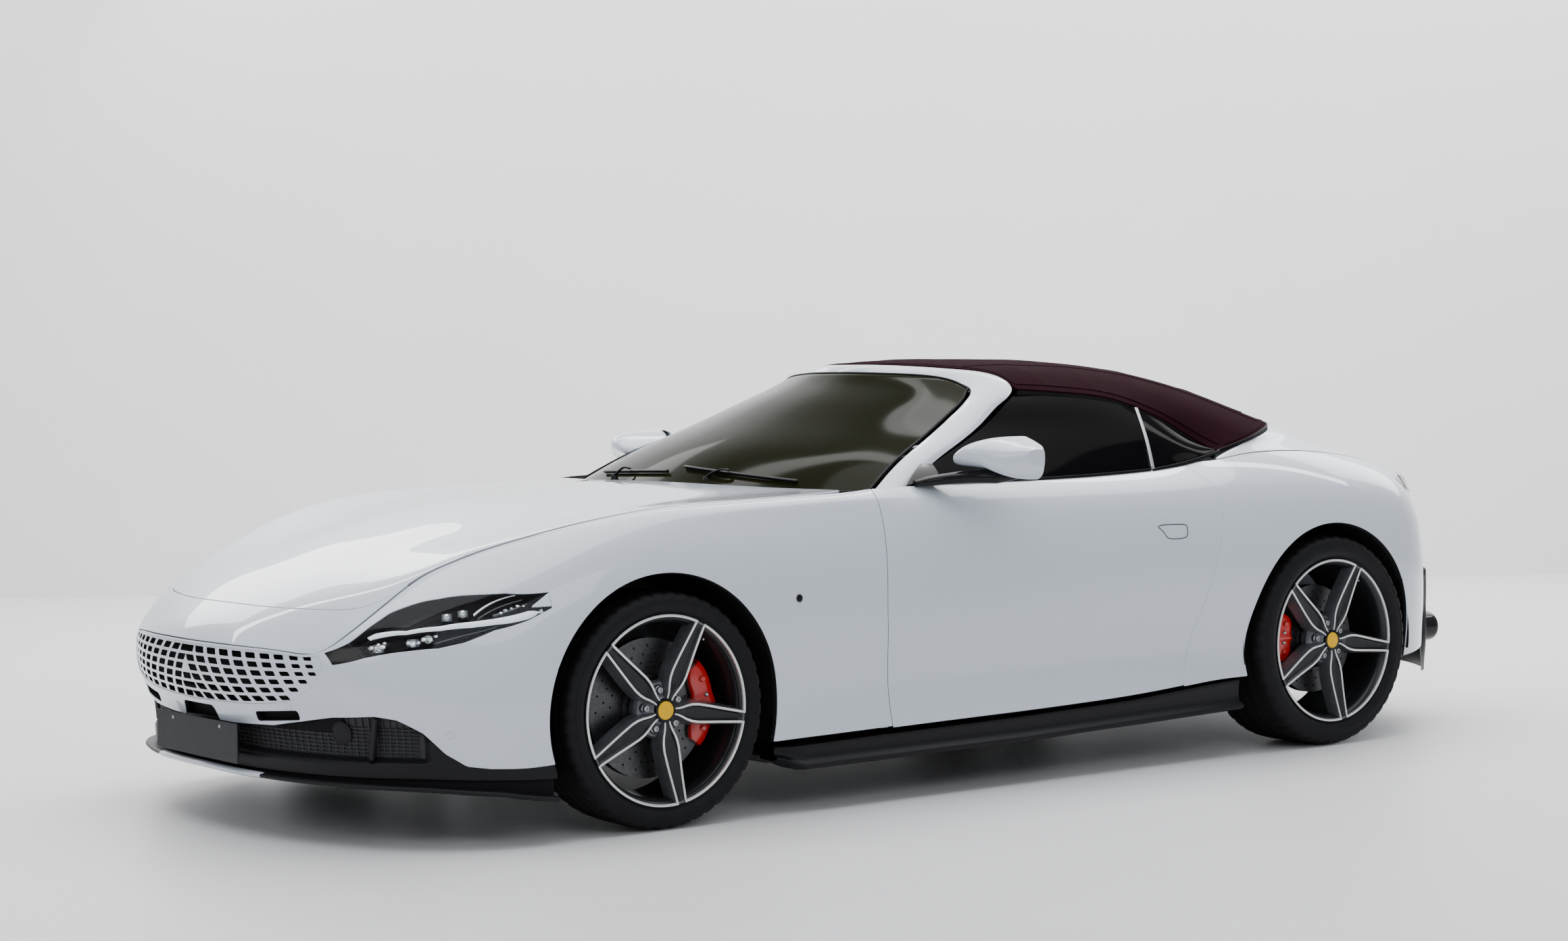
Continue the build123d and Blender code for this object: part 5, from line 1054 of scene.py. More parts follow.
# splitter blade with its pale centre insert
us = np.linspace(0, 9.7, 150)
e_ = S(0, us, np.zeros_like(us))
tg = np.gradient(e_, axis=0)
out_ = np.stack([-tg[:, 1], tg[:, 0], 0 * us], 1)
out_ = -out_ / np.linalg.norm(out_, axis=1, keepdims=True)
sag_ = np.interp(us, [0, 4, 6, 8, 9.7], [0, 8, 14, 24, 42])
def blade(dist, dz):
    p = e_ + out_ * dist
    p = p.copy(); p[:, 2] = e_[:, 2] - 6 - sag_ + dz
    return p
prof = [(-118, -14), (-60, -14), (6, -13), (20, -9), (25, -4), (22, 1), (12, 3), (-20, 2), (-40, 6)]
P = np.stack([blade(a, b) for a, b in prof], 1)
inside = np.hypot(P[..., 0] - AX_F, P[..., 2] - HUB_F) > ARCH_F - 2
P = P[inside.all(1)]
P = np.concatenate([P[::-1][:-1] * [1, -1, 1], P], 0)
V, F, N = gridmesh(P, flip=False)
if N[:, 2].mean() > 0 and (V + N * 5)[:, 2].mean() < V[:, 2].mean():
    F, N = [f[::-1] for f in F], -N
o = Build().add(V, F, N).obj("front_splitter_blade", [TRIM], rep="front_splitter", slot="black_trim")
us2 = us[np.abs(e_[:, 1]) < 352]
m2 = len(us2)
w_ = smooth((352 - np.abs(e_[:m2, 1])) / 50)
rows = []
for a, b in [(4, 4.0), (12, 5.5), (22, 4.2), (28, 0), (28.5, -4.5), (24, -9.5), (14, -13)]:
    p = blade(0, 0)[:m2].copy()
    aa = np.where(True, a, a) * 1.0
    p = e_[:m2] + out_[:m2] * (6 + (aa - 6) * (.35 + .65 * w_))[:, None]
    p[:, 2] = e_[:m2, 2] - 6 - sag_[:m2] + b * (.2 + .8 * w_) + (1 - w_) * -3
    rows.append(p)
P = np.stack(rows, 1)
P = np.concatenate([P[::-1][:-1] * [1, -1, 1], P], 0)
V, F, N = gridmesh(P, flip=False)
if (N[:, 2] * (V[:, 2] - V[:, 2].mean())).sum() < 0:
    F, N = [f[::-1] for f in F], -N
Build().add(V, F, N).obj("splitter_centre_insert", [PAINT], slot="paint")

# dark tray and skirt that close the front end behind the lip
B = Build()
ui = us[e_[:, 0] > 1668]
k_ = len(ui)
tray = blade(-70, -6)[:k_]
G = np.stack([tray * [1, 1 - t_, 1] for t_ in np.linspace(0, 1, 9)], 1)
V, F, N = gridmesh(G)
B.add(V, F, N); B.add(V - [0, 0, 5], [f[::-1] for f in F], -N)
ua = us[(np.hypot(blade(-24, 0)[:, 0] - AX_F, blade(-24, 0)[:, 2] - HUB_F) > ARCH_F + 2)]
k_ = len(ua)
rows = [skinline(0, np.stack([ua, np.full(k_, v_)], 1), l_)[0] for v_, l_ in ((.62, -46), (.35, -30), (.12, -22), (.03, -18))] + [blade(-16, 0)[:k_], blade(-16, -8)[:k_]]
V, F, N = gridmesh(np.stack(rows, 0))
B.add(V, F, N); B.add(V - N * 3, [f[::-1] for f in F], -N)
B.both().obj("front_under_tray", [DARK])

# ------------------------------------------------------------------ headlamps
LENS0 = 4.92
def in_notch(W, g=0.0):
    x, z = xz(W)
    # pale wedge behind the upper lamp: behind the slanted edge and above the lower one
    a = (x - 1728) * 35 + (z - 650) * 51
    a = (x - 1728) + (z - 650) * (51/35)
    return np.maximum(a + g, 651 - z + g)       # < 0 inside
def cut_lens(W, Q):
    W, Q = k_lamp(-.012)(W, Q)
    W, Q = keep(W, Q, lambda W: LENS0 - W[:, 0])
    W, Q = drop(W, Q, [lambda W: xz(W)[0] - 1728 - (xz(W)[1] - 650) * (-51/35) - 2, lambda W: 650 - xz(W)[1]])
    return W, Q
US, VS = span(4.25, 9.8, 2), span(3.85, 6, 2)
B = Build()
skin(B, 0, US, VS, cut_lens, depth=5, r=1.5, lift=0)
B.both().obj("headlamp_lenses", [LENS], rep="headlamps", slot="lamp_lens")
def cut_strip(W, Q):
    W, Q = k_lamp(-.012)(W, Q)
    return keep(W, Q, lambda W: W[:, 0] - LENS0 + .015)
B = Build()
skin(B, 0, span(4.25, 5, 2), VS, cut_strip, depth=12, r=1.5)
B.both().obj("lamp_link_strips", [BLACK], slot="black_trim")
def cut_wedge(W, Q):
    W, Q = k_lamp(-.012)(W, Q)
    W, Q = keep(W, Q, lambda W: xz(W)[0] - 1728 + (xz(W)[1] - 650) * (51/35) + 3)
    return keep(W, Q, lambda W: 652.5 - xz(W)[1])
B = Build()
skin(B, 0, span(9, 9.8, 3), span(3.85, 4.6, 3), cut_wedge, depth=10, r=1.5)
B.both().obj("lamp_rear_wedges", [PAINT], slot="paint")

def lamp_shelf(W):
    u, v = W[:, 0], W[:, 1]
    lo, hi = lamp_low(u), lamp_top(u)
    t = (v - lo) / np.maximum(hi - lo, .05)
    return t
DRL_T = table([(5.25,5.56),(5.47,5.50),(6.06,4.97),(6.75,4.69),(7.56,4.50),(8.5,4.31),(9.19,4.16),(9.6,3.97)])
DRL_B = table([(5.25,5.40),(5.34,5.38),(6.03,4.88),(6.72,4.60),(7.5,4.39),(8.16,4.25),(9.16,3.98),(9.6,3.93)])
def housing_lift(W):
    d = np.minimum.reduce([W[:, 1] - lamp_low(W[:, 0]), lamp_top(W[:, 0]) - W[:, 1], (W[:, 0] - LENS0) * .8, (9.8 - W[:, 0]) * .5])
    near = np.abs(W[:, 1] - (DRL_T(W[:, 0]) + DRL_B(W[:, 0])) / 2)
    return -5 - 33 * smooth((d + .02) / .16) * (1 - .6 * np.exp(-(near / .10) ** 2))
def cut_house(W, Q):
    W, Q = k_lamp(-.006)(W, Q)
    return keep(W, Q, lambda W: LENS0 - W[:, 0] - .03)
B = Build()
def reshape_n(W, P, n, Q):
    return P, vertex_normals(P, Q)
skin(B, 0, US, VS, cut_house, depth=4, r=.5, lift=housing_lift, shape=reshape_n)
B.both().obj("headlamp_housings", [LAMPBODY])

def ribbon(B, top, bot, u0, u1, lift, t, n=60, m=6, mi=0, bulge=2.0, taper=0.0):
    us = np.linspace(u0, u1, n)
    a, b = top(us), bot(us)
    if taper:
        k = smooth((u1 - us) / taper)
        mid = (a + b) / 2
        a, b = mid + (a - mid) * k, mid + (b - mid) * k
    s = np.linspace(0, 1, m)
    U = np.repeat(us[:, None], m, 1)
    V_ = b[:, None] * (1 - s) + a[:, None] * s
    W = np.stack([U.ravel(), V_.ravel()], 1)
    P, nn = onskin(0, W)
    L_ = lift + bulge * 4 * (s * (1 - s))[None, :].repeat(n, 0).ravel()
    G = (P + nn * L_[:, None]).reshape(n, m, 3)
    plate(B, G, t, r=1.0, mi=mi)
B = Build()
ribbon(B, DRL_T, DRL_B, 5.30, 9.52, -8, 6, n=90, m=7, bulge=3, taper=.22)
B.both().obj("daylight_bars", [DRL], slot="lamp_lens")
# upper blade and light guide, lower lip
B = Build()
def seg_ribbon(B, p, q, w0, w1, lift, t=3, mi=0, n=26, bow=0.0):
    """thin blade between two (u, v) points"""
    p, q = np.array(p, float), np.array(q, float)
    s = np.linspace(0, 1, n)[:, None]
    C = p + (q - p) * s
    C[:, 1] += bow * 4 * (s * (1 - s))[:, 0]
    w = w0 + (w1 - w0) * s[:, 0]
    W = np.concatenate([np.stack([C[:, 0], C[:, 1] - w/2], 1), C, np.stack([C[:, 0], C[:, 1] + w/2], 1)])
    P, nn = onskin(0, W)
    P = P + nn * lift
    P[n:2*n] += nn[n:2*n] * 2.0
    G = P.reshape(3, n, 3).transpose(1, 0, 2)
    plate(B, G, t, r=.8, mi=mi)
seg_ribbon(B, (7.66, 4.62), (9.0, 4.66), .05, .02, -9, mi=0, bow=.09)
seg_ribbon(B, (7.75, 4.52), (9.1, 4.50), .03, .02, -12, mi=1, bow=.07)
seg_ribbon(B, (8.2, 4.46), (9.2, 4.36), .06, .02, -16, mi=1)
seg_ribbon(B, (6.6, 4.36), (8.2, 4.18), .025, .015, -10, mi=1, bow=.0)
B.both().obj("lamp_blades", [CHROME, LAMPGREY])
# projector boxes and crystals
def gem(B, u, v, lift, s, mi=0, seed=0):
    P, nn = skinline(0, [[u, v]], lift)
    rng = np.random.RandomState(seed)
    ico = np.array([(0,0,1.0),(.9,0,.45),(.28,.85,.45),(-.72,.53,.45),(-.72,-.53,.45),(.28,-.85,.45),(.72,.53,-.3),(-.28,.85,-.3),(-.9,0,-.3),(-.28,-.85,-.3),(.72,-.53,-.3)])
    Fq = [(0,1,2),(0,2,3),(0,3,4),(0,4,5),(0,5,1),(1,6,2),(2,7,3),(3,8,4),(4,9,5),(5,10,1),(6,7,2),(7,8,3),(8,9,4),(9,10,5),(10,6,1)]
    w = nn[0]; a = np.cross(w, [0, 0, 1]); a /= np.linalg.norm(a); b = np.cross(w, a)
    R = ico * (1 + rng.uniform(-.2, .2, ico.shape)) * np.array(s)
    V = P[0] + R[:, :1] * a + R[:, 1:2] * b + R[:, 2:] * w
    V2, F2, N2 = flat(V, Fq)
    c = V.mean(0)
    for i, f in enumerate(F2):
        if np.dot(N2[f[0]], V2[f].mean(0) - c) < 0:
            F2[i] = f[::-1]; N2[f] *= -1
    B.add(V2, F2, N2, mi)
B = Build()
k = 0
for u, v, s in ((5.19,5.19,9),(5.27,5.06,8),(5.36,5.12,8),(5.42,4.98,9),(5.31,4.92,7),(5.5,5.06,6),
                (6.00,4.68,8),(6.08,4.60,9),(6.22,4.56,7),(6.34,4.58,8),(6.5,4.50,8),(6.62,4.53,6),
                (8.45,4.44,6),(8.6,4.46,7),(8.78,4.43,6),(8.95,4.42,6),(9.1,4.36,5)):
    gem(B, u, v, -17, (s, s * .8, s * .6), seed=k); k += 1
B.both().obj("lamp_crystals", [GLOW_CRYSTAL])
B = Build()
for u, v, w, h in ((7.0, 4.86, 30, 24), (7.42, 4.79, 30, 22), (5.3, 5.06, 34, 26), (6.1, 4.63, 34, 24), (6.45, 4.55, 26, 20)):
    P, nn = skinline(0, [[u, v]], -30)
    w_, a = nn[0], np.cross(nn[0], [0, 0, 1]); a /= np.linalg.norm(a); b = np.cross(w_, a)
    V, F, N = rbox(-w/2, w/2, -h/2, h/2, -10, 8, r=4)
    M = np.stack([a, b, w_])
    B.add(V @ M + P[0], F, N @ M, 0, flip=np.linalg.det(M) < 0)
    V, F, N = revolve([(0.001, 16), (6, 15), (9, 11.5), (10, 8), (11, 8), (11.5, 4)], 24, "z")
    B.add(V @ M + P[0], F, N @ M, 1, flip=np.linalg.det(M) < 0)
B.both().obj("lamp_projectors", [LAMPGREY, GLOW_CRYSTAL])

# ------------------------------------------------------------------ front wings
def cut_wing(W, Q):
    W, Q = keep(W, Q, lambda W: W[:, 0] - door_front(W[:, 1]) + .013)
    W, Q = keep(W, Q, out_of_arch(AX_F, HUB_F, ARCH_F))
    W, Q = keep(W, Q, lambda W: 6.436 - W[:, 0])
    W, Q = drop(W, Q, lamp_area(.016))
    return drop(W, Q, [lambda W: W[:, 0] - 9.757, lambda W: W[:, 1] - lamp_mid(W[:, 0])])
B = Build()
skin(B, 0, span(6.2, 16.2), span(.12, 5.965), cut_wing, depth=18, wallmi=0, gapmi=1)
B.both().obj("front_wing_skins", [PAINT, GAPM], rep="front_wings", slot="paint")

# ------------------------------------------------------------------ doors
def cut_door(W, Q):
    W, Q = keep(W, Q, lambda W: door_front(W[:, 1]) + .012 - W[:, 0])
    return keep(W, Q, lambda W: W[:, 0] - door_rear(W[:, 1]) + .011)
def door_thick(W):
    a = (W[:, 0] - door_front(W[:, 1])) / (door_rear(W[:, 1]) - door_front(W[:, 1]))
    t = 26 + 86 * smooth((a - .08) / .1) * smooth((.92 - a) / .1) * smooth((W[:, 1] - .15) / .5)
    return t * (1 - .45 * smooth((W[:, 1] - 4.6) / 1.3))
for sd, nm in ((1, "left"), (-1, "right")):
    B = Build()
    skin(B, 0, span(15.9, 22), span(.09, 5.965), cut_door, depth=26, inner=door_thick, mi_in=1, gapmi=2)
    Bm = B if sd > 0 else B.move((0, 0, 0), True)
    Bm.obj(f"door_skin_{nm}", [PAINT, LEATHER, GAPM], f"door_{nm}_body", rep=f"door_{nm}", slot="paint")
    # inner trim: armrest, pull, speaker
    B = Build()
    V, F, N = rbox(-420, 120, 768, 812, 560, 610, r=16); B.add(V, F, N, 0)
    V, F, N = rbox(-300, -60, 752, 800, 640, 664, r=10); B.add(V, F, N, 1)
    V, F, N = revolve([(0.001, 4), (60, 4), (74, 2), (78, -6)], 40, "y", centre=(250, 0, 380)); V[:, 1] = 812 - V[:, 1]
    B.add(V, [f[::-1] for f in F], N * [1, -1, 1], 2)
    Bm = B if sd > 0 else B.move((0, 0, 0), True)
    Bm.obj(f"door_trim_{nm}", [LEATHER, CHROME, TRIM2], f"door_{nm}_body")
    # flush handle outline
    B = Build()
    hp = np.array([(20.50,4.05),(20.55,4.09),(20.9,4.09),(21.04,4.06),(21.06,3.98),(21.04,3.80),(20.98,3.75),(20.72,3.75),(20.64,3.80),(20.60,3.90)])
    hc = curve(np.vstack([hp, hp[:1]]), 70)[:-1]
    P, n = skinline(0, hc, .15)
    V, F = tube(P, 1.3, 8, closed=True)
    B.add(V, F)
    Bm = B if sd > 0 else B.move((0, 0, 0), True)
    Bm.obj(f"door_handle_gap_{nm}", [SEAL], f"door_{nm}_body")

# jambs behind the shut lines
B = Build()
def strip_at(B, f, lift, w, sgn=1, v0=.1, v1=5.95, mi=0):
    vv = np.linspace(v0, v1, 90)
    uu = f(vv)
    rows = [skinline(0, np.stack([uu + o, vv], 1), lift)[0] for o in np.linspace(-w, w, 5)]
    V, F, N = gridmesh(np.stack(rows, 0))
    B.add(V, F, N, mi)
strip_at(B, door_front, -27, .12)
strip_at(B, door_rear, -27, .12)
B.both().obj("door_jambs", [PAINT_IN])
# deep-black strip 20 mm under the bonnet shut line: painted shade, so the gap reads dark
B = Build()
bo = curve(BON, 160)
for w0, w1, z in ((-.0, 0, 0),):
    p0 = S(1, bo[:, 0], bo[:, 1])
    tgt = np.gradient(p0, axis=0); nrm2 = np.stack([-tgt[:, 1], tgt[:, 0], 0 * tgt[:, 0]], 1)
    nrm2 /= np.linalg.norm(nrm2, axis=1, keepdims=True)
    rows = [p0 + nrm2 * o - [0, 0, 20.0] for o in (-13, -5, 5, 13)]
    V, F, N = gridmesh(np.stack(rows, 0)); B.add(V, F, N)
B.both().obj("bonnet_gap_shade_strip", [DARK])

# ------------------------------------------------------------------ rear quarters and tail
def cut_quarter(W, Q):
    W, Q = keep(W, Q, lambda W: door_rear(W[:, 1]) + .011 - W[:, 0])
    W, Q = keep(W, Q, out_of_arch(AX_R, HUB_R, ARCH_R))
    return drop(W, Q, [behind_split(-1.8)])
tail_split = table([(100,-1713),(560,-1713),(640,-1740),(772,-1946),(1000,-1964)])
def behind_split(m):
    def f(W):
        x, z = xz(W)
        return x - tail_split(z) + m
    return f
B = Build()
skin(B, 0, span(21, 28), span(.06, 5.965), cut_quarter, depth=20, gapmi=1)
B.both().obj("rear_quarter_skins", [PAINT, GAPM], rep="rear_quarters", slot="paint")
TAIL = ((27.32, 28.35, 5.12, 5.78), (28.75, 30.2, 5.18, 5.72))
rear_low = table([(25.3,.08),(27.6,.10),(28.6,.45),(29.4,1.0),(32,1.05)])
def rounded_uv(t, m, r=.10):
    def f(W):
        cu, cv = (t[0] + t[1]) / 2, (t[2] + t[3]) / 2
        k = 2.2                                        # columns are narrower than rows here
        a, b = (np.abs(W[:, 0] - cu) - (t[1] - t[0]) / 2 - m) + r, (np.abs(W[:, 1] - cv) - (t[3] - t[2]) / 2 - m) + r
        return np.hypot(np.maximum(a, 0), np.maximum(b, 0)) + np.minimum(np.maximum(a, b), 0) - r
    return f
def cut_rear(W, Q):
    W, Q = keep(W, Q, behind_split(1.8))
    W, Q = keep(W, Q, lambda W: rear_low(W[:, 0]) - W[:, 1])
    W, Q = keep(W, Q, out_of_arch(AX_R, HUB_R, ARCH_R))
    for t in TAIL:
        W, Q = drop(W, Q, [rounded_uv(t, .012)])
    W, Q = drop(W, Q, [lambda W: S(0, W[:, 0], W[:, 1])[:, 1] - 272, lambda W: 508 - xz(W)[1], lambda W: xz(W)[1] - 644])
    def tips(W):
        P = S(0, W[:, 0], W[:, 1])
        return np.hypot(P[:, 1] - np.clip(P[:, 1], 520, 640), P[:, 2] - 322) - 57
    return drop(W, Q, [tips])
B = Build()
skin(B, 0, span(25.2, 32), span(.06, 5.955), cut_rear, depth=14, full=True, gapmi=1)
B.both().obj("rear_bumper_skin", [PAINT, GAPM], rep="rear_bumper", slot="paint")
B = Build(); C = Build(); D = Build()
for t in TAIL:
    def ct(W, Q, t=t):
        return keep(W, Q, rounded_uv(t, -.004))
    skin(B, 0, span(t[0] - .05, t[1] + .05, 3), span(t[2] - .05, t[3] + .05, 3), ct, depth=8, r=1.5, lift=2.0)
    def ct2(W, Q, t=t):
        return keep(W, Q, rounded_uv(t, -.07, .07))
    skin(C, 0, span(t[0] - .05, t[1] + .05, 3), span(t[2] - .05, t[3] + .05, 3), ct2, depth=4, r=1.0, lift=-9)
    skin(D, 0, span(t[0] - .05, t[1] + .05, 3), span(t[2] - .05, t[3] + .05, 3), ct, depth=3, r=1.0, lift=-22)
B.both().obj("tail_lamp_lenses", [REDLENS], rep="tail_lamps", slot="red_lens")
C.both().obj("tail_lamp_rings", [REDCORE])
D.both().obj("tail_lamp_housings", [DARK])

# plate recess
B = Build()
def cut_recess(W, Q):
    W, Q = keep(W, Q, lambda W: S(0, W[:, 0], W[:, 1])[:, 1] - 300)
    W, Q = keep(W, Q, lambda W: 480 - xz(W)[1])
    return keep(W, Q, lambda W: xz(W)[1] - 672)
skin(B, 0, span(29, 32), span(1.2, 5), cut_recess, depth=3, lift=-44, full=True)
B.both().obj("rear_plate_recess", [TRIM], slot="black_trim")
B = Build()
for x0, x1, z0, z1, m_ in ((2290, 2294.5, 210, 322, 0),):
    V, F, N = rbox(x0, x1, -260, 260, z0, z1, r=2.2); B.add(V, F, N, 0)
    for y in (-150, 150):
        V, F, N = revolve([(0.001, 2.0), (3.5, 1.8), (5, .6), (5.4, 0)], 20, "x", centre=(2294.5, y, 306)); B.add(V, F, N, 2)
    V, F, N = rbox(2240, 2291, -60, 60, 235, 300, r=5); B.add(V, F, N, 3)
V, F, N = rbox(-2292.5, -2288, -262, 262, 518, 634, r=2.2); B.add(V, F, N, 1)
B.obj("blank_plates", [PLATE, PLATE_W, STEEL, TRIM], rep="number_plates", slot="plate")

# rear diffuser: dark lower shell, fins, side surrounds round the exhaust tips
B = Build()
def cut_diff(W, Q):
    return keep(W, Q, lambda W: W[:, 1] - rear_low(W[:, 0]) + .03)
skin(B, 0, span(25.6, 32), span(.03, 1.1), cut_diff, depth=14, lift=-7, full=True)
for y in (70, 200, 330):
    P = []
    for z in np.linspace(178, 300, 8):
        P.append([(-2120, y, z), (-2200, y, z), (-2262 - (z - 178) * .42 + (abs(y) / 330) ** 2 * 36, y, z)])
    P = np.array(P)
    plate(B, P, 6, r=2)
    plate(B, P + [0, -6, 0], 6, r=2, flip=True)
B.both().obj("rear_diffuser_shell", [TRIM], rep="rear_diffuser", slot="black_trim")
B = Build()
# upright black surround beside each pair of tips
us = np.linspace(28.15, 30.35, 80)
zz = np.linspace(0, 1, 60)
G = np.zeros((80, 60, 3))
for i, u in enumerate(us):
    e1 = smooth((u - 28.15) / .5) * smooth((30.35 - u) / .35)
    ztop = 548 - 60 * (1 - e1)
    zbot = 184
    for j, t in enumerate(zz):
        z = ztop + (zbot - ztop) * t
        vv = np.interp(z, [285, 390, 500, 600], [0, 1, 2, 3]) if z > 285 else 0.0
        p, n = skinline(0, [[u - .75 * smooth((t - .35) / .65) * (30.35 - u) / 2.2, max(vv, 0.0)]], 0)
        off = 2 + 44 * e1 * (1 - .45 * smooth((t - .6) / .4)) * smooth((t + .02) / .07)
        q = p[0] + n[0] * [1, 1, 0] * off
        q[2] = z
        G[i, j] = q
# a dished ring round each tip
for y, x1 in ((640, -2206), (520, -2256)):
    rr = np.hypot(G[:, :, 1] - y, G[:, :, 2] - 322)
    ww = 1 - smooth((rr - 60) / 22)
    G[:, :, 0] += ww * (np.maximum(G[:, :, 0], x1 + 24) - G[:, :, 0])
V, F, N = gridmesh(G, flip=False)
cen = G.mean((0, 1)) + [200, -200, 0]
if (N * (V - cen)).sum() < 0:
    F, N = [f[::-1] for f in F], -N
B.add(V, F, N)
B.both().obj("diffuser_side_surrounds", [TRIM], slot="black_trim")
# sloping tray that closes the tail under the fins
B = Build()
G = np.array([[(-2236 + 30 * (y / 470.0) ** 2 + t * 380, y, 246 - t * 92) for y in np.linspace(0, 486, 10)] for t in np.linspace(0, 1, 8)])
V, F, N = gridmesh(G)
B.add(V, F, N); B.add(V - [0, 0, 6], [f[::-1] for f in F], -N)
B.both().obj("rear_under_tray", [TRIM2])
B = Build()
for y, x1 in ((640, -2206), (520, -2256)):
    V, F, N = revolve([(50, 90), (52, 20), (52, 4), (51, .8), (49.5, 0), (47.5, 1), (46.5, 4), (45, 30), (42, 92)], 64, "x", centre=(x1, y, 322))
    B.add(V, F, N, 0)
    V, F, N = revolve([(44, 60), (0.01, 62)], 48, "x", centre=(x1, y, 322)); B.add(V, F, N, 1)
B.both().obj("exhaust_tip_pairs", [BLACK, DARK], rep="exhaust_tips")

# boot lid, tonneau
B = Build()
skin(B, 2, span(.1, 2.43), span(.03, 4), None, depth=10, full=True, inner=lambda W: 6 + 18 * smooth((W[:, 1] - .1) / .5) * smooth((W[:, 0] - .12) / .3) * smooth((2.42 - W[:, 0]) / .3), mi_in=1, gapmi=2)
B.both().obj("boot_lid_skin", [PAINT, PAINT_IN, GAPM], "boot_lid_body", rep="boot_lid", slot="paint")
B = Build()
skin(B, 2, span(2.475, 5.76), span(.03, 4), None, depth=12, full=True, gapmi=1)
B.both().obj("tonneau_cover_skin", [PAINT, GAPM], rep="tonneau_cover", slot="paint")
# third lamp
C = Build()
jj = np.linspace(2.2, 4, 40)
P1, n1 = skinline(2, np.stack([np.full(40, 2.60), jj], 1), 1.2)
V, F = tube(P1, 1, 10, sq=(9, 3.5)); C.add(V, F)
C.both().obj("high_brake_lamp", [REDLENS], slot="red_lens")

# ------------------------------------------------------------------ windscreen and its frame
def coons(B_, T, L, R):
    n, m = len(B_), len(L)
    s = np.linspace(0, 1, n)[:, None, None]
    t = np.linspace(0, 1, m)[None, :, None]
    return ((1-t)*B_[:, None] + t*T[:, None] + (1-s)*L[None] + s*R[None]
            - ((1-s)*(1-t)*B_[0] + s*(1-t)*B_[-1] + (1-s)*t*T[0] + s*t*T[-1]))
def gnorm(P):
    n = np.cross(np.gradient(P, axis=0), np.gradient(P, axis=1))
    return n / np.maximum(np.linalg.norm(n, axis=2, keepdims=True), 1e-9)
I_ = np.array([(455,797,905),(300,733,990),(137,668,1057),(-20,606,1125),(-120,562,1172),(-172,525,1207),(-172,465,1229),(-145,390,1247),(-85,240,1258),(-40,100,1262.5),(-30,0,1263)], float)
O_ = np.array([(335,815,905),(175,745,985),(16,692,1048),(-118,645,1106),(-215,614,1160),(-290,588,1205),(-285,520,1248),(-208,400,1272),(-140,240,1284),(-90,100,1289.5),(-80,0,1290)], float)
Ic = curve(np.vstack([I_, I_[-2::-1] * [1, -1, 1]]), 193)
Oc = curve(np.vstack([O_, O_[-2::-1] * [1, -1, 1]]), 193)
ws = np.linspace(0, 1, 13)
R = Ic[:, None] * (1 - ws)[None, :, None] + Oc[:, None] * ws[None, :, None]
n = gnorm(R)
sgn = np.sign(np.sum(n[96, 6] * np.array([0.3, 0, 1])))
R = R + n * sgn * (4 * 9 * ws * (1 - ws))[None, :, None]
B = Build()
plate(B, R, 24, r=4, flip=sgn < 0)
B.obj("windscreen_frame_skin", [PAINT], rep="windscreen_frame", slot="paint")

lw = curve(I_[:6] + [10, -7, 4], 40)
tw = curve(np.vstack([I_[5:], I_[-2:4:-1] * [1, -1, 1]]), 97) + [10, 0, 0]
lw[-1] = tw[0]
bw = curve([(lw[0][0], lw[0][1], lw[0][2]), (560, 620, 912), (640, 380, 918), (680, 180, 921), (692, 0, 922), (680, -180, 921), (640, -380, 918), (560, -620, 912), (lw[0][0], -lw[0][1], lw[0][2])], 97)
G = coons(bw, tw, lw, lw * [1, -1, 1])
s, t = np.meshgrid(np.linspace(-1, 1, 97), np.linspace(0, 1, 40), indexing="ij")
nn = gnorm(G); sg = np.sign(nn[48, 20, 2])
G = G + nn * sg * (16 * 4 * t * (1 - t) * (1 - s**2))[..., None]
WS, sg_ws = G, sg
B = Build(); plate(B, G, 5, r=1.5, flip=sg < 0)
B.obj("windscreen_glass", [GLASS], rep="windscreen", slot="tinted_glass")
# rubber seal round the glass
ring = np.vstack([G[:, 0], G[-1, 1:], G[-2::-1, -1], G[0, -2:0:-1]])
B = Build(); V, F = tube(ring + [0, 0, 1.0], 4.0, 8, closed=True); B.add(V, F)
B.obj("windscreen_seal", [SEAL])
B = Build(); V, F, N = rbox(20, 75, -60, 60, 1205, 1228, r=6)
V = V + [-40, 0, 8]; B.add(V, F, N)
B.obj("rear_view_mirror", [TRIM])

# cowl and wipers
B = Build()
js = np.concatenate([np.linspace(.3, 1, 14), np.linspace(1.1, 4, 30)])
K, J = np.meshgrid(np.linspace(0, 1, 9), js, indexing="ij")
P = S(1, 11.3 + .7 * K, J); P[..., 2] -= 34
P = np.concatenate([P, (P[:, ::-1] * [1, -1, 1])[:, 1:]], 1)
V, F, N = gridmesh(P)
if N[:, 2].mean() < 0: F, N = [f[::-1] for f in F], -N
B.add(V, F, N)
B.obj("cowl_panel_skin", [TRIM], rep="cowl_panel", slot="black_trim")
B = Build()
def on_glass(s_, t_, lift):
    a_, b_ = np.asarray(s_) * 96, np.asarray(t_) * 39
    i, j = np.clip(a_.astype(int), 0, 95), np.clip(b_.astype(int), 0, 38)
    x_, y_ = (a_ - i)[:, None], (b_ - j)[:, None]
    ev = lambda A: A[i, j]*(1-x_)*(1-y_) + A[i+1, j]*x_*(1-y_) + A[i, j+1]*(1-x_)*y_ + A[i+1, j+1]*x_*y_
    n_ = ev(gnorm(WS)) * sg_ws
    n_ /= np.linalg.norm(n_, axis=1, keepdims=True)
    return ev(WS) + n_ * lift, n_
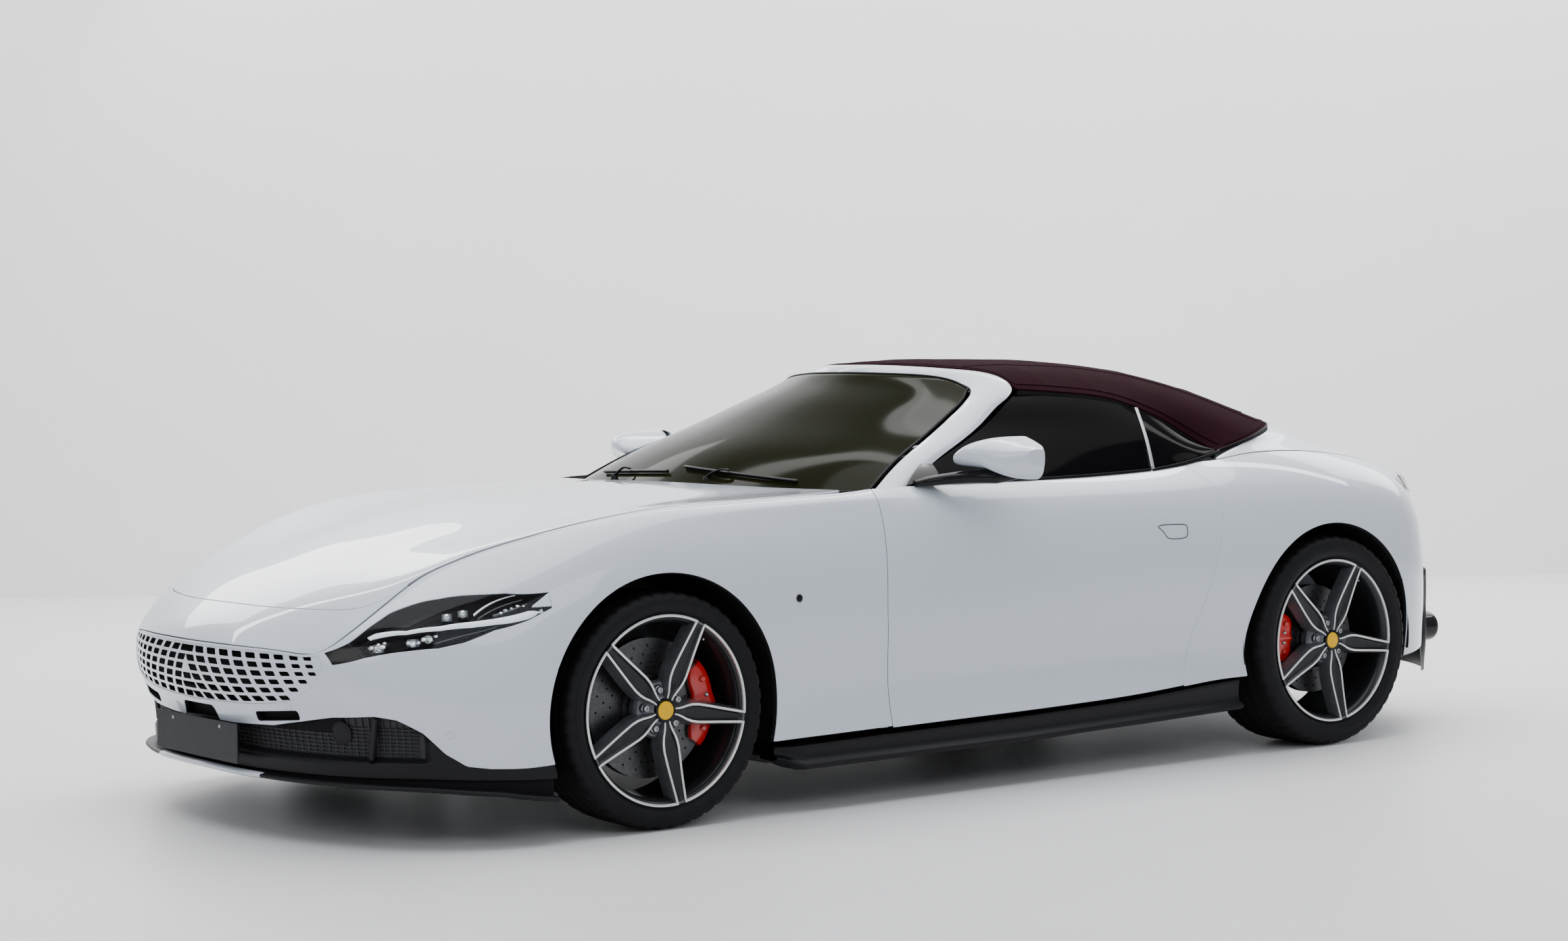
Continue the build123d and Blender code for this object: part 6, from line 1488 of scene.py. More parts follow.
for s0, s1, t0, t1 in ((.155, .46, .045, .10), (.50, .80, .07, .055)):
    q = np.linspace(0, 1, 40)
    P, n_ = on_glass(s0 + (s1 - s0) * q, t0 + (t1 - t0) * q, 10)
    V, F = tube(P, 1, 10, sq=(9, 6), up=tuple(n_[20])); B.add(V, F, None, 0)
    V, F = tube(P - n_ * 5, 1, 8, sq=(4, 7), up=tuple(n_[20])); B.add(V, F, None, 1)
    mid = P[20]
    piv = np.array([mid[0] + 26, mid[1] - (90 if s0 < .3 else 60), mid[2] - 26])
    arm = [piv + [0, 0, 10], piv + [-2, 20, 22], mid + n_[20] * 12 + [8, -20, 0], mid + n_[20] * 8]
    V, F = tube(curve(arm, 24), 1, 10, sq=(12, 6)); B.add(V, F, None, 0)
    V, F, N = revolve([(0.001, 14), (9, 13), (12, 8), (13, -30)], 24, "z", centre=tuple(piv)); B.add(V, F, N, 0)
B.obj("wiper_set", [TRIM, SEAL], rep="wipers", slot="black_trim")

# ------------------------------------------------------------------ soft top
E_ = [(-312,591,1208.5),(-404,607,1202),(-520,628,1192),(-653,650,1174),(-776,670,1136),(-880,690,1089),(-966,722,1033),(-1024,770,992)]
C_ = [(-104,0,1293.5),(-250,0,1303),(-420,0,1306),(-600,0,1303.5),(-780,0,1294),(-950,0,1275),(-1100,0,1247),(-1250,0,1208),(-1390,0,1163),(-1510,0,1121),(-1622,0,1083)]
H_ = [(-104,0,1293.5),(-114,100,1292.5),(-166,240,1287.5),(-234,400,1275.5),(-286,500,1255.5),(-312,591,1208.5)]
B_ = [(-1622,0,1083),(-1604,200,1081),(-1552,400,1077),(-1470,560,1070),(-1380,648,1060),(-1294,704,1047),(-1210,742,1031),(-1110,762,1010),(-1024,770,992)]
NS, NT = 121, 65
ss, tq = np.linspace(0, 1, NS), np.linspace(0, 1, NT)
Cc, Ec, Hc, Bc = curve(C_, NS), curve(E_, NS), curve(H_, NT), curve(B_, NT)
tt = tq[None, :, None]
def across(s_, pz):
    c, e = Cc[s_][:, None], Ec[s_][:, None]
    q = tq[None, :]
    return np.stack([c[..., 0] + (e - c)[..., 0] * q ** 2.0, e[..., 1] * q, c[..., 2] + (e - c)[..., 2] * q ** pz], 2)
pz = np.interp(ss, [0, .3, .6, 1], [2.8, 2.6, 2.5, 2.4])[:, None]
X = across(np.arange(NS), pz)
w1, w0 = smooth(ss)[:, None, None] ** 1.5, (1 - smooth(ss * 1.6))[:, None, None]
ST = X + w1 * (Bc - X[-1])[None] + w0 * (Hc - X[0])[None]
ST0 = ST.copy()
# the cloth stands a little over its bows and sinks between them
n = gnorm(ST); n = n * np.sign(n[40, 20, 2])
bows = sum(np.exp(-((ss - c) / .022) ** 2) for c in (.16, .36, .56)) * 1.6 - 1.2 * np.sin(np.pi * np.clip(ss / .62, 0, 1)) ** 2
ed = smooth((1 - tq) / .12)
ST = ST + n * (bows[:, None] * ed[None])[..., None]
ST = np.concatenate([(ST * [1, -1, 1])[:, ::-1], ST[:, 1:]], 1)
flip = gnorm(ST)[40, 60, 2] < 0
# rear window opening: leave out the cells inside a rounded outline
nS, nT = ST.shape[:2]
si = (np.arange(nS) / (nS - 1))[:, None]; tj = ((np.arange(nT) / (nT - 1)) * 2 - 1)[None]
def win_sd(a, b, m=0.0):
    qa, qb = np.abs(a - .83) - .09 - m + .03, (np.abs(b) - .46 - m) * .55 + .03
    return np.hypot(np.maximum(qa, 0), np.maximum(qb, 0)) + np.minimum(np.maximum(qa, qb), 0) - .03
Wp = np.stack([np.repeat(si, nT, 1).ravel(), np.repeat(tj, nS, 0).ravel()], 1)
idx = lambda i, j: i * nT + j
Q = [[idx(i, j), idx(i+1, j), idx(i+1, j+1), idx(i, j+1)] for i in range(nS-1) for j in range(nT-1)]
def st_eval(W, lift=0.0):
    a, b = W[:, 0] * (nS - 1), (W[:, 1] + 1) / 2 * (nT - 1)
    i, j = np.clip(a.astype(int), 0, nS - 2), np.clip(b.astype(int), 0, nT - 2)
    x, y = (a - i)[:, None], (b - j)[:, None]
    def ev(A): return A[i, j]*(1-x)*(1-y) + A[i+1, j]*x*(1-y) + A[i, j+1]*(1-x)*y + A[i+1, j+1]*x*y
    P = ev(ST); n = ev(gnorm(ST) * (-1 if flip else 1)); n /= np.linalg.norm(n, axis=1, keepdims=True)
    return P + n * lift, n
def shellpiece(B, W, Q, t, r=2.0, lift=0.0, mi=0, mi_in=0):
    used = sorted({k for p in Q for k in p}); new = {k: i for i, k in enumerate(used)}
    W = W[used]; Q = [[new[k] for k in p] for p in Q]
    P, n = st_eval(W, lift)
    if flip: Q = [q[::-1] for q in Q]
    B.add(P, Q, n, mi); B.add(P - n * t, [q[::-1] for q in Q], -n, mi_in)
    seen = set()
    for p in Q: seen.update(zip(p, p[1:] + p[:1]))
    bd = [(a, b) for a, b in seen if (b, a) not in seen]
    E = np.array(bd); ids = np.unique(E); pos = {int(k): i for i, k in enumerate(ids)}
    tg = P[E[:, 1]] - P[E[:, 0]]; d = np.cross(tg, n[E[:, 0]]); d /= np.maximum(np.linalg.norm(d, axis=1, keepdims=True), 1e-9)
    acc = np.zeros((len(ids), 3))
    for (a, b), x in zip(bd, d): acc[pos[a]] += x; acc[pos[b]] += x
    acc /= np.maximum(np.linalg.norm(acc, axis=1, keepdims=True), 1e-9)
    p, nn = P[ids], n[ids]
    rows, nr = [p], [nn]
    for ang in (30, 60, 90, 120, 150, 180):
        c, s = math.cos(math.radians(ang)), math.sin(math.radians(ang))
        rows.append(p + acc * r * s - nn * (t / 2) * (1 - c)); nr.append(nn * c + acc * s)
    m = len(ids); F = []
    for a, b in bd:
        i, j = pos[a], pos[b]
        for k in range(len(rows) - 1): F.append([k*m + j, k*m + i, (k+1)*m + i, (k+1)*m + j])
    B.add(np.vstack(rows), F, np.vstack(nr), mi)
W2, Q2 = drop(Wp, Q, [lambda W: win_sd(W[:, 0], W[:, 1])])
B = Build(); shellpiece(B, W2, Q2, 12, r=4)
roof = B.obj("soft_top_cloth", [CLOTH], rep="soft_top", slot="roof_cloth")
W3, Q3 = keep(Wp, Q, lambda W: win_sd(W[:, 0], W[:, 1], -.004))
B = Build(); shellpiece(B, W3, Q3, 5, r=1, lift=-2)
B.obj("rear_window_glass", [SGLASS], slot="tinted_glass")
# stitched seams of the hood
B = Build()
def seam(B, W, lift=.4, r=1.6, mi=0, closed=False):
    P, n = st_eval(np.array(W), lift); V, F = tube(P, 1, 8, closed=closed, sq=(6, 2.4)); B.add(V, F, None, mi)
for sgn_ in (-1, 1):
    seam(B, [(a, sgn_ * (.60 - .05 * a)) for a in np.linspace(.012, .97, 110)])
    seam(B, [(a, sgn_ * .955) for a in np.linspace(.02, .97, 110)], r=1.2)
seam(B, [(.985, b) for b in np.linspace(-.93, .93, 120)])
seam(B, [(.018, b) for b in np.linspace(-.95, .95, 120)])
th = np.linspace(0, 2*np.pi, 140, endpoint=False)
def ringp(m):
    out = []
    for t_ in th:
        c, s = math.cos(t_), math.sin(t_)
        e = .35
        out.append((.83 + (.09 + m) * np.sign(s) * abs(s) ** e, (.46 + m * 1.8) * np.sign(c) * abs(c) ** e))
    return out
seam(B, ringp(.012), closed=True)
B.obj("soft_top_seams", [CLOTH], slot="roof_cloth")
# rubber seal under the hood's side edges
B = Build()
P, n = st_eval(np.array([(a, 1.0) for a in np.linspace(0, 1, 120)]))
V, F = tube(P + n * -10 + [0, 0, -11], 1, 12, sq=(13, 27), up=(0, 0, 1)); B.add(V, F)
B.both().obj("roof_side_seals", [SEAL])
B = Build()
P, n = st_eval(np.array([(1.0, b) for b in np.linspace(-1, 1, 160)]))
V, F = tube(P + [0, 0, -6], 1, 10, sq=(9, 12)); B.add(V, F)
B.obj("roof_rear_seal", [SEAL])

# ------------------------------------------------------------------ side glass
def quad(bottom, top, front, rear, n=60, m=28, bulge=6.0):
    Bt, T, L, Rr = curve(bottom, n), curve(top, n), curve(front, m), curve(rear, m)
    P = coons(Bt, T, L, Rr)
    s, t = np.meshgrid(np.linspace(0, 1, n), np.linspace(0, 1, m), indexing="ij")
    nn = gnorm(P); sg = np.sign(nn[n//2, m//2, 1])
    return P + nn * sg * (bulge * 4 * t * (1-t))[..., None], sg < 0
A, Bq, Cq, Dq = (318,816,934), (-676,815,942), (-744,668,1138), (-302,588,1188)
dg, fl = quad([A, (150,818,931), (-100,818,930), (-400,817,933), Bq], [Dq, (-400,604,1188), (-520,626,1179), (-640,646,1163), Cq],
              [A, (160,752,990), (6,699,1042), (-128,652,1096), (-226,620,1150), Dq], [Bq, (-706,752,1035), Cq])
qg, fq = quad([(-692,815,946), (-800,812,958), (-900,806,974), (-1000,786,990)], [(-758,670,1130), (-862,690,1084), (-944,722,1032), (-1004,768,996)],
              [(-692,815,946), (-722,752,1035), (-758,670,1130)], [(-1000,786,990), (-1004,768,996)], bulge=3)
for sd, nm in ((1, "left"), (-1, "right")):
    B = Build(); plate(B, dg, 5, r=1, flip=fl)
    (B if sd > 0 else B.move((0, 0, 0), True)).obj(f"door_window_{nm}", [SGLASS], f"door_{nm}_body", rep=f"door_glass_{nm}", slot="tinted_glass")
    # burgundy-black waist strip on the door and the black corner piece in front of the glass
    B = Build()
    path = curve([(330,822,929), (150,824,927), (-100,824,927), (-400,823,930), (-672,821,938)], 90)
    V, F = tube(path, 1, 12, sq=(8, 9)); B.add(V, F, None, 0)
    tri = np.array([(352,838,925),(196,812,931),(196,776,972),(238,776,965)], float)
    G2 = np.array([[(345,826,926),(300,826,934),(212,822,932)],[(300,800,956),(262,798,958),(204,800,960)],[(238,762,986),(226,764,986),(200,770,984)]], float)
    Gs = np.array([[coons(curve(G2[0],8),curve(G2[2],8),curve(G2[:,0],8),curve(G2[:,2],8))]])[0,0]
    Gs = Gs + [0, 6, 2]
    plate(B, Gs, 6, r=2, flip=gnorm(Gs)[4, 4, 1] < 0, mi=1)
    (B if sd > 0 else B.move((0, 0, 0), True)).obj(f"door_waist_trim_{nm}", [SEAL, BLACK], f"door_{nm}_body", slot="black_trim")
B = Build(); plate(B, qg, 5, r=1, flip=fq)
B.both().obj("rear_side_windows", [SGLASS], rep="rear_windows", slot="tinted_glass")
B = Build()
pl = curve([(-684,820,940), (-716,757,1032), (-752,672,1134)], 30)
V, F = tube(pl + [0, 2, 0], 1, 12, sq=(9, 13), up=(1, 0, 0)); B.add(V, F)
B.both().obj("window_divider_bars", [STEEL])
B = Build()
path = curve([(-684,822,938), (-800,819,951), (-900,813,967), (-1000,793,984), (-1030,776,988)], 60)
V, F = tube(path, 1, 12, sq=(8, 10)); B.add(V, F)
B.both().obj("quarter_waist_trim", [SEAL])

# ------------------------------------------------------------------ mirrors
ys = np.array([882, 890, 908, 942, 985, 1022, 1045, 1070, 1089.])
xf = np.array([196, 212, 226, 228, 214, 188, 164, 128, 84.])
xr = np.array([60, 42, 26, 18, 14, 12, 12, 16, 28.])
zt = np.array([1007, 1022, 1040, 1062, 1071, 1058, 1049, 1040, 1029.])
zb = np.array([972, 970, 968, 966, 961, 942, 937, 951, 982.])
yy = np.linspace(0, 8, 49)
def ci(a): return curve(np.stack([np.arange(9.) * 1.0, a], 1), yy / 8)[:, 1]
ysf, xff, xrf, ztf, zbf = [np.interp(yy, np.arange(9), a) for a in (ys, xf, xr, zt, zb)]
k3 = np.ones(5) / 5
def sm(a): 
    p = np.concatenate([[a[0]] * 2, a, [a[-1]] * 2]); return np.convolve(p, k3, "valid")
ysf, xff, xrf, ztf, zbf = map(sm, (ysf, xff, xrf, ztf, zbf))
th = np.linspace(0, 2*np.pi, 56, endpoint=False)
G = np.zeros((49, 56, 3))
for i in range(49):
    xc, zc = xrf[i], (ztf[i] + zbf[i]) / 2
    a, h = xff[i] - xrf[i], (ztf[i] - zbf[i]) / 2
    c, s = np.cos(th), np.sin(th)
    ex = np.where(c > 0, np.abs(c) ** .80 * a, -np.abs(c) ** .5 * 10)
    ez = np.sign(s) * np.abs(s) ** .78 * h
    G[i, :, 0] = xc + ex; G[i, :, 1] = ysf[i]; G[i, :, 2] = zc + ez + 5 * np.maximum(c, 0)
for sd, nm in ((1, "left"), (-1, "right")):
    B = Build()
    V, F, N = gridmesh(G, closed_j=True)
    cen = V.mean(0)
    if (N * (V - cen)).sum() < 0: F, N = [f[::-1] for f in F], -N
    B.add(V, F, N, 0)
    for e_i, fl_ in ((0, False), (48, True)):
        ring = G[e_i]; c0 = ring.mean(0)
        Vc = np.vstack([ring, c0 + [0, -3 if e_i == 0 else 3, 0]]); Fc = [[k, (k+1) % 56, 56] for k in range(56)]
        Nc = np.tile([0, -1.0 if e_i == 0 else 1.0, 0], (57, 1))
        if np.dot(np.cross(Vc[1] - Vc[0], Vc[56] - Vc[0]), Nc[0]) < 0: Fc = [f[::-1] for f in Fc]
        B.add(Vc, Fc, Nc, 0)
    # mirror glass on the rear face
    th_g = np.linspace(0, 2*np.pi, 72, endpoint=False)
    def face_ring(k, x_):
        # follows the outline of the housing
        cy, cz = 990, 1008
        ry = np.where(np.cos(th_g) > 0, 84, 92); rz = 54
        c_, s__ = np.cos(th_g), np.sin(th_g)
        yv = cy + np.sign(c_) * np.abs(c_) ** .8 * ry * k
        zv = cz + np.sign(s__) * np.abs(s__) ** .8 * rz * k - (yv - cy) * .16
        return np.stack([np.full(72, float(x_)), yv, zv], 1)
    rings = [face_ring(k_, x_) for k_, x_ in ((1.0, 16), (1.0, 8), (.985, 5), (.95, 3.6), (.92, 4.2), (.905, 6.5))]
    V = np.vstack(rings); F = [[i*72 + j, i*72 + (j+1) % 72, (i+1)*72 + (j+1) % 72, (i+1)*72 + j] for i in range(5) for j in range(72)]
    n0 = vertex_normals(V, F)
    if n0[72*2:72*4, 0].sum() > 0: F = [f[::-1] for f in F]; n0 = -n0
    B.add(V, F, n0, 1)
    V = np.vstack([face_ring(.91, 5.5), [[5.0, 990, 1008]]]); F = [[j, (j+1) % 72, 72] for j in range(72)]
    if np.cross(V[1] - V[0], V[72] - V[0])[0] > 0: F = [f[::-1] for f in F]
    B.add(V, F, np.tile([-1.0, 0, 0], (73, 1)), 2)
    # black foot and arm
    pts = [(318,828,931), (272,846,938), (214,880,945), (165,925,949), (110,968,948), (56,1008,945)]
    p = curve(pts, 40)
    w = np.interp(np.linspace(0, 1, 40), [0, .15, .5, .8, 1], [15, 24, 33, 34, 9])
    V = []; 
    for i in range(40):
        tng = p[min(i+1, 39)] - p[max(i-1, 0)]; tng /= np.linalg.norm(tng)
        s1 = np.cross(tng, [0, 0, 1]); s1 /= np.linalg.norm(s1)
        for t_ in np.linspace(0, 2*np.pi, 16, endpoint=False):
            V.append(p[i] + s1 * math.copysign(abs(math.cos(t_)) ** .6, math.cos(t_)) * w[i] * 1.25 + np.array([0, 0, 1]) * math.copysign(abs(math.sin(t_)) ** .8, math.sin(t_)) * w[i] * .62)
    V = np.array(V); F = [[i*16 + j, i*16 + (j+1) % 16, (i+1)*16 + (j+1) % 16, (i+1)*16 + j] for i in range(39) for j in range(16)]
    F += [list(range(16))[::-1], [39*16 + j for j in range(16)]]
    n0 = vertex_normals(V, F)
    if (n0 * (V - p.mean(0))).sum() < 0: F = [f[::-1] for f in F]; n0 = -n0
    B.add(V, F, n0, 1)
    V, F = tube(curve([(250,868,950),(200,892,954),(150,930,958),(100,965,958)], 20), 1, 8, sq=(3, 4)); B.add(V, F, None, 3)
    (B if sd > 0 else B.move((0, 0, 0), True)).obj(f"door_mirror_{nm}", [PAINT, BLACK, MIRRORG, CHROME], f"door_{nm}_body", rep=f"mirror_{nm}", slot="paint")

# ------------------------------------------------------------------ sills
B = Build()
xs = np.linspace(905, -950, 80)
top = np.interp(xs, [-950, -900, -700, -480, 0, 500, 905], [250, 248, 234, 220, 208, 201, 194])
bot = np.interp(xs, [-950, 0, 905], [150, 128, 122])
rows = []
for x, tz, bz in zip(xs, top, bot):
    flare = 1.0
    yb = 948
    rows.append([(x, 826, bz), (x, 900, bz - 2), (x, 944, bz + 2), (x, 957, bz + 8), (x, 959, bz + 15), (x, 952, bz + 22), (x, 938, bz + 30), (x, 934, bz + 45), (x, 937, tz - 14), (x, 940, tz - 4), (x, 934, tz), (x, 880, tz + 4), (x, 826, tz + 4), (x, 826, bz)])
G = np.array(rows, float)
kt = smooth((905 - xs) / 75)[:, None]
G[:, :, 1] = 826 + (G[:, :, 1] - 826) * (.62 + .38 * kt)
G[:, :, 2] = G[:, 9:10, 2] + (G[:, :, 2] - G[:, 9:10, 2]) * (.55 + .45 * kt)
keepi = (np.hypot(xs - AX_F, top - HUB_F) > ARCH_F + 3) & (np.hypot(xs - AX_R, bot + 20 - HUB_R) > ARCH_R - 8)
G = G[keepi]
V, F, N = gridmesh(G)
cen = G.mean((0, 1))
if (N * (V - cen)).sum() < 0: F, N = [f[::-1] for f in F], -N
B.add(V, F, N)
for e_i in (0, -1):
    P_ = G[e_i][:-1]; Fc = [list(range(len(P_)))]
    B.add(P_, Fc if e_i else [Fc[0][::-1]], np.tile([-1.0 if e_i else 1.0, 0, 0], (len(P_), 1)))
B.both().obj("side_skirts", [TRIM], rep="side_sills", slot="black_trim")

# ------------------------------------------------------------------ wheels
def wheel_parts(R, hw):
    k = hw / 122.5
    tyre, rim = Build(), Build()
    # carcass with rounded shoulders and a grooved tread
    side = [(262,-104*k),(268,-108*k),(275,-111*k),(284,-118*k),(296,-121.8*k),(308,-122.5*k),(R-22,-120.5*k),(R-14,-117*k),(R-8,-111*k),(R-4,-103*k)]
    tread = []
    gro = [-66*k, -23*k, 23*k, 66*k]
    edge = [-96*k]
    for g in gro:
        tread += [(None, g - 5.2), ("g", g - 4), ("g", g + 4), (None, g + 5.2)]
    def rad(y): return R - 3.2 * (abs(y) / (98*k)) ** 2.4
    pr = list(side) + [(rad(-96*k), -96*k)]
    for t_, y in tread:
        pr.append((rad(y) if t_ is None else R - 8.5, y))
    pr += [(rad(96*k), 96*k)] + [(a, -b) for a, b in side[::-1]]
    n = 192
    P = np.array(pr)
    th = np.linspace(0, 2*np.pi, n, endpoint=False)
    G = np.zeros((len(P), n, 3))
    rr = np.repeat(P[:, :1], n, 1)
    # shoulder blocks: narrow cross grooves every 12 steps / 4 wide lugs
    cut = (np.arange(n) % 4 == 0)
    for i, (a, y) in enumerate(P):
        if 84*k < abs(y) < 119*k and a > R - 16:
            rr[i, cut] -= 5.0
    G[..., 0] = rr * np.cos(th); G[..., 2] = rr * np.sin(th); G[..., 1] = P[:, 1:2]
    V = G.reshape(-1, 3)
    F = [[i*n + j, i*n + (j+1) % n, (i+1)*n + (j+1) % n, (i+1)*n + j] for i in range(len(P) - 1) for j in range(n)]
    f0 = F[0]
    if np.dot(np.cross(V[f0[1]] - V[f0[0]], V[f0[2]] - V[f0[0]]), [0, -1, 0]) < 0: F = [f[::-1] for f in F]
    tyre.add(V, F)
    for y_ in (1, -1):          # moulded rings on the sidewall
        for r_ in (281, R - 27):
            yr = np.interp(r_, [262, 275, 284, 296, 308, R - 22], [104*k, 111*k, 118*k, 121.8*k, 122.5*k, 120.5*k])
            v, f, nn = revolve([(r_ - 2, yr - 1.2), (r_ - 1, yr + .8), (r_ + 1, yr + .8), (r_ + 2, yr - 1.2)], 160, "y")
            if y_ < 0: v, nn, f = v * [1, -1, 1], nn * [1, -1, 1], [q[::-1] for q in f]
            tyre.add(v, f, nn)
    y1 = 116 * k
    # barrel with lip
    V, F, N = revolve([(264, y1 - 7), (266.5, y1 - 1.2), (268, y1), (270.2, y1 - .8), (271, y1 - 4), (270.5, 108*k), (256, 104*k), (253, 96*k), (253, -96*k), (256, -104*k), (270.5, -108*k), (271, -y1), (266, -y1), (250, -106*k), (246, -60*k), (246, 60*k), (250, y1 - 24), (257, y1 - 12), (262, y1 - 8.6), (264, y1 - 7)], 160, "y")
    rim.add(V, F, N, 1)
    # spoke face by trimming a polar net to the windows
    ra = np.concatenate([np.linspace(31, 60, 9), np.linspace(64, 262.5, 50)])
    nt = 360
    tha = np.linspace(0, 2*np.pi, nt, endpoint=False)
    RR, TH = np.meshgrid(ra, tha, indexing="ij")
    W = np.stack([RR.ravel(), TH.ravel()], 1)
    Q = [[i*nt + j, (i+1)*nt + j, (i+1)*nt + (j+1) % nt, i*nt + (j+1) % nt] for i in range(len(ra) - 1) for j in range(nt)]
    # last column wraps: duplicate the seam so that angles stay continuous
    W = np.vstack([W, np.stack([ra, np.full(len(ra), 2*np.pi)], 1)])
    base = len(ra) * nt
    Q = [[(base + k_ // nt) if (k_ % nt == 0 and any(m % nt == nt - 1 for m in q)) else k_ for k_ in q] for q in Q]
    ph = math.radians(SPOKE_DEG)
    def half(r):
        return np.interp(r, [30, 46, 62, 78, 96, 116, 150, 190, 228, 262], [9.0, 11.5, 16.5, 22.5, 27.0, 28.4, 26.2, 22.8, 20.0, 17.6])
    def sd(W):
        """distance in mm to the edge of the nearest spoke, negative on it"""
        r, t_ = W[:, 0], W[:, 1]
        a = -t_ - 0.0
        d = (a - ph) / np.radians(72)
        d = (d - np.rint(d)) * np.radians(72)
        return np.abs(d) * r - half(r)
    def face_y(r):
        return y1 - 1.6 - 10.5 * (1 - (r / 262) ** 1.2) - 3.5 * np.sin(np.pi * np.clip((r - 30) / 232, 0, 1))
    W, Q = keep(W, Q, sd)
    def lw_(r): return np.interp(r, [30, 55, 100], [3.4, 5.2, 6.6])
    Wn, A_, B2 = split(W, Q, lambda W: sd(W) + lw_(W[:, 0]))
    # silver ring, broken where the spokes run into the rim
    rg = np.array([[262.0, y1 - 6], [262.8, y1 - .8], [264.0, y1 + .5], [269.2, y1 + .5], [270.4, y1 - .6], [270.9, y1 - 3]])
    nr_ = 720
    tr_ = np.linspace(0, 2*np.pi, nr_, endpoint=False)
    Vr = np.stack([rg[:, :1] * np.cos(tr_), np.repeat(rg[:, 1:], nr_, 1), rg[:, :1] * np.sin(tr_)], 2).reshape(-1, 3)
    tm = tr_ + np.pi / nr_
    on = sd(np.stack([np.full(nr_, 266.0), tm], 1)) > -7.0
    Fr = [[i*nr_ + j, i*nr_ + (j+1) % nr_, (i+1)*nr_ + (j+1) % nr_, (i+1)*nr_ + j] for i in range(5) for j in range(nr_) if on[j]]
    f0 = Fr[2 * int(on.sum())]
    if np.cross(Vr[f0[1]] - Vr[f0[0]], Vr[f0[2]] - Vr[f0[0]])[1] < 0: Fr = [f[::-1] for f in Fr]
    rim.add(Vr, Fr, None, 2)
    Fr = [[i*nr_ + j, i*nr_ + (j+1) % nr_, (i+1)*nr_ + (j+1) % nr_, (i+1)*nr_ + j] for i in range(5) for j in range(nr_) if not on[j]]
    f0 = Fr[2 * int((~on).sum())]
    Vd = Vr - [0, 1.2, 0]
    if np.cross(Vd[f0[1]] - Vd[f0[0]], Vd[f0[2]] - Vd[f0[0]])[1] < 0: Fr = [f[::-1] for f in Fr]
    rim.add(Vd, Fr, None, 0)
    # inner floor is sunk between the silver edges
    def floor_d(W):
        s_ = np.clip((-sd(W) - lw_(W[:, 0])) / 5.0, 0, 1)
        rr_ = .35 + .65 * smooth((W[:, 0] - 50) / 30) * smooth((262 - W[:, 0]) / 14)
        return 8.0 * smooth(s_) * rr_
    def pos(W, dy):
        r, t_ = W[:, 0], W[:, 1]
        return np.stack([r * np.cos(t_), face_y(r) - dy, r * np.sin(t_)], 1)
    def addp(Q, dyf, mi):
        used = sorted({q for p in Q for q in p}); new = {q: i for i, q in enumerate(used)}
        w = Wn[used]; V = pos(w, dyf(w)); F = [[new[q] for q in p] for p in Q]
        f0 = F[0]
        if np.cross(V[f0[1]] - V[f0[0]], V[f0[2]] - V[f0[0]])[1] < 0: F = [f[::-1] for f in F]
        rim.add(V, F, None, mi)
    addp(A_, floor_d, 1)
    addp(B2, lambda w: -0.5 + 0 * w[:, 0], 2)
    # flanks of the spokes, leaning into the windows
    bd = set()
    for p in A_ + B2: bd.update(zip(p, p[1:] + p[:1]))
    bd = [(a, b) for a, b in bd if (b, a) not in bd and abs(sd(Wn[[a, b]])).max() < .5]
    ids = sorted({a for e in bd for a in e}); ps = {a: i for i, a in enumerate(ids)}
    w = Wn[ids]
    eps = 1e-3
    g = (sd(w + [0, eps / 100]) - sd(w)) / (eps / 100)
    dirn = np.sign(g)
    tdir = np.stack([-np.sin(w[:, 1]), 0 * w[:, 1], np.cos(w[:, 1])], 1) * dirn[:, None]
    p0 = pos(w, -0.5 + 0 * w[:, 0])
    rows = [p0, p0 + tdir * .8 - [0, 1.2, 0], p0 + tdir * 5.5 - [0, 18, 0], p0 + tdir * 9.5 - [0, 44, 0]]
    V = np.vstack(rows); m = len(ids); F = []
    for a, b in bd:
        i, j = ps[a], ps[b]
        for q in range(3): F.append([q*m + i, (q+1)*m + i, (q+1)*m + j, q*m + j])
    c = np.vstack([np.zeros((0, 3))])
    N0 = vertex_normals(V, F)
    td4 = np.vstack([tdir] * 4)
    if (N0 * td4).sum() < 0: F = [f[::-1] for f in F]
    rim.add(V, F, None, 0)
    # hub with bolt pockets, bolts, cap
    yf = y1 - 16
    V, F, N = revolve([(34, yf - 2), (44, yf - 12), (78, yf - 24), (84, yf - 34), (80, yf - 60), (40, yf - 62)], 96, "y"); rim.add(V, F, N, 0)
    for i in range(5):
        a = np.radians(36 - SPOKE_DEG + 72 * i)
        cx, cz = 57.15 * math.cos(a), 57.15 * math.sin(a)
        V, F, N = revolve([(15.5, -19.5), (15.0, -17.5), (13, -17.2), (12.4, -24)], 32, "y", centre=(cx, yf, cz)); rim.add(V, F, N, 1)
        V, F, N = revolve([(12, -24), (11.5, -15), (9.5, -13.2), (9.2, -6), (8, -4.2), (5.5, -4.2), (5.2, -8), (0.01, -8)], 24, "y", centre=(cx, yf, cz)); rim.add(V, F, N, 3)
    V, F, N = revolve([(34.5, yf - 14), (34.5, yf + 5.0), (33, yf + 7.2), (27, yf + 7.6), (26.2, yf + 6.0)], 64, "y"); rim.add(V, F, N, 4)
    V, F, N = revolve([(26.4, yf + 5.8), (25.6, yf + 7.2), (16, yf + 8.6), (0.01, yf + 9.2)], 64, "y"); rim.add(V, F, N, 5)
    V, F, N = revolve([(0.01, 5.2), (3, 4.8), (3.4, 0)], 16, "y", centre=(235 * math.cos(2.2), y1 - 22, 235 * math.sin(2.2)))   # valve
    rim.add(V, F, N, 3)
    return tyre, rim
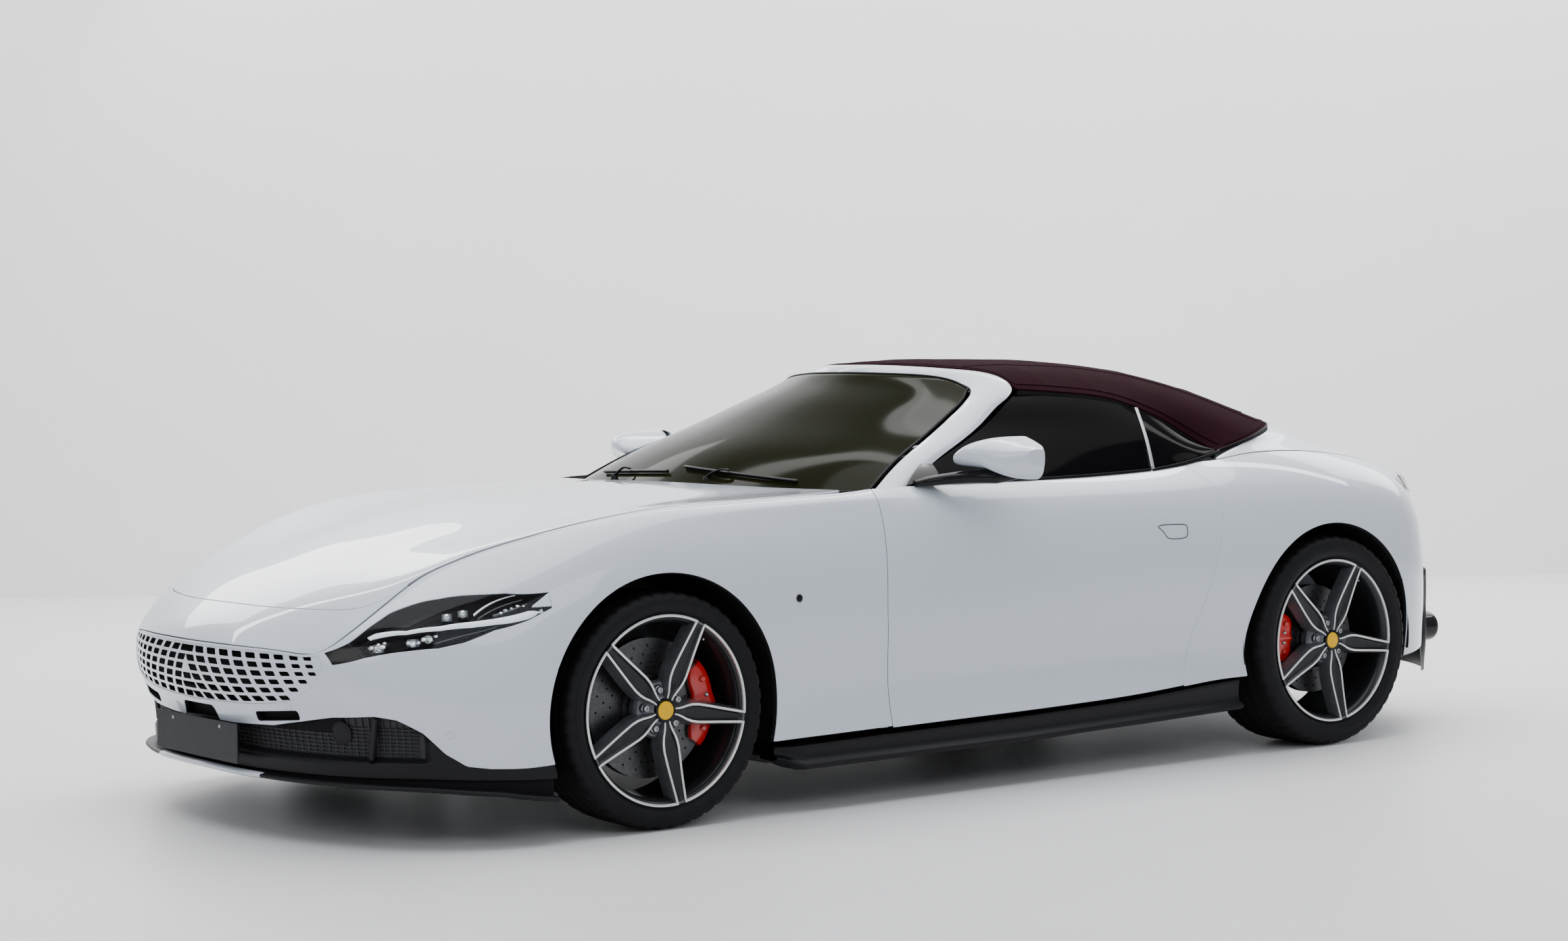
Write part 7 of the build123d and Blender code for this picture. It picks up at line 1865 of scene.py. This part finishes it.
for end, x, z, tr, tw_, R_, nm in (("front", AX_F, HUB_F, TRACK_F, TYRE_W_F, HUB_F, "f"), ("rear", AX_R, HUB_R, TRACK_R, TYRE_W_R, HUB_R, "r")):
    ty, ri = wheel_parts(R_, tw_ / 2)
    for sd_, s_nm in ((1, "left"), (-1, "right")):
        body = f"wheel_{end}_{s_nm}"
        d = (x, sd_ * tr / 2, z)
        ty.move(d, sd_ < 0).obj(f"tyre_tread_{end}_{s_nm}", [TYRE], body, rep=f"tyre_{end}_{s_nm}", slot="tyre_rubber")
        ri.move(d, sd_ < 0).obj(f"wheel_face_{end}_{s_nm}", [RIM, RIMB, CUT, STEEL, BLACK, YELLOW], body, rep=f"rim_{end}_{s_nm}", slot="rim_alloy")

# calipers: a shaped red body over each disc
def caliper_vis(R, y, a_mid, half):
    B = Build()
    n = 41
    s = np.linspace(-1, 1, n)
    ang = np.radians(a_mid) + np.radians(half) * s
    env = 1 - .35 * np.abs(s) ** 5
    bump = np.exp(-(s / .16) ** 2)
    rows = []
    for k in range(n):
        e, b = env[k], bump[k]
        ro = R + 20 * e + 6 * b; ri_ = R - 58 * e - 4 * b
        yo = y + 40 + 5 * b - 6 * (1 - e)
        yi = y - 44
        pr = [(ri_, y + 20), (ri_ + 2, yo - 10), (ri_ + 10, yo - 2), (ri_ + 24, yo), (ro - 26, yo - 1), (ro - 10, yo - 5), (ro - 2, yo - 14), (ro, y + 12), (ro, y - 20), (ro - 3, yi + 6), (ro - 16, yi), (ri_ + 12, yi), (ri_, yi + 8), (ri_, y - 22), (R + 6, y - 21), (R + 7, y + 21)]
        rows.append([(r * math.cos(ang[k]), q, r * math.sin(ang[k])) for r, q in pr])
    G = np.array(rows)
    V, F, N = gridmesh(G, closed_j=True)
    cen = G.mean((0, 1))
    F = [f for f in F]
    if (N * (V - cen)).sum() < 0: F, N = [f[::-1] for f in F], -N
    B.add(V, F, N, 0)
    for e_i, sg_ in ((0, -1), (n - 1, 1)):
        P_ = G[e_i]; c0 = P_.mean(0)
        t_ = np.array([-math.sin(ang[e_i]), 0, math.cos(ang[e_i])]) * sg_
        Fc = [list(range(len(P_)))]
        nn = np.cross(P_[1] - P_[0], P_[4] - P_[0])
        if np.dot(nn, t_) < 0: Fc = [Fc[0][::-1]]
        B.add(P_, Fc, np.tile(t_, (len(P_), 1)), 0)
    for sx in (-.62, -.22, .22, .62):       # body bolts and piston caps
        a_ = np.radians(a_mid) + np.radians(half) * sx
        for rad_, rr_, mi_ in ((R - 14, 9 if abs(sx) > .4 else 6, 0),):
            V, F, N = revolve([(0.01, 5), (rr_ - 2, 5), (rr_, 3), (rr_ + 1, -6)], 20, "y", centre=(rad_ * math.cos(a_), y + 42, rad_ * math.sin(a_)))
            B.add(V, F, N, mi_ if abs(sx) > .4 else 1)
    return B
for end, x, z, tr, dr, a_mid, f_ in (("front", AX_F, HUB_F, TRACK_F, 199.0, 0, 0), ("rear", AX_R, HUB_R, TRACK_R, 180.0, 0, 0)):
    hw = (TYRE_W_F if end == "front" else TYRE_W_R) / 2
    f = 116 * hw / 122.5 - 26
    y = f - 48 - 40
    # behind the front axle, ahead of the rear one
    C0 = caliper_vis(dr, y, 180.0, 36) if end == "front" else caliper_vis(dr, y, 5.0, 26)
    if end == "front":
        for sd_, s_nm in ((1, "left"), (-1, "right")):
            C0.move((x, sd_ * tr / 2, z), sd_ < 0).obj(f"brake_caliper_front_{s_nm}", [RED, STEEL], f"hub_carrier_{s_nm}", rep=f"caliper_front_{s_nm}", slot="caliper_red")
    else:
        Bc_ = Build()
        for sd_ in (1, -1):
            m_ = C0.move((x, sd_ * tr / 2, z), sd_ < 0); Bc_.add(np.vstack(m_.V), m_.F, np.vstack(m_.N), m_.M)
        Bc_.obj("brake_calipers_rear", [RED, STEEL], rep="rear_calipers", slot="caliper_red")
# drilled discs: dark dots on the disc faces, painted shade standing in for the holes
for end, x, z, tr, dr in (("front", AX_F, HUB_F, TRACK_F, 199.0), ("rear", AX_R, HUB_R, TRACK_R, 180.0)):
    hw = (TYRE_W_F if end == "front" else TYRE_W_R) / 2
    y = 116 * hw / 122.5 - 26 - 88
    for sd_, s_nm in ((1, "left"), (-1, "right")):
        B = Build()
        for i in range(48):
            for q, rr_ in enumerate((dr - 22, dr - 46, dr - 70)):
                a = 2 * np.pi * (i + q * .33) / 48
                if (i + q) % 2: continue
                V, F, N = revolve([(3.6, 16.0), (3.2, 16.5), (0.01, 16.4)], 10, "y", centre=(rr_ * math.cos(a), y, rr_ * math.sin(a))); B.add(V, F, N, 0)
        B.move((x, sd_ * tr / 2, z), sd_ < 0).obj(f"disc_hole_shade_dots_{end}_{s_nm}", [DARK], f"wheel_{end}_{s_nm}")

# ------------------------------------------------------------------ cabin
def cushion(name, P, mats, body="chassis", rep=None):
    V, F, N = gridmesh(P, closed_j=True)
    cen = V.mean(0)
    if (N * (V - cen)).sum() < 0: F, N = [f[::-1] for f in F], -N
    B = Build(); B.add(V, F, N, 0)
    for e_i in (0, P.shape[0] - 1):
        ring = P[e_i]; c0 = ring.mean(0); m_ = len(ring)
        Vc = np.vstack([ring, c0]); Fc = [[q, (q+1) % m_, m_] for q in range(m_)]
        out = c0 - P[1 if e_i == 0 else -2].mean(0)
        if np.dot(np.cross(Vc[1] - Vc[0], Vc[m_] - Vc[0]), out) < 0: Fc = [f[::-1] for f in Fc]
        B.add(Vc, Fc, None, 0)
    o = B.obj(name, mats, body, rep=rep or ())
    return o
def seat_surface(y0, path, w, th, bol, n=44, m=40, pinch=4):
    """padded form along a path in the x-z plane: width, thickness and bolster height along it"""
    p = curve(path, n)
    tg = np.gradient(p, axis=0); tg /= np.linalg.norm(tg, axis=1, keepdims=True)
    nx = np.stack([tg[:, 1], -tg[:, 0]], 1)          # front side normal in x-z
    s = np.linspace(0, 1, n)
    wv, tv, bv = np.interp(s, *w), np.interp(s, *th), np.interp(s, *bol)
    endr = np.minimum(1, np.sqrt(np.clip(1 - (np.abs(2*s - 1) - .86).clip(0) ** 2 / .14 ** 2, 0.03, 1)))
    a = np.linspace(0, 2*np.pi, m, endpoint=False)
    G = np.zeros((n, m, 3))
    for i in range(n):
        c, sn = np.cos(a), np.sin(a)
        yy_ = np.sign(c) * np.abs(c) ** .55 * wv[i] * (.75 + .25 * endr[i])
        f = np.sign(sn) * np.abs(sn) ** .6 * tv[i] * endr[i]
        q = np.abs(yy_) / wv[i]
        front = (sn > 0)
        f = f + np.where(front, bv[i] * smooth((q - .55) / .3) - (1.0 * pinch) * np.exp(-((q - .56) / .05) ** 2) - .8 * pinch * np.exp(-(((s[i] * 6) % 1 - .5) / .09) ** 2) * smooth((.52 - q) / .08), 0)
        G[i, :, 0] = p[i, 0] + nx[i, 0] * f; G[i, :, 2] = p[i, 1] + nx[i, 1] * f; G[i, :, 1] = y0 + yy_
    return G
for y0, nm in ((375, "left"), (-375, "right")):
    g1 = seat_surface(y0, [(-735,372),(-640,360),(-480,362),(-330,378),(-232,372)], ([0,.5,1],[205,232,228]), ([0,.5,1],[52,58,52]), ([0,.3,.8,1],[10,30,34,14]))
    cushion(f"seat_base_{nm}", g1, [LEATHER], rep="front_seats" if nm == "left" else None)
    g2 = seat_surface(y0, [(-665,410),(-705,500),(-760,680),(-810,840),(-850,985)], ([0,.35,.8,1],[205,236,222,175]), ([0,.5,1],[52,54,36]), ([0,.3,.7,1],[24,46,34,6]))
    cushion(f"seat_back_{nm}", g2, [LEATHER])
    g3 = seat_surface(y0, [(-868,1015),(-876,1060),(-884,1110),(-886,1138)], ([0,.5,1],[95,118,92]), ([0,.5,1],[30,36,26]), ([0,1],[0,0]), n=22, m=32, pinch=0)
    cushion(f"headrest_{nm}", g3, [LEATHER])
    B = Build()
    for dy in (-45, 45):
        V, F = tube([(-858, y0 + dy, 960), (-868, y0 + dy, 1020)], 6, 12); B.add(V, F, None, 0)
    V, F, N = rbox(-720, -250, y0 - 200, y0 + 200, 250, 312, r=14); B.add(V, F, N, 1)
    B.obj(f"seat_frame_{nm}", [STEEL, TRIM2])
g1 = seat_surface(0, [(-1082,520),(-1040,500),(-990,500),(-950,492)], ([0,1],[545,555]), ([0,1],[48,52]), ([0,1],[0,0]), n=22, m=60, pinch=0)
cushion("rear_seat_base", g1, [LEATHER], rep="rear_seat")
g2 = seat_surface(0, [(-1066,560),(-1072,640),(-1078,760),(-1080,850)], ([0,1],[545,520]), ([0,1],[18,16]), ([0,1],[0,0]), n=22, m=60, pinch=0)
cushion("rear_seat_back", g2, [LEATHER])

# steering wheel in its own tilted plane
c0 = np.array([-70, 375, 770.]); axn = np.array([-math.sin(math.radians(66)), 0, math.cos(math.radians(66))])
e1 = np.array([0, 1.0, 0]); e2 = np.cross(axn, e1)
if e2[2] < 0: e2 = -e2
def sw(u, v, w=0.0): return c0 + e1 * u + e2 * v + axn * w
B = Build()
a = np.linspace(0, 2*np.pi, 120, endpoint=False)
rr = 178 - 10 * np.exp(-((a - 1.5*np.pi) / .45) ** 2)
pth = np.array([sw(r * math.cos(t_), r * math.sin(t_)) for r, t_ in zip(rr, a)])
V, F = tube(pth, 15, 16, closed=True, up=tuple(axn)); B.add(V, F, None, 0)
for pp, w_, mi in (([(-165, 8), (-110, 2), (-50, 0)], 34, 1), ([(165, 8), (110, 2), (50, 0)], 34, 1), ([(0, -162), (0, -110), (0, -50)], 30, 1)):
    V, F = tube([sw(u, v, -4) for u, v in pp], 1, 14, sq=(14, w_) , up=tuple(axn)); B.add(V, F, None, mi)
V, F, N = revolve([(0.01, 18), (40, 15), (56, 6), (60, -8), (46, -26), (0.01, -28)], 48, "z")
M = np.stack([e1, np.cross(axn, e1), axn]); B.add(V @ M + c0, F, N @ M, 0, flip=np.linalg.det(M) < 0)
V, F, N = revolve([(24, -20), (30, -60), (34, -130)], 32, "z"); B.add(V @ M + c0, F, N @ M, 2, flip=np.linalg.det(M) < 0)
for sx in (-1, 1):
    V, F, N = rbox(-20, 20, -48, 34, -3, 3, r=2.5); B.add((V + [sx * 128, 16, -40]) @ M + c0, F, N @ M, 3, flip=np.linalg.det(M) < 0)
B.obj("steering_wheel_rim", [LEATHER, TRIM, TRIM2, STEEL], "steering_wheel_body", rep="steering_wheel", slot="leather_dark")

# dashboard details and carpet
B = Build()
V, F, N = rbox(96, 108, 260, 500, 760, 850, r=5); B.add(V, F, N, 0)
V, F, N = rbox(60, 92, -90, 60, 640, 820, r=8); B.add(V, F, N, 0)
V, F, N = rbox(88, 104, -640, -300, 770, 810, r=6); B.add(V, F, N, 1)
for y in (640, -640, 150, -150):
    V, F, N = rbox(84, 104, y - 55, y + 55, 790, 838, r=8); B.add(V, F, N, 1)
V, F, N = revolve([(0.01, 30), (18, 28), (24, 18), (22, 0)], 32, "z", centre=(-150, 0, 600)); B.add(V, F, N, 2)
V, F, N = rbox(-430, -250, -75, 75, 486, 512, r=8); B.add(V, F, N, 2)
B.obj("dash_details", [SCREEN, TRIM, STEEL])
B = Build()
for y in (440, -440):
    for x0_, x1_, z_ in ((-860, 680, 153),):
        P_ = np.array([[(x_, y + yy_, z_ + 1.5 * math.sin(x_ * .05) * 0) for yy_ in np.linspace(-295, 300, 12)] for x_ in np.linspace(x0_, x1_, 20)])
        plate(B, P_[::-1], 3, r=1)
for yp, w_ in ((470, 40), (350, 60), (230, 70)):
    V, F, N = rbox(560, 580, yp - w_/2, yp + w_/2, 230, 320, r=5); B.add(V, F, N, 1)
B.obj("cabin_carpets", [CARPET, STEEL])

# ------------------------------------------------------------------ wheel arch liners, underside, small parts
B = Build()
for x, z, r, y0, y1_ in ((AX_F, HUB_F, ARCH_F + 3, 560, 935), (AX_R, HUB_R, ARCH_R + 3, 600, 955)):
    a = np.radians(np.linspace(-8, 188, 90))
    yy_ = np.linspace(y0, y1_ - 8, 14)
    G = np.zeros((90, 14, 3))
    for i, t_ in enumerate(a):
        xx, zz_ = x + r * math.cos(t_), z + r * math.sin(t_)
        G[i, :, 0] = xx; G[i, :, 2] = zz_; G[i, :, 1] = yy_
    uu = np.linspace(6, 28, 400)
    V, F, N = gridmesh(G)
    cen = np.array([x, 800, z])
    if (N * (cen - V)).sum() < 0: F, N = [f[::-1] for f in F], -N
    B.add(V, F, N)
B.both().obj("arch_liner_shells", [LINER], rep="arch_liners")
def carry(name, m):
    o = nodes[name]
    o.data.materials.clear()
    o.data.materials.append(m)
carry("floor_pan", PAN); carry("engine_block", ENGINE); carry("dashboard", LEATHER2)
carry("suspension_arms", ALLOY); carry("rear_knuckles", ALLOY)
for s_ in ("left", "right"):
    carry(f"knuckle_front_{s_}", ALLOY)
    for e_s in ("front", "rear"): carry(f"brake_disc_{e_s}_{s_}", DISC)

# ------------------------------------------------------------------ floor, backdrop, light, camera
def stage_mat(name, col, rough, spec=.5):
    return mat(name, col, rough=rough, var=.01, vscale=1.2, spec=spec)
FLOOR = stage_mat("studio_floor", (.74, .74, .745), .42)
WALL = stage_mat("studio_wall", (.82, .82, .825), .9)
def sheet_obj(name, pts, m):
    me = bpy.data.meshes.new(name)
    me.from_pydata(pts, [], [(0, 1, 2, 3)])
    me.materials.append(m)
    o = bpy.data.objects.new(name, me); bpy.context.scene.collection.objects.link(o)
sheet_obj("studio_floor", [(-60, -60, 0), (60, -60, 0), (60, 60, 0), (-60, 60, 0)], FLOOR)
fh = np.array([-.59758776, -.80087592, 0.]); fh /= np.linalg.norm(fh); sh = np.array([-fh[1], fh[0], 0])
wc = np.array([5.976878, 7.760206, 0]) + fh * 17.0
sheet_obj("studio_wall", [tuple(wc - sh * 16), tuple(wc + sh * 16), tuple(wc + sh * 16 + [0, 0, 9]), tuple(wc - sh * 16 + [0, 0, 9])], WALL)

world = bpy.data.worlds.new("studio"); bpy.context.scene.world = world; world.use_nodes = True
bg = world.node_tree.nodes["Background"]; bg.inputs["Color"].default_value = (.90, .93, .97, 1); bg.inputs["Strength"].default_value = .50
def arealight(name, loc, target, size, sizey, power, col=(1, 1, 1)):
    l = bpy.data.lights.new(name, "AREA"); l.shape = "RECTANGLE"; l.size, l.size_y = size, sizey; l.energy = power; l.color = col
    o = bpy.data.objects.new(name, l); bpy.context.scene.collection.objects.link(o)
    o.location = loc
    o.rotation_euler = (Vector(target) - Vector(loc)).to_track_quat("-Z", "Y").to_euler()
    return o
arealight("key_overhead", (0, 0, 6.0), (0, 0, 0), 11, 5.5, 640)
arealight("side_soft", (2.0, 9.5, 5.6), (0, 0, .4), 9, 3.2, 210, (.88, .94, 1))
arealight("nose_soft", (8.5, 1.5, 4.0), (1.5, 0, .4), 4, 2.6, 80)
arealight("rear_soft", (-8.0, -2.0, 4.4), (-1, 0, .5), 5, 3, 140)
arealight("far_side_soft", (0, -7.5, 4.6), (0, 0, .5), 6, 2, 160)
wl = wc - fh * 3.2
arealight("wall_wash", tuple(wl + [0, 0, 6.5]), tuple(wc + [0, 0, 1.6]), 18, 1.6, 900)

cam = bpy.data.cameras.new("camera"); cam.sensor_width = 36.0; cam.sensor_fit = "HORIZONTAL"
cam.lens = 4382.337 / 2320 * 36.0
cam.clip_end = 200
co = bpy.data.objects.new("camera", cam); bpy.context.scene.collection.objects.link(co)
right, up_, fwd = (-.80102593, .59843486, -.01527021), (-.03530328, -.02175970, .99913973), (-.59758776, -.80087592, -.03855680)
Mx = Matrix(((right[0], up_[0], -fwd[0], 5.976878), (right[1], up_[1], -fwd[1], 7.760206), (right[2], up_[2], -fwd[2], 1.322311), (0, 0, 0, 1)))
co.matrix_world = Mx
bpy.context.scene.camera = co
